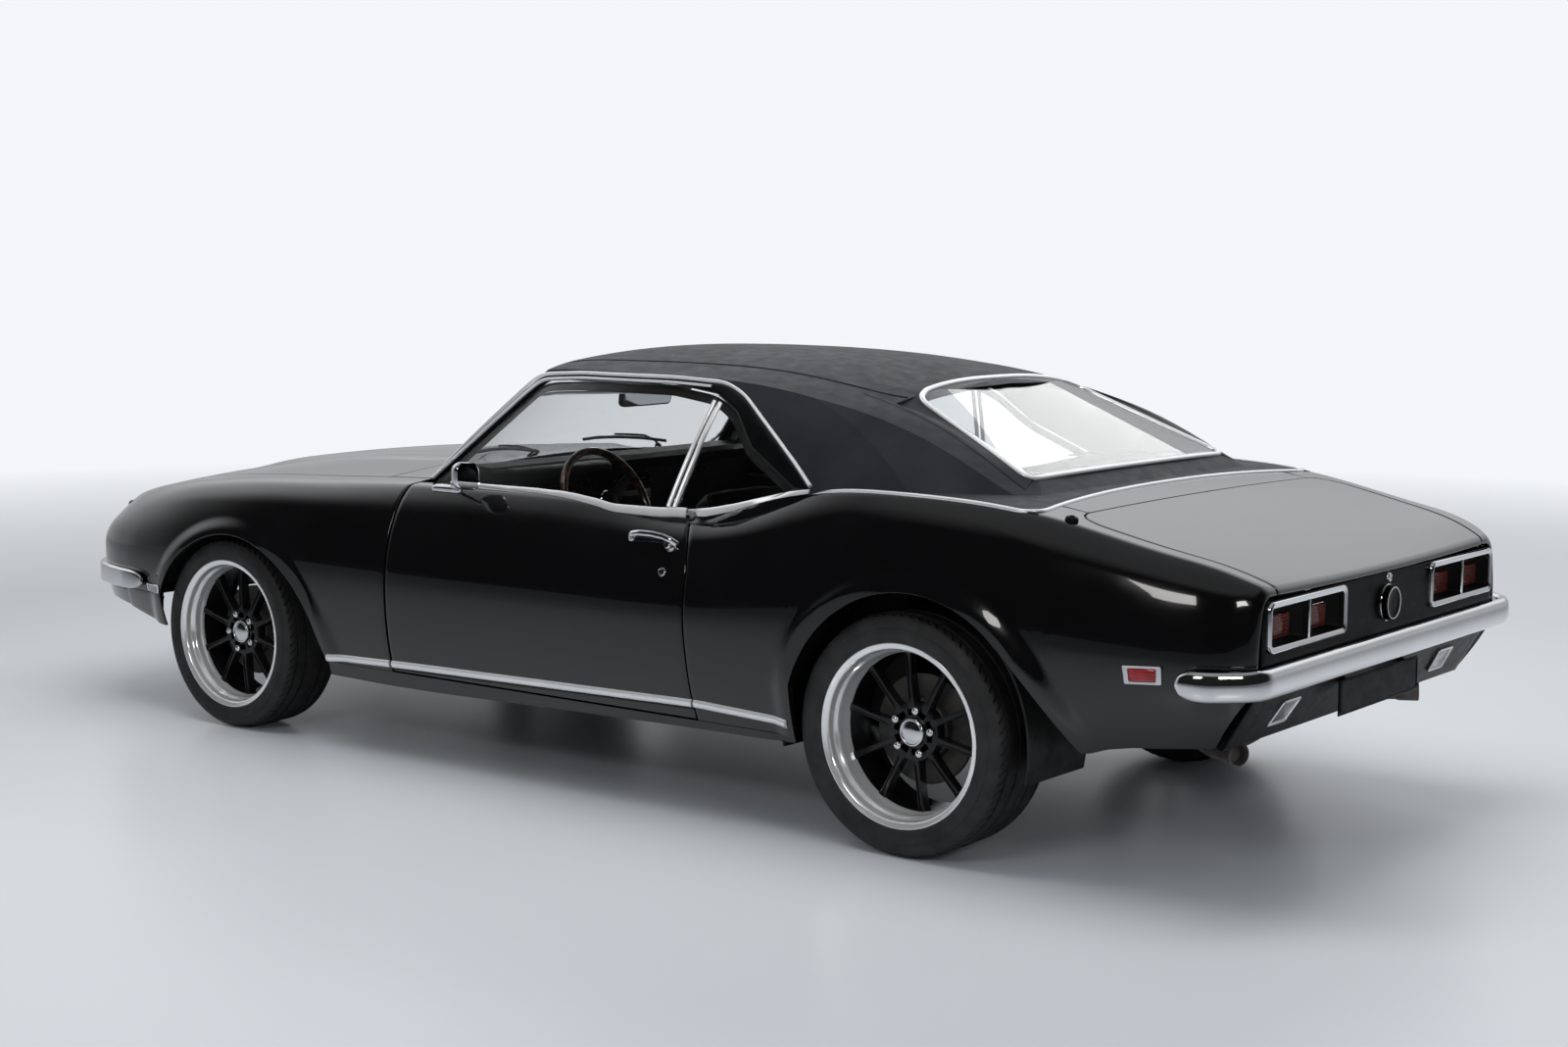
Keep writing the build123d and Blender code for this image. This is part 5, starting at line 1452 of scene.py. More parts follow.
def belt_band(name, rings, body="root"):
    """Belt moulding: each ring closed by two points inside the glass."""
    full = [[*map(tuple, ring), tuple(ring[-1] - [0, 0.006, 0.002]), tuple(ring[0] - [0, 0.006, 0.004])]
            for ring in rings]
    both_sides(name, layered(full), "bright", body)


rings = []
xs = np.linspace(0.470, -0.5515, 60)
for x, height in zip(xs, np.interp(xs, [-0.55, -0.30, 0.10, 0.47], [0.024, 0.021, 0.012, 0.007])):
    for z in np.linspace(0.815, 0.950, 55):
        side = outer_y(x, z)
        if side is not None and side > flank_y(x, z) - 0.0005:
            low = np.array([x, side + 0.0030, z - 0.0015])
            high = np.array([x, (outer_y(x, z + height) or side - 0.4 * height) + 0.0020, z + height])
            rings.append(belt_ring(low, high))
            break
belt_band("belt_moulding_door", eased(rings, 3), "door")


def belt_side(x, z):
    """Outermost of glass, roof and shoulder beside a height."""
    return max(outer_y(x, z) or 0.0, flank_y(x, z))


# Behind the door the band climbs in one straight run to the foot of the roof pillar.
xs = np.linspace(-0.5565, -0.982, 44)
foot = np.interp(xs, [-0.982, -0.90, -0.83, -0.73, -0.64, -0.5565],
                 [0.9440, 0.9290, 0.9090, 0.8800, 0.8590, 0.8465])
rise = np.interp(xs, [-0.982, -0.75, -0.5565], [0.010, 0.018, 0.024])
lines, ledge = [], []
for x, z, height in zip(xs, foot, rise):
    low = np.array([x, belt_side(x, z) + 0.0030, z - 0.0015])
    high = np.array([x, belt_side(x, z + height) + 0.0020, z + height])
    lines.append((low, high))
    under = z - 0.012 - 0.028 * math.sin(math.pi * np.clip((x + 0.982) / 0.4255, 0, 1)) ** 0.8
    start = np.array([x, float(shaped(np.array([x]), s_at_z([x], [under]))[0, 1]) + 0.0004, under])
    ledge.append([start * (1 - t) + (low + [0, -0.0008, 0.002]) * t for t in np.linspace(0, 1, 7)])
lines, ledge = eased(lines, 6), eased(ledge, 6)
for _ in range(2):
    for line_of in ledge:
        for spot in line_of[1:]:
            spot[1] = max(spot[1], belt_side(spot[0], spot[2]) + 0.0022)
    ledge = eased(ledge, 1)
belt_band("belt_moulding_quarter", [belt_ring(low, high) for low, high in lines])
both_sides("quarter_belt_ledge", panel(ledge, grid_normals(ledge, (0, 1, 0)), 0.0008, 0.004), "paint")

# Lower side moulding, parted at the door's shut lines.
STRIP_LINE = [(-0.995, 0.320), (-0.651, 0.3335), (0.510, 0.3115), (0.896, 0.300)]
STRIPS = [
    ("fender", "root", 0.888, 0.601, 14),
    ("door", "door", 0.5885, -0.6345, 60),
    ("quarter", "root", -0.6425, -0.975, 16),
]


def strip_height(x):
    return np.interp(x, [a for a, _ in STRIP_LINE], [b for _, b in STRIP_LINE])


for name, body, start, end, count in STRIPS:
    x = np.linspace(start, end, count)
    z = strip_height(x)
    body_strip(f"side_moulding_{name}", x, s_at_z(x, z), 0.024, 0.0085, body)

# Dark strip under the side moulding: a painted shadow line, a black band where the moulding's shadow falls.
x = np.linspace(0.5885, -0.6345, 60)
body_strip("side_moulding_shadow", x, s_at_z(x, strip_height(x) - 0.0155), 0.006, 0.003, "door", "seal")

# Window post: one bright edge on the door glass and one on the quarter glass.
GLASS_EDGES = [
    ("glass_edge_door", "door_glass_left", "door", (-0.5385, 1.170), (-0.4805, 0.872)),
    ("glass_edge_quarter", "quarter_glass", "root", (-0.5610, 1.166), (-0.5045, 0.872)),
]
for name, node, body, top, foot in GLASS_EDGES:
    line = resample([top, foot], 24)
    spots, normals = cast(tree_of(node), [(a, BESIDE, b) for a, b in line], (0, -1, 0))
    if len(spots) > 3:
        both_sides(name, sweep(spots, strip_section(0.0125, 0.0075), up=normals), "bright", body)


def side_point(x, z):
    """Point and outward normal on the flank."""
    s = float(s_at_z([x], [z])[0])
    p = shaped(np.array([x]), np.array([s]))[0]
    n = surface_normal(np.array([x]), np.array([s]))[0]
    return Vector(p), Vector(n)


def boss(at, normal, rings):
    """Small turned fitting that stands on a surface: rings of (height, radius)."""
    return lathe(rings, at, normal, 28)


# Door handle: a bar on two feet with a push button, and the key lock below it.
grip = []
for x, z, away in ((-0.381, 0.780, 0.004), (-0.393, 0.785, 0.018), (-0.427, 0.787, 0.024),
                   (-0.477, 0.787, 0.025), (-0.522, 0.784, 0.025), (-0.547, 0.780, 0.022),
                   (-0.563, 0.775, 0.006)):
    p, n = side_point(x, z)
    grip.append(p + n * away)
path = resample(rounded_path(grip, 0.02, 6), 40)
bar = sweep(path, [(0.0085 * math.cos(t), 0.0050 * math.sin(t))
                   for t in np.linspace(0, 2 * math.pi, 14, endpoint=False)], up=(0.0, 0.96, 0.28))
p, n = side_point(-0.540, 0.768)
button = boss(p, n, [(-0.003, 0.0165), (0.004, 0.0165), (0.006, 0.0150), (0.006, 0.0125), (0.019, 0.0120),
                     (0.021, 0.0105), (0.0215, 0.004)])
p, n = side_point(-0.387, 0.781)
foot = boss(p, n, [(-0.003, 0.0120), (0.003, 0.0120), (0.0055, 0.0095), (0.006, 0.002)])
p, n = side_point(-0.527, 0.697)
lock = boss(p, n, [(-0.003, 0.0135), (0.002, 0.0135), (0.0038, 0.0120), (0.0042, 0.0095), (0.0034, 0.0085),
                   (0.0040, 0.002)])
both_sides("door_handle", merge([bar, button, foot]), "chrome", "door")
both_sides("door_lock", lock, "chrome", "door")

# Door mirror: chrome shell, glass facing backwards, stalk and foot.
MIRROR = (0.285, 0.866, 0.918)
MIRROR_SIZE = (0.098, 0.084)
rings = []
for x, grow in ((-0.0135, 0.90), (-0.0165, 0.93), (-0.0170, 0.97), (-0.0150, 1.0), (-0.0070, 1.0),
                (0.0040, 0.96), (0.0140, 0.86), (0.0215, 0.68), (0.0250, 0.40)):
    rings.append([(MIRROR[0] + x, MIRROR[1] + a * grow, MIRROR[2] + b * grow + 0.10 * a * grow)
                  for a, b in rounded_loop(*MIRROR_SIZE, 0.028, 8)])
shell = layered(rings)
pane = rounded_loop(MIRROR_SIZE[0] * 0.89, MIRROR_SIZE[1] * 0.89, 0.024)
glass_rings = [[(MIRROR[0] + x, MIRROR[1] + a, MIRROR[2] + b + 0.10 * a) for a, b in pane]
               for x in (-0.0134, -0.0144)]
stalk = sweep(resample(rounded_path([(0.405, 0.803, 0.870), (0.370, 0.822, 0.879), (0.325, 0.850, 0.886),
                                     (0.298, 0.862, 0.892)], 0.03), 20), circle(0.0095, 12, 0.75),
              up=(0, 0, 1))
stand_rings = []
for z, grow in ((-0.004, 1), (0.005, 1), (0.009, 0.93), (0.012, 0.75), (0.013, 0.4)):
    deep = 0.036 * (grow if grow > 0.9 else grow * 0.9)
    stand_rings.append([(a, b, z) for a, b in rounded_loop(0.130 * grow, deep, 0.0170 * grow)])
stand_at = Matrix.Translation((0.425, 0.800, 0.8655)) @ Matrix.Rotation(math.radians(-14), 4, "X")
stand = turned(layered(stand_rings), stand_at)
both_sides("mirror_shell", merge([shell, stalk, stand]), "chrome", "door")
both_sides("mirror_glass", layered(glass_rings), "mirror", "door")

# Low aerial socket on the left quarter.
AERIAL_X, AERIAL_Y = -1.785, 0.772
s = s_at_y([AERIAL_X], [AERIAL_Y])
p = Vector(shaped(np.array([AERIAL_X]), s)[0])
n = Vector(surface_normal(np.array([AERIAL_X]), s)[0])
solid("aerial_socket", boss(p, n, [(-0.003, 0.0175), (0.003, 0.0175), (0.009, 0.0160), (0.011, 0.0130),
                                   (0.012, 0.0070), (0.014, 0.0060), (0.0150, 0.0030)]), "trim")


def side_lamp(name, corners, rim, proud, lens_key):
    """Bright bezel with a raised lens, drawn by its four corners in the side view."""
    centre = np.mean(corners, axis=0)

    def rings_of(steps, radius):
        rings = []
        for grow, away in steps:
            loop = rounded_path([centre + (np.array(c) - centre) * grow for c in corners], radius, 3,
                                closed=True)
            rings.append([tuple(q + m * away) for q, m in (side_point(a, b) for a, b in loop)])
        return layered(rings)

    bezel = [(1.0, -0.004), (1.0, proud), (0.97, proud + 0.001), (1 - rim, proud + 0.0005), (1 - rim, 0.001)]
    raised = [(1 - rim - 0.02, 0.0), (1 - rim - 0.02, proud - 0.0005), (1 - rim - 0.10, proud + 0.0006)]
    both_sides(f"{name}_bezel", rings_of(bezel, 0.004), "chrome", sharp=30)
    both_sides(f"{name}_lens", rings_of(raised, 0.003), lens_key, sharp=30)


# Side marker behind each rear wheel and lamp ahead of each front wheel.
side_lamp("side_marker_rear", [(-2.004, 0.594), (-2.106, 0.600), (-2.106, 0.555), (-2.010, 0.549)], 0.26,
          0.007, "red")
side_lamp("side_marker_front", [(1.826, 0.456), (1.735, 0.456), (1.740, 0.430), (1.824, 0.430)], 0.20, 0.006,
          "clear")

# Wipers parked at the foot of the windscreen.
screen_tree = tree_of("windscreen")
for name, pivot_y, end_y in (("wiper_left", 0.10, 0.56), ("wiper_right", -0.50, -0.04)):
    ys = np.linspace(pivot_y + 0.06, end_y, 26)
    rise = 0.925 + 0.030 * np.sin(np.linspace(0, 1, 26) * math.pi * 0.6)
    spots, normals = cast(screen_tree, [(AHEAD, a, b) for a, b in zip(ys, rise)], (-1, 0, 0))
    blade = sweep(spots + normals * 0.008, circle(0.0045, 8, 1.4), up=normals)
    arm_path = [(0.690, pivot_y, 0.905), (0.688, pivot_y + 0.02, 0.925),
                *[tuple(q + m * 0.022) for q, m in zip(spots[6:16:3], normals[6:16:3])]]
    arm = sweep(resample(rounded_path(arm_path, 0.02, 5), 26), circle(0.0045, 8, 0.7), up=(0.6, 0, 0.8))
    base = lathe([(0, 0.014), (0.012, 0.013), (0.020, 0.009), (0.022, 0.003)], (0.690, pivot_y, 0.893),
                 (0.3, 0, 1), 20)
    solid(name, merge([blade, arm, base]), "trim")

# ---------------------------------------------------------------- tail: lamps, cap, plate, bumpers and pipes


def carve(piece, part):
    """Cuts a closed part out of a piece."""
    data = bpy.data.meshes.new("cutter")
    data.from_pydata([tuple(map(float, v)) for v in part[0]], [], [tuple(map(int, f)) for f in part[1]])
    cutter = bpy.data.objects.new("cutter", data)
    scene.collection.objects.link(cutter)
    tidy_normals(cutter)
    step = piece.modifiers.new("cut", "BOOLEAN")
    step.operation = "DIFFERENCE"
    step.solver = "EXACT"
    step.object = cutter
    graph = bpy.context.evaluated_depsgraph_get()
    fresh = bpy.data.meshes.new_from_object(piece.evaluated_get(graph))
    piece.modifiers.clear()
    piece.data = fresh
    bpy.data.objects.remove(cutter)


LAMP_Y, LAMP_Z = (0.276, 0.718), (0.628, 0.756)
LAMP_RIM, DIVIDER = 0.0155, 0.009
cell_width = (LAMP_Y[1] - LAMP_Y[0] - 2 * LAMP_RIM - DIVIDER) / 2
cells = [(LAMP_Y[0] + LAMP_RIM, LAMP_Y[0] + LAMP_RIM + cell_width),
         (LAMP_Y[1] - LAMP_RIM - cell_width, LAMP_Y[1] - LAMP_RIM)]


def yz_ring(x, y_range, z_range, radius):
    """Rounded rectangle across the car at x."""
    cy, cz = sum(y_range) / 2, sum(z_range) / 2
    return [(x, cy + a, cz + b) for a, b in rounded_loop(y_range[1] - y_range[0], z_range[1] - z_range[0],
                                                         radius, 5)]


for way in (1, -1):
    y_range = (LAMP_Y[0] + 0.006, LAMP_Y[1] - 0.006) if way > 0 else (-LAMP_Y[1] + 0.006, -LAMP_Y[0] - 0.006)
    z_range = (LAMP_Z[0] + 0.006, LAMP_Z[1] - 0.006)
    carve(tail, layered([yz_ring(x, y_range, z_range, 0.016) for x in (-2.32, -2.26)]))

inner_y = (LAMP_Y[0] + LAMP_RIM, LAMP_Y[1] - LAMP_RIM)
inner_z = (LAMP_Z[0] + LAMP_RIM, LAMP_Z[1] - LAMP_RIM)


def shrink(span, by):
    """A span drawn in at both ends."""
    return span[0] + by, span[1] - by


def looped(rings):
    """Skin over rings that comes back to the first of them."""
    verts, faces = layered(rings, False, False)
    m = len(rings[0])
    last = len(verts) - m
    return verts, faces + [(last + k, last + (k + 1) % m, (k + 1) % m, k) for k in range(m)]


frame_rings = [yz_ring(-2.3005, LAMP_Y, LAMP_Z, 0.022), yz_ring(-2.3095, LAMP_Y, LAMP_Z, 0.022),
               yz_ring(-2.3125, shrink(LAMP_Y, 0.0015), shrink(LAMP_Z, 0.0015), 0.021),
               yz_ring(-2.3140, shrink(LAMP_Y, 0.0045), shrink(LAMP_Z, 0.0045), 0.019),
               yz_ring(-2.3135, shrink(LAMP_Y, 0.0080), shrink(LAMP_Z, 0.0080), 0.016),
               yz_ring(-2.3100, inner_y, inner_z, 0.013),
               yz_ring(-2.2990, shrink(inner_y, 0.0005), shrink(inner_z, 0.0005), 0.013),
               yz_ring(-2.2990, shrink(LAMP_Y, 0.0065), shrink(LAMP_Z, 0.0065), 0.016)]
divider = soft_box((-2.3120, cells[0][1], LAMP_Z[0] + LAMP_RIM - 0.001),
                   (-2.2900, cells[1][0], LAMP_Z[1] - LAMP_RIM + 0.001), 0.002, 2)
both_sides("tail_lamp_bezel", merge([looped(frame_rings), divider]), "chrome", sharp=30,
           stands_for=["tail_lamps"], slot="chrome")
walls, lenses = [], []
for low, high in cells:
    front = yz_ring(-2.3085, (low, high), inner_z, 0.010)
    mid = yz_ring(-2.2960, (low + 0.004, high - 0.001), shrink(inner_z, 0.002), 0.010)
    back = yz_ring(-2.2700, (low + 0.034, high - 0.012), (inner_z[0] + 0.008, inner_z[1] - 0.028), 0.008)
    behind = yz_ring(-2.2660, (low + 0.030, high - 0.008), (inner_z[0] + 0.004, inner_z[1] - 0.024), 0.008)
    outside = yz_ring(-2.2960, (low - 0.001, high + 0.001), shrink(inner_z, -0.001), 0.011)
    walls.append(looped([front, mid, back, behind, outside]))
    lens_y, lens_z = (low + 0.0355, high - 0.0135), (inner_z[0] + 0.0095, inner_z[1] - 0.0295)
    lenses.append(layered([yz_ring(-2.2680, lens_y, lens_z, 0.007), yz_ring(-2.2745, lens_y, lens_z, 0.007),
                           yz_ring(-2.2755, shrink(lens_y, 0.002), shrink(lens_z, 0.002), 0.006)]))
both_sides("tail_lamp_housing", merge(walls), "trim", sharp=30)
both_sides("tail_lamp_lens", merge(lenses), "grid", sharp=30, slot="lamp_red")

# Filler cap in the middle of the tail: a plain black face with a light ring, and the boot lock above it.
CAP = (0.0, 0.676)


def on_cap(name, profile, material, closed=True):
    """Turned piece of the filler cap: (stand, radius)."""
    solid(name, lathe(profile, (TAIL_X, *CAP), (-1, 0, 0), 64, closed=closed), material, sharp=35)


on_cap("fuel_cap_base", [(-0.002, 0.0500), (0.0020, 0.0500), (0.0032, 0.0490), (0.0032, 0.0470),
                         (-0.002, 0.0470)], "chrome", False)
on_cap("fuel_cap_body", [(-0.002, 0.0475), (0.0175, 0.0475), (0.0190, 0.0460), (0.0193, 0.0440),
                         (0.0185, 0.0425), (0.0185, 0.0060), (0.0190, 0.0020)], "tail")
on_cap("fuel_cap_trim", [(0.0180, 0.0432), (0.0198, 0.0429), (0.0206, 0.0418), (0.0198, 0.0406),
                         (0.0180, 0.0403)], "white", False)
lock = lathe([(-0.002, 0.0125), (0.004, 0.0125), (0.0065, 0.0110), (0.0070, 0.0085), (0.0060, 0.0075),
              (0.0066, 0.0020)], (-2.302, 0.0, 0.7435), (-1, 0, 0), 28)
solid("boot_lock", lock, "chrome", sharp=35)

# Lamps and plate on the pan.
pan_run, pan_drop = PAN_FOOT[0] - PAN_TOP[0], PAN_TOP[1] - PAN_FOOT[1]
pan_length = math.hypot(pan_run, pan_drop)
pan_out = np.array([-pan_drop, 0.0, -pan_run]) / pan_length


def on_pan(y, z, away):
    """Point on the sloping pan below the tail panel, or away from it."""
    x = PAN_TOP[0] + (PAN_TOP[1] - z) / pan_drop * pan_run
    return tuple(np.array([x, y, z]) + pan_out * away)


def framed_lamp(name, corners, spot, rim, proud, key, stands=(), radius=0.006):
    """Bezel with a raised lens on any flat: corners in its plane, spot maps them into space."""
    centre = np.mean(corners, axis=0)

    def ring_of(by, away, r):
        loop = rounded_path([np.array(c) - np.sign(np.array(c) - centre) * by for c in corners], r, 4,
                            closed=True)
        return [spot(a, b, away) for a, b in loop]

    bezel = layered([ring_of(0, -0.004, radius), ring_of(0, proud * 0.7, radius),
                     ring_of(0.0015, proud, radius), ring_of(rim * 0.6, proud, radius * 0.8),
                     ring_of(rim, proud * 0.6, radius * 0.6), ring_of(rim, 0.0005, radius * 0.6)])
    glass_part = layered([ring_of(rim + 0.0005, 0.0, radius * 0.6),
                          ring_of(rim + 0.0005, proud * 0.55, radius * 0.6),
                          ring_of(rim + 0.003, proud * 0.75, radius * 0.5)])
    both_sides(f"{name}_bezel", bezel, "chrome", sharp=30, stands_for=list(stands))
    both_sides(f"{name}_lens", glass_part, key, sharp=30)


framed_lamp("reverse_lamp", [(0.446, 0.488), (0.546, 0.488), (0.560, 0.420), (0.460, 0.420)], on_pan, 0.008,
            0.008, "smoke")
plate = panel(*[np.array(v) for v in (
    [[(-2.2882, y, z) for y in np.linspace(-0.2545, 0.2545, 20)] for z in np.linspace(0.4035, 0.4975, 8)],
    [[(-1, 0, 0)] * 20] * 8)], 0.002, 0.004)
solid("blank_plate", plate, "plate", stands_for=["number_plate"], slot="plate_blank", sharp=35)
rim_path = rounded_path([(-2.2888, -0.2490, 0.4090), (-2.2888, 0.2490, 0.4090), (-2.2888, 0.2490, 0.4920),
                         (-2.2888, -0.2490, 0.4920)], 0.012, 5, closed=True)
solid("plate_rim", sweep(rim_path, circle(0.0011, 8), up=(-1, 0, 0), closed=True), "plate", sharp=50)
brackets = [soft_box((-2.2845, side * 0.190 - 0.009, 0.408), (-2.268, side * 0.190 + 0.009, 0.494), 0.002, 2)
            for side in (-1, 1)]
solid("plate_brackets", merge(brackets), "trim", sharp=35)

BAR = [(-0.0150, 0.0300), (-0.0080, 0.0345), (0.0020, 0.0358), (0.0085, 0.0330), (0.0125, 0.0265),
       (0.0150, 0.0165), (0.0164, 0.0060), (0.0168, -0.0040), (0.0158, -0.0150), (0.0130, -0.0250),
       (0.0085, -0.0320), (0.0020, -0.0356), (-0.0080, -0.0350), (-0.0150, -0.0310), (-0.0165, -0.0200),
       (-0.0165, 0.0200)]


def bumper_part(half, radii, z, height, tip):
    """Crowned bar that wraps round the corners and tapers to rounded tips."""
    plan = half + [(x, -y) for x, y in reversed(half)]
    path = rounded_path([(x, y, z) for x, y in plan], radii, 12)
    path = resample(path, 260)
    run = np.concatenate([[0], np.cumsum(np.linalg.norm(np.diff(path, axis=0), axis=1))])
    near = np.minimum(run, run[-1] - run)
    size = 0.30 + 0.70 * np.sqrt(1 - np.clip(1 - near / tip, 0, 1) ** 2.4)
    section = [(a, b * height / 0.0716) for a, b in BAR]
    return sweep(path, section, up=(0, 0, 1), scale=size)


def bumper_posts(name, x, z):
    """Two short posts between a bumper and the body."""
    parts = [soft_box((x[0], side * 0.405 - 0.022, z[0]), (x[1], side * 0.405 + 0.022, z[1]), 0.003, 2)
             for side in (-1, 1)]
    solid(name, merge(parts), "chassis", sharp=35)


REAR_BAR = [(-2.157, 0.9020), (-2.236, 0.8985), (-2.3285, 0.8050)]
rear = bumper_part(REAR_BAR, [0, 0.10, 0.13, 0.13, 0.10, 0], 0.565, 0.076, 0.075)
solid("rear_bumper_bar", rear, "chrome", stands_for=["rear_bumper"], slot="chrome")
bumper_posts("rear_bumper_posts", (-2.318, -2.3015), (0.545, 0.585))
FRONT_BAR = [(1.842, 0.8930), (1.955, 0.8790), (2.056, 0.8540), (2.156, 0.8130), (2.225, 0.7640),
             (2.285, 0.6950), (2.3285, 0.5900)]
front = bumper_part(FRONT_BAR, [0, *[0.20] * 12, 0], 0.462, 0.070, 0.130)
solid("front_bumper_bar", front, "chrome", stands_for=["front_bumper"], slot="chrome")
bumper_posts("front_bumper_posts", (2.291, 2.318), (0.442, 0.482))

# Twin exhaust: pipes from the engine over the axle, one long silencer each, and a turned-out cut end.
PIPE = [(1.200, 0.300, 0.215), (0.560, 0.240, 0.200), (-1.080, 0.250, 0.200), (-1.170, 0.300, 0.426),
        (-1.520, 0.300, 0.426), (-1.680, 0.440, 0.335), (-1.990, 0.440, 0.335), (-2.070, 0.520, 0.337),
        (-2.160, 0.566, 0.340)]
bends = [0, 0.06, 0.09, 0.09, 0.09, 0.09, 0.06, 0.06, 0]
tip_way = (Vector(PIPE[-1]) - Vector(PIPE[-2])).normalized()
run = rounded_path([*[np.array(p) for p in PIPE[:-1]], np.array(Vector(PIPE[-1]) - tip_way * 0.036)], bends,
                   10)
pipe = sweep(run, circle(0.0270, 20), up=(0, 0, 1))
tip = lathe([(-0.060, 0.0272), (-0.050, 0.0300), (0.004, 0.0310), (0.005, 0.0295), (0.003, 0.0282),
             (-0.030, 0.0280), (-0.030, 0.0050)], Vector(PIPE[-1]), tip_way, 32)
can = soft_box((-0.755, 0.172, 0.160), (-0.265, 0.308, 0.236), 0.036, 5)
clamps = [lathe([(-0.010, 0.0275), (-0.010, 0.0305), (0.010, 0.0305), (0.010, 0.0275)],
                (x, 0.2475 if x < -0.7 else 0.243, 0.200), (1, 0, 0), 20, closed=False)
          for x in (-0.785, -0.235)]
both_sides("exhaust_run", merge([pipe, can, *clamps]), "exhaust", sharp=35, stands_for=["exhaust"],
           slot="exhaust_steel")
both_sides("exhaust_tip", tip, "exhaust", sharp=35)

# ---------------------------------------------------------------- nose: signal lamps, grille and its covers


def on_nose(y, z, away):
    """Point on the flat of the nose, or away from it."""
    return (2.2903 + away, y, z)


framed_lamp("signal_lamp", [(0.430, 0.405), (0.590, 0.405), (0.590, 0.347), (0.430, 0.347)], on_nose, 0.008,
            0.009, "amber", ["signal_lamps"], 0.012)
GRILLE_HALF, GRILLE_LOW, GRILLE_HIGH = 0.600, 0.518, 0.682
bars = []
for y in np.linspace(-0.375, 0.375, 31):
    bars.append(soft_box((2.204, y - 0.0016, GRILLE_LOW + 0.002), (2.220, y + 0.0016, GRILLE_HIGH - 0.002),
                         0.0008, 1))
for z in np.linspace(GRILLE_LOW + 0.018, GRILLE_HIGH - 0.018, 7):
    bars.append(soft_box((2.206, -0.380, z - 0.0016), (2.224, 0.380, z + 0.0016), 0.0008, 1))
solid("grille_mesh", merge(bars), "trim", sharp=35)
doors = []
for side in (-1, 1):
    low, high = sorted((side * 0.384, side * 0.596))
    doors.append(soft_box((2.205, low, GRILLE_LOW + 0.003), (2.232, high, GRILLE_HIGH - 0.003), 0.006, 3))
    for y in np.linspace(low + 0.018, high - 0.018, 9):
        doors.append(soft_box((2.226, y - 0.003, GRILLE_LOW + 0.014), (2.238, y + 0.003, GRILLE_HIGH - 0.014),
                              0.002, 2))
solid("headlamp_covers", merge(doors), "trim", sharp=35)
loop = rounded_path([(2.2925, -GRILLE_HALF - 0.002, GRILLE_LOW - 0.002),
                     (2.2925, GRILLE_HALF + 0.002, GRILLE_LOW - 0.002),
                     (2.2925, GRILLE_HALF + 0.002, GRILLE_HIGH + 0.002),
                     (2.2925, -GRILLE_HALF - 0.002, GRILLE_HIGH + 0.002)], 0.012, 6, closed=True)
solid("grille_surround", sweep(loop, [(-0.005, -0.003), (-0.0035, 0.0025), (0, 0.0045), (0.0035, 0.0025),
                                      (0.005, -0.003)], up=(1, 0, 0), closed=True), "chrome", sharp=50)

# ---------------------------------------------------------------- wheelhouses

HOUSE_Z = 0.330


def house_part(x, inside, outside, radius, low_angle, high_angle):
    """Arched wheelhouse: inner wall and roof as one shell."""
    wall, low = 0.007, 0.12
    profile = [(inside, low), (inside, radius + wall), (outside, radius + wall), (outside, radius),
               (inside + wall, radius), (inside + wall, low)]
    angles = np.radians(np.linspace(low_angle, high_angle, 60))
    rings = [[(x + r * math.cos(a), y, HOUSE_Z + r * math.sin(a)) for y, r in profile] for a in angles]
    return layered(rings)


both_sides("rear_wheelhouse", house_part(REAR_AXLE, 0.581, 0.868, 0.392, -12, 192), "chassis", sharp=35)
both_sides("front_wheelhouse", house_part(FRONT_AXLE, 0.488, 0.845, 0.372, 20, 160), "chassis", sharp=35)

# Corner of the front valance under the bumper, down to the foot of the wheel opening.
xs = np.linspace(1.742, 1.980, 16)
heights = np.linspace(0, 1, 7)
feet = np.interp(xs, [1.742, 1.80, 1.98], [0.316, 0.322, 0.358])
grid_x = np.repeat(xs[:, None], 7, axis=1)
grid_z = feet[:, None] + (0.424 - feet[:, None]) * heights[None, :]
s = s_at_z(grid_x.ravel(), grid_z.ravel()).reshape(grid_x.shape)
p, n = shaped(grid_x, s), surface_normal(grid_x, s)
both_sides("front_valance_corner", panel(p + n * 0.0022, n, 0.0008, 0.006), "paint")

# ---------------------------------------------------------------- interior


def tapered_pad(length, width, depth, taper):
    """Cushion blank: rounded block, narrower towards one end, with a fine even mesh."""
    bm = bmesh.new()
    bmesh.ops.create_cube(bm, size=1.0)
    bmesh.ops.subdivide_edges(bm, edges=list(bm.edges), cuts=5, use_grid_fill=True)
    for v in bm.verts:
        q = v.co * 2
        reach = sum(abs(c) ** 6 for c in q) ** (1 / 6)
        q = q / max(reach, 1e-6) * max(abs(c) for c in q)
        v.co = Vector((q.x * length / 2, q.y * width / 2 * (1 - taper * q.x), q.z * depth / 2))
    bm.verts.index_update()
    part = [tuple(v.co) for v in bm.verts], [tuple(v.index for v in f.verts) for f in bm.faces]
    bm.free()
    return part


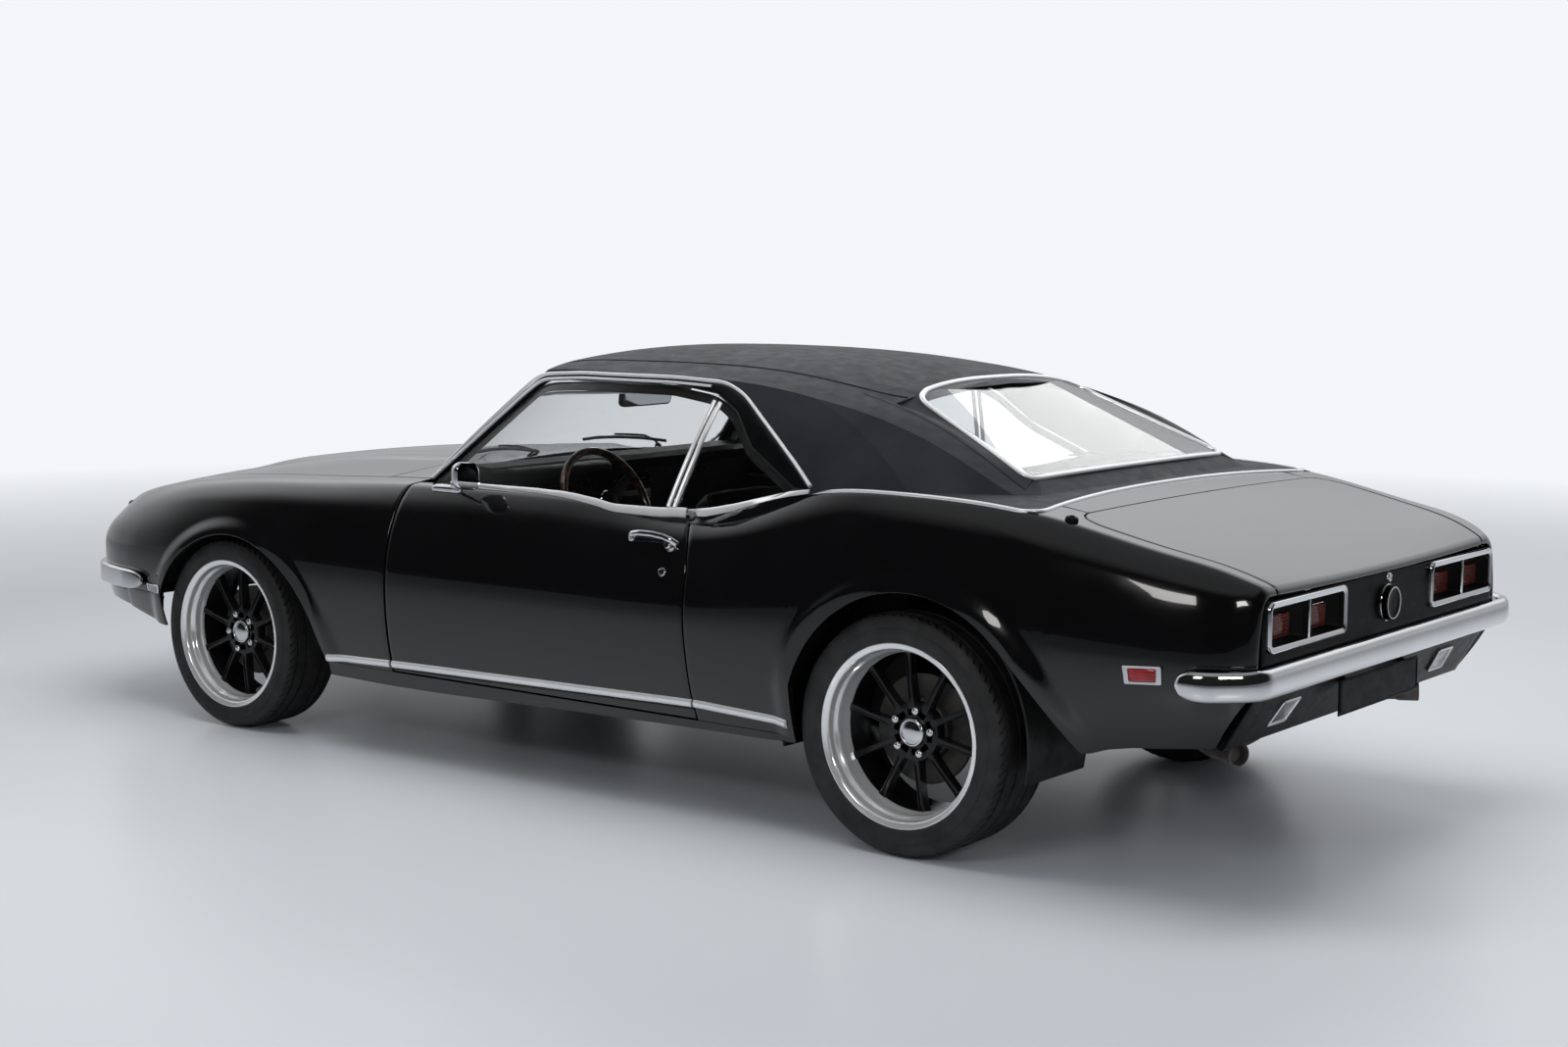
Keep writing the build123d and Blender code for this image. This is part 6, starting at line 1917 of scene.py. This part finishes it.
def stuffed(name, part, matrix, nodes, cap, voxel, channels):
    """Cushion blown up as cloth inside a cap, with sewn channels pressed in along its length afterwards."""
    piece = place(name, *part, "seat", stands_for=nodes, slot="seat_vinyl")
    step = piece.modifiers.new("even", "REMESH")
    step.mode = "VOXEL"
    step.voxel_size = voxel
    settle(piece)
    before = [v.co.copy() for v in piece.data.vertices]
    cloth = piece.modifiers.new("fabric", "CLOTH")
    cloth.settings.use_pressure = True
    cloth.settings.uniform_pressure_force = 4.0
    cloth.settings.effector_weights.gravity = 0.0
    cloth.settings.quality = 4
    cloth.settings.tension_stiffness = 12
    cloth.settings.compression_stiffness = 12
    cloth.point_cache.frame_start, cloth.point_cache.frame_end = 1, 20
    for moment in range(1, 21):
        scene.frame_set(moment)
    settle(piece)
    for v, start in zip(piece.data.vertices, before):
        move = v.co - start
        if move.length > cap:
            v.co = start + move * (cap / move.length)
    scene.frame_set(1)
    step = piece.modifiers.new("round", "SUBSURF")
    step.levels = 1
    settle(piece)
    reach = max(abs(v[0]) for v in part[0]) * 0.84
    for v in piece.data.vertices:
        if v.co.z > 0:
            near = min(abs(v.co.y - c) for c in channels)
            edge = max(0.0, 1 - abs(v.co.x) / reach)
            v.co.z -= 0.005 * math.exp(-(near / 0.006) ** 2) * min(1.0, edge * 6)
    piece.data.transform(matrix)
    piece.data.shade_smooth()
    tidy_normals(piece)
    return piece


def settle(piece):
    """Applies whatever modifiers the piece carries."""
    graph = bpy.context.evaluated_depsgraph_get()
    fresh = bpy.data.meshes.new_from_object(piece.evaluated_get(graph))
    piece.modifiers.clear()
    old = piece.data
    piece.data = fresh
    if not piece.data.materials:
        piece.data.materials.append(MAT["seat"])
    bpy.data.meshes.remove(old)


def copied(piece, name, nodes):
    """The same cushion on the other side of the car."""
    verts = [(v.co.x, -v.co.y, v.co.z) for v in piece.data.vertices]
    faces = [tuple(reversed(f.vertices)) for f in piece.data.polygons]
    other = place(name, verts, faces, "seat", stands_for=nodes, slot="seat_vinyl")


def laid(x, y, z, pitch):
    """Place of a cushion: its middle, and its turn in degrees about the cross axis."""
    return Matrix.Translation((x, y, z)) @ Matrix.Rotation(math.radians(pitch), 4, "Y")


SEAT_Y = 0.375
pleats = [-0.15, -0.10, -0.05, 0.0, 0.05, 0.10, 0.15]
base = tapered_pad(0.465, 0.440, 0.120, -0.04)
cushion = stuffed("front_cushion_left", base, laid(-0.128, SEAT_Y, 0.362, -4.5), ["front_seat_left"], 0.010,
                  0.011, pleats)
copied(cushion, "front_cushion_right", ["front_seat_right"])
back = tapered_pad(0.520, 0.430, 0.095, 0.07)
cushion = stuffed("front_backrest_left", back, laid(-0.448, SEAT_Y, 0.640, -74.5), [], 0.009, 0.011, pleats)
copied(cushion, "front_backrest_right", [])
plinth = []
for side in (-1, 1):
    plinth.append(soft_box((-0.380, side * SEAT_Y - 0.200, 0.257), (0.060, side * SEAT_Y + 0.200, 0.304),
                           0.010, 2))
    plinth.append(turned(soft_box((-0.250, side * SEAT_Y - 0.208, -0.010),
                                  (0.255, side * SEAT_Y + 0.208, 0.010), 0.009, 3),
                         laid(-0.505, 0, 0.640, -74.5)))
solid("front_seat_shells", merge(plinth), "trim", sharp=35)
bench_pleats = [round(k * 0.075, 4) for k in range(-6, 7)]
bench = tapered_pad(0.440, 1.080, 0.130, 0.0)
stuffed("rear_cushion", bench, laid(-0.800, 0, 0.385, -4.0), ["rear_bench"], 0.010, 0.014, bench_pleats)
bench = tapered_pad(0.470, 1.060, 0.100, 0.03)
stuffed("rear_backrest", bench, laid(-1.085, 0, 0.655, -72.0), [], 0.009, 0.014, bench_pleats)
support = [soft_box((-1.000, -0.540, 0.258), (-0.615, -0.160, 0.330), 0.010, 2),
           soft_box((-1.000, 0.160, 0.258), (-0.615, 0.540, 0.330), 0.010, 2),
           turned(soft_box((-0.250, -0.545, -0.008), (0.245, 0.545, 0.008), 0.007, 2),
                  laid(-1.145, 0, 0.655, -72.0))]
solid("rear_seat_base", merge(support), "trim", sharp=35)
shelf = soft_box((-1.470, -0.590, 0.893), (-1.205, 0.590, 0.905), 0.005, 2)
solid("parcel_shelf", shelf, "carpet", sharp=35)

# Door cards with armrest, pull and winder, and the rear quarter trims.
armrest = soft_box((-0.420, 0.668, 0.560), (-0.020, 0.722, 0.604), 0.020, 4)
door_card = soft_box((-0.575, 0.723, 0.345), (0.520, 0.743, 0.800), 0.008, 3)
both_sides("door_card", merge([door_card, armrest]), "seat", "door")
hub = lathe([(-0.002, 0.017), (0.006, 0.016), (0.010, 0.010), (0.012, 0.004)], (0.180, 0.7235, 0.555),
            (0, -1, 0), 24)
crank = sweep(resample([(0.180, 0.7150, 0.555), (0.150, 0.7080, 0.505), (0.132, 0.7050, 0.470)], 10),
              circle(0.005, 10), up=(0, 1, 0))
knob = lathe([(-0.004, 0.010), (0.018, 0.011), (0.024, 0.008), (0.026, 0.003)], (0.130, 0.7060, 0.465),
             (0, -1, 0), 20)
pull = sweep(resample(rounded_path([(0.010, 0.7240, 0.660), (0.014, 0.7020, 0.662), (0.100, 0.7000, 0.668),
                                    (0.112, 0.7240, 0.670)], 0.012), 24), circle(0.006, 10, 0.7),
             up=(0, 0, 1))
peg = lathe([(-0.020, 0.0035), (0.026, 0.0035), (0.027, 0.0065), (0.034, 0.0070), (0.037, 0.0050),
             (0.038, 0.0015)], (-0.452, 0.7480, 0.852), (0, 0, 1), 16)
both_sides("door_fittings", merge([hub, crank, knob, pull, peg]), "chrome", "door")
both_sides("quarter_trim", soft_box((-1.240, 0.682, 0.330), (-0.665, 0.700, 0.800), 0.008, 3), "seat")

# Dashboard: crash pad, hooded binnacle, two large and four small dials, and a panel with knobs.
pad = sweep(resample([(0.470, -0.655, 0.905), (0.470, 0.655, 0.905)], 40),
            [(-0.095, -0.030), (-0.100, 0.000), (-0.085, 0.016), (0.0, 0.022), (0.060, 0.014), (0.066, 0.000),
             (0.066, -0.030)], up=(0, 0, 1))
lower_face = soft_box((0.402, -0.650, 0.715), (0.432, 0.650, 0.882), 0.012, 3)
binnacle = soft_box((0.330, 0.135, 0.860), (0.440, 0.605, 0.915), 0.024, 4)
solid("dash_pad", merge([pad, lower_face, binnacle]), "trim")
pods, faces_of, rings_of, hands = [], [], [], []
for y, radius, z in ((0.480, 0.066, 0.815), (0.270, 0.066, 0.815), (0.375, 0.030, 0.838),
                     (0.070, 0.026, 0.835), (0.000, 0.026, 0.835), (-0.070, 0.026, 0.835)):
    at = (0.402, y, z)
    pods.append(lathe([(-0.002, radius * 1.14), (0.026, radius * 1.10), (0.028, radius * 1.04),
                       (0.026, radius), (0.006, radius * 0.97)], at, (-1, 0, 0), 48, closed=False))
    faces_of.append(lathe([(0.000, radius), (0.006, radius), (0.0062, radius * 0.2)], at, (-1, 0, 0), 48))
    rings_of.append(lathe([(0.0240, radius * 1.05), (0.0285, radius * 1.04), (0.0285, radius * 0.985),
                           (0.0240, radius * 0.98)], at, (-1, 0, 0), 48, closed=False))
    for k in range(9):
        t = math.radians(-120 + 30 * k)
        mark = soft_box((-0.0070, -0.0008, radius * 0.74), (-0.0058, 0.0008, radius * 0.90), 0.0003, 1)
        hands.append(turned(mark, Matrix.Translation(at) @ Matrix.Rotation(t, 4, "X")))
    hands.append(turned(soft_box((-0.0078, -0.0010, 0.0), (-0.0070, 0.0010, radius * 0.70), 0.0003, 1),
                        Matrix.Translation(at) @ Matrix.Rotation(math.radians(75), 4, "X")))
solid("gauge_pods", merge(pods), "trim")
solid("gauge_faces", merge(faces_of), "dial")
solid("gauge_rings", merge(rings_of), "chrome")
solid("gauge_marks", merge(hands), "white")
facia = soft_box((0.392, -0.118, 0.730), (0.404, 0.122, 0.800), 0.003, 2)
solid("facia_panels", facia, "exhaust")
knobs = []
for y, z in ((0.095, 0.762), (-0.095, 0.762), (0.060, 0.738), (-0.060, 0.738)):
    knobs.append(lathe([(-0.002, 0.0095), (0.014, 0.0090), (0.017, 0.0065), (0.0175, 0.002)], (0.392, y, z),
                       (-1, 0, 0), 24))
knobs.append(soft_box((0.3885, -0.070, 0.750), (0.3935, 0.070, 0.782), 0.002, 2))
knobs.append(lathe([(-0.002, 0.011), (0.008, 0.0105), (0.010, 0.008), (0.0105, 0.003)],
                   (0.392, -0.405, 0.850), (-1, 0, 0), 24))
solid("facia_knobs", merge(knobs), "trim")
console = soft_box((-0.260, -0.095, 0.436), (0.330, 0.095, 0.500), 0.022, 4)
solid("console", console, "trim")
lever = [sweep(resample(rounded_path([(0.060, 0, 0.498), (0.050, 0, 0.560), (0.020, 0, 0.640)], 0.04), 14),
               circle(0.006, 12), up=(0, 1, 0)),
         lathe([(-0.004, 0.034), (0.003, 0.032), (0.005, 0.024), (0.006, 0.008)], (0.060, 0, 0.500),
               (0, 0, 1), 28)]
solid("shift_lever", merge(lever), "chrome")
solid("shift_knob", lathe([(-0.026, 0.009), (-0.018, 0.016), (-0.004, 0.0215), (0.008, 0.0205),
                           (0.018, 0.014), (0.022, 0.004)], (0.015, 0, 0.655), (-0.35, 0, 1), 28), "trim",
      sharp=60)
mats = [soft_box((-0.360, low, 0.2565), (0.560, high, 0.2640), 0.003, 2)
        for low, high in ((-0.600, -0.165), (0.165, 0.600))]
solid("floor_carpet", merge(mats), "carpet")

# Steering wheel: wooden rim with finger grips, three flat spokes and a plain boss.
WHEEL_AT = Vector((0.150, 0.370, 0.800))
WHEEL_AXIS = Vector((-0.9063, 0, 0.4226)).normalized()
across = Vector((0, 1, 0))
upwards = WHEEL_AXIS.cross(across).normalized()
if upwards.z < 0:
    upwards = -upwards


def at_wheel(a, b, c):
    """Point of the steering wheel: across, up in its plane, and out along its axis."""
    return WHEEL_AT + across * a + upwards * b + WHEEL_AXIS * c


RIM_R = 0.182
rim_path = [at_wheel(RIM_R * math.cos(t), RIM_R * math.sin(t), 0)
            for t in np.linspace(0, 2 * math.pi, 145)[:-1]]
grips = np.array([1 + 0.05 * max(0.0, math.sin(k * 2 * math.pi / 144 * 30)) for k in range(144)])
rim = sweep([tuple(p) for p in rim_path], circle(0.0122, 16), up=tuple(WHEEL_AXIS), closed=True, scale=grips)
solid("steering_rim", rim, "wood", "steering_wheel", stands_for=["steering_wheel"], slot="wheel_wood",
      sharp=60)
spokes = []
for start in (270, 150, 30):
    t = math.radians(start)
    way = (math.cos(t), math.sin(t))
    side = (-way[1], way[0])
    ring = []
    for r, half, c in ((0.034, 0.022, 0.010), (0.090, 0.017, 0.004), (0.150, 0.015, 0.0),
                       (0.176, 0.017, 0.0)):
        edge = [(half, -0.0018), (half, 0.0012), (half - 0.002, 0.0020)]
        outline_of = [(-u, d) for u, d in edge] + edge[::-1]
        ring.append([at_wheel(way[0] * r + side[0] * u, way[1] * r + side[1] * u, c + d)
                     for u, d in outline_of])
    spokes.append(layered([[tuple(q) for q in r] for r in ring]))
solid("steering_spokes", merge(spokes), "trim", "steering_wheel")
boss_part = lathe([(-0.030, 0.036), (-0.010, 0.040), (0.012, 0.040), (0.020, 0.034), (0.024, 0.022),
                   (0.025, 0.006)], WHEEL_AT, WHEEL_AXIS, 40)
solid("steering_boss", boss_part, "trim", "steering_wheel")
solid("steering_ring", lathe([(0.0100, 0.0400), (0.0150, 0.0425), (0.0190, 0.0400), (0.0170, 0.0365)],
                             WHEEL_AT, WHEEL_AXIS, 40, closed=False), "chrome", "steering_wheel", sharp=50)
stalk_root = WHEEL_AT - WHEEL_AXIS * 0.075
stalk_ends = [stalk_root + across * 0.020, stalk_root + across * 0.150 + WHEEL_AXIS * 0.020]
stalk = sweep(resample(stalk_ends, 10), circle(0.004, 10), up=(0, 0, 1))
solid("signal_stalk", stalk, "chrome", sharp=50)

# Rear-view mirror on its stem.
MIRROR_AT = Vector((0.318, 0.0, 1.116))
tilt = Matrix.Translation(MIRROR_AT) @ Matrix.Rotation(math.radians(-6), 4, "Y")
HEAD_STEPS = [(-0.010, 0.97), (-0.012, 0.985), (-0.010, 1.0), (0.004, 1.0), (0.012, 0.90), (0.015, 0.6)]
head_rings = [[(x, a * g, b * g) for a, b in rounded_loop(0.250, 0.056, 0.020)] for x, g in HEAD_STEPS]
solid("cabin_mirror", turned(layered(head_rings), tilt), "trim")
face_rings = [[(x, a, b) for a, b in rounded_loop(0.240, 0.046, 0.016)] for x in (-0.0115, -0.0128)]
solid("cabin_mirror_glass", turned(layered(face_rings), tilt), "mirror")
found, facing = cast(tree_of("windscreen"), [(0.325, 0.0, 1.165)], (1, 0, 0))
top_end = found[0] + np.array([-0.004, 0, 0]) if len(found) else np.array([0.36, 0, 1.165])
stem = sweep(resample([tuple(MIRROR_AT + Vector((0.010, 0, 0.004))),
                       (MIRROR_AT.x + 0.022, 0, MIRROR_AT.z + 0.030), tuple(top_end)], 12),
             circle(0.0055, 12), up=(0, 1, 0))
solid("cabin_mirror_stem", stem, "chrome", sharp=50)

# ---------------------------------------------------------------- floor, light and camera

FLOOR_COLOUR = (0.60, 0.635, 0.68)
WHITE = (0.90, 0.92, 0.95)


def maths(tree, operation, first, second, clamp=False):
    """Socket that combines two sockets."""
    node = tree.nodes.new("ShaderNodeMath")
    node.operation = operation
    node.use_clamp = clamp
    tree.links.new(first, node.inputs[0])
    tree.links.new(second, node.inputs[1])
    return node.outputs[0]


def seen_directly(tree):
    """1 for rays from the camera, or through glass, that have not bounced before; 0 for the others."""
    rays = tree.nodes.new("ShaderNodeLightPath").outputs
    direct = maths(tree, "MAXIMUM", rays["Is Camera Ray"], rays["Is Transmission Ray"])
    bounced = maths(tree, "ADD", rays["Diffuse Depth"], rays["Glossy Depth"], True)
    return maths(tree, "SUBTRACT", direct, bounced, True)


def floor_material():
    """Pale polished floor that fades into the white background far from the object."""
    m = Nodes("floor")
    m.tint(m.noise(0.5, 4.0), tuple(c * 0.95 for c in FLOOR_COLOUR), FLOOR_COLOUR, 0.2, 0.8)
    m.roughness(m.noise(0.7, 4.0), 0.26, 0.34, 0.2, 0.8)
    m.bump(m.noise(30.0, 4.0), 0.03, 0.001)
    output = m.tree.nodes["Material Output"]
    distance = m.add("ShaderNodeVectorMath", operation="LENGTH")
    m.link(m.coords, distance.inputs[0])
    far = m.spread(distance.outputs["Value"], 0.0, 1.0, 4.5, 11.0)
    mix = m.add("ShaderNodeMixShader")
    white = m.add("ShaderNodeEmission")
    white.inputs["Color"].default_value = (*WHITE, 1)
    m.link(maths(m.tree, "MULTIPLY", far, seen_directly(m.tree)), mix.inputs[0])
    m.link(m.shader.outputs[0], mix.inputs[1])
    m.link(white.outputs[0], mix.inputs[2])
    m.link(mix.outputs[0], output.inputs["Surface"])
    return m.material


MAT["floor"] = floor_material()
data = bpy.data.meshes.new("floor")
data.from_pydata([(x, y, 0) for x, y in circle(60.0, 96)], [], [tuple(range(96))])
data.materials.append(MAT["floor"])
floor = bpy.data.objects.new("floor", data)
scene.collection.objects.link(floor)
floor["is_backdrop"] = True

world = bpy.data.worlds.new("studio")
scene.world = world
world.use_nodes = True
tree = world.node_tree
tree.nodes.clear()


def stepped(source, near, far, low, high, kind="SMOOTHSTEP"):
    """Socket that goes from low to high while the source goes from near to far."""
    node = tree.nodes.new("ShaderNodeMapRange")
    node.interpolation_type = kind
    for socket, value in zip(("From Min", "From Max", "To Min", "To Max"), (near, far, low, high)):
        node.inputs[socket].default_value = value
    tree.links.new(source, node.inputs["Value"])
    return node.outputs["Result"]


def background(colour, strength):
    """Even light from all round."""
    node = tree.nodes.new("ShaderNodeBackground")
    node.inputs["Color"].default_value = (*colour, 1)
    node.inputs["Strength"].default_value = strength
    return node


def blend(share, first, second):
    """First background where the share is 0, second where it is 1."""
    node = tree.nodes.new("ShaderNodeMixShader")
    tree.links.new(share, node.inputs[0])
    tree.links.new(first.outputs[0], node.inputs[1])
    tree.links.new(second.outputs[0], node.inputs[2])
    return node


# The room that the car mirrors: one bright wall beyond the car, dimmer low down and overhead.
BACKDROP_WAY = (0.612, -0.791, 0.0)  # side of the room that the camera faces
coords = tree.nodes.new("ShaderNodeTexCoord").outputs["Generated"]
facing = tree.nodes.new("ShaderNodeVectorMath")
facing.operation = "DOT_PRODUCT"
facing.inputs[1].default_value = BACKDROP_WAY
tree.links.new(coords, facing.inputs[0])
split = tree.nodes.new("ShaderNodeSeparateXYZ")
tree.links.new(coords, split.inputs[0])
height = split.outputs["Z"]
wall = stepped(facing.outputs["Value"], 0.05, 0.45, 0.0, 1.0)
ceiling = stepped(height, 0.58, 0.85, 1.0, 0.25)
upper = stepped(height, 0.10, 0.45, 0.44, 1.0)
zenith = stepped(height, 0.60, 0.85, 0.0, 0.30)
bright = maths(tree, "MULTIPLY", wall, maths(tree, "MULTIPLY", ceiling, upper))
room = maths(tree, "MAXIMUM", stepped(bright, 0.0, 1.0, 0.012, 1.0, "LINEAR"), zenith)
rays = tree.nodes.new("ShaderNodeLightPath").outputs
mirrored_ray = maths(tree, "ADD", rays["Is Glossy Ray"], rays["Glossy Depth"], True)
sky = background((0.96, 0.98, 1.0), 1.0)
tree.links.new(room, sky.inputs["Strength"])
glossy = blend(mirrored_ray, background((0.93, 0.96, 1.0), 0.45), sky)
final = blend(seen_directly(tree), glossy, background(WHITE, 1.0))
tree.links.new(final.outputs[0], tree.nodes.new("ShaderNodeOutputWorld").inputs["Surface"])


def softbox(name, at, target, size, power, mirrored_in_paint):
    """Rectangular lamp that points at a target."""
    lamp = bpy.data.lights.new(name, "AREA")
    lamp.shape = "RECTANGLE"
    lamp.size, lamp.size_y = size
    lamp.energy = power
    lamp.color = (1.0, 0.98, 0.95)
    item = bpy.data.objects.new(name, lamp)
    scene.collection.objects.link(item)
    item.location = at
    item.rotation_euler = (Vector(target) - Vector(at)).to_track_quat("-Z", "Y").to_euler()
    item.visible_glossy = mirrored_in_paint


softbox("overhead", (-0.6, 0.6, 4.6), (0.0, 0.0, 0.6), (5.5, 1.6), 190, False)
softbox("side_left", (-1.6, 6.5, 3.6), (0.2, 0.3, 0.6), (2.6, 0.9), 60, True)
softbox("rear_left", (-6.6, 3.0, 3.2), (-1.2, 0.2, 0.7), (1.4, 0.9), 50, True)
softbox("far_side", (1.0, -5.0, 4.0), (0.2, 0.0, 0.6), (6.0, 2.0), 140, False)

CAMERA_AT = (-4.77086, 5.81963, 1.57242)
YAW, PITCH, ROLL = math.radians(-52.2859), math.radians(-6.4697), math.radians(0.2722)
FOCAL_PX, IMAGE_W, SENSOR = 2368.07, 1600.0, 36.0
lens_data = bpy.data.cameras.new("camera")
lens_data.sensor_width = SENSOR
lens_data.lens = FOCAL_PX / IMAGE_W * SENSOR
lens_data.clip_end = 200.0
camera = bpy.data.objects.new("camera", lens_data)
scene.collection.objects.link(camera)
camera.location = CAMERA_AT
forward = Vector((math.cos(PITCH) * math.cos(YAW), math.cos(PITCH) * math.sin(YAW), math.sin(PITCH)))
right = forward.cross(Vector((0, 0, 1))).normalized()
upward = right.cross(forward)
right_rolled = right * math.cos(ROLL) + upward * math.sin(ROLL)
up_rolled = upward * math.cos(ROLL) - right * math.sin(ROLL)
camera.matrix_world = Matrix((
    (right_rolled.x, up_rolled.x, -forward.x, CAMERA_AT[0]),
    (right_rolled.y, up_rolled.y, -forward.y, CAMERA_AT[1]),
    (right_rolled.z, up_rolled.z, -forward.z, CAMERA_AT[2]),
    (0, 0, 0, 1)))
scene.camera = camera
scene.view_settings.view_transform = "Standard"

# ---------------------------------------------------------------- finishes of the loaded parts, and the bounds

CAD_FINISH = {
    "roof": "vinyl", "windscreen": "glass", "quarter_glass": "glass", "door_glass_left": "glass",
    "door_glass_right": "glass", "grille": "trim", "header_panel": "paint", "front_valance": "paint",
    "floor_pan": "chassis", "front_structure": "chassis", "front_subframe": "chassis",
    "knuckle_left": "iron", "knuckle_right": "iron", "engine": "engine", "rear_axle": "iron",
    "fuel_tank": "exhaust", "dashboard": "trim", "steering_column": "trim",
}
for node, key in CAD_FINISH.items():
    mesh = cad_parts[node].data
    mesh.materials.clear()
    mesh.materials.append(MAT[key])

bpy.context.view_layer.update()
low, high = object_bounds()
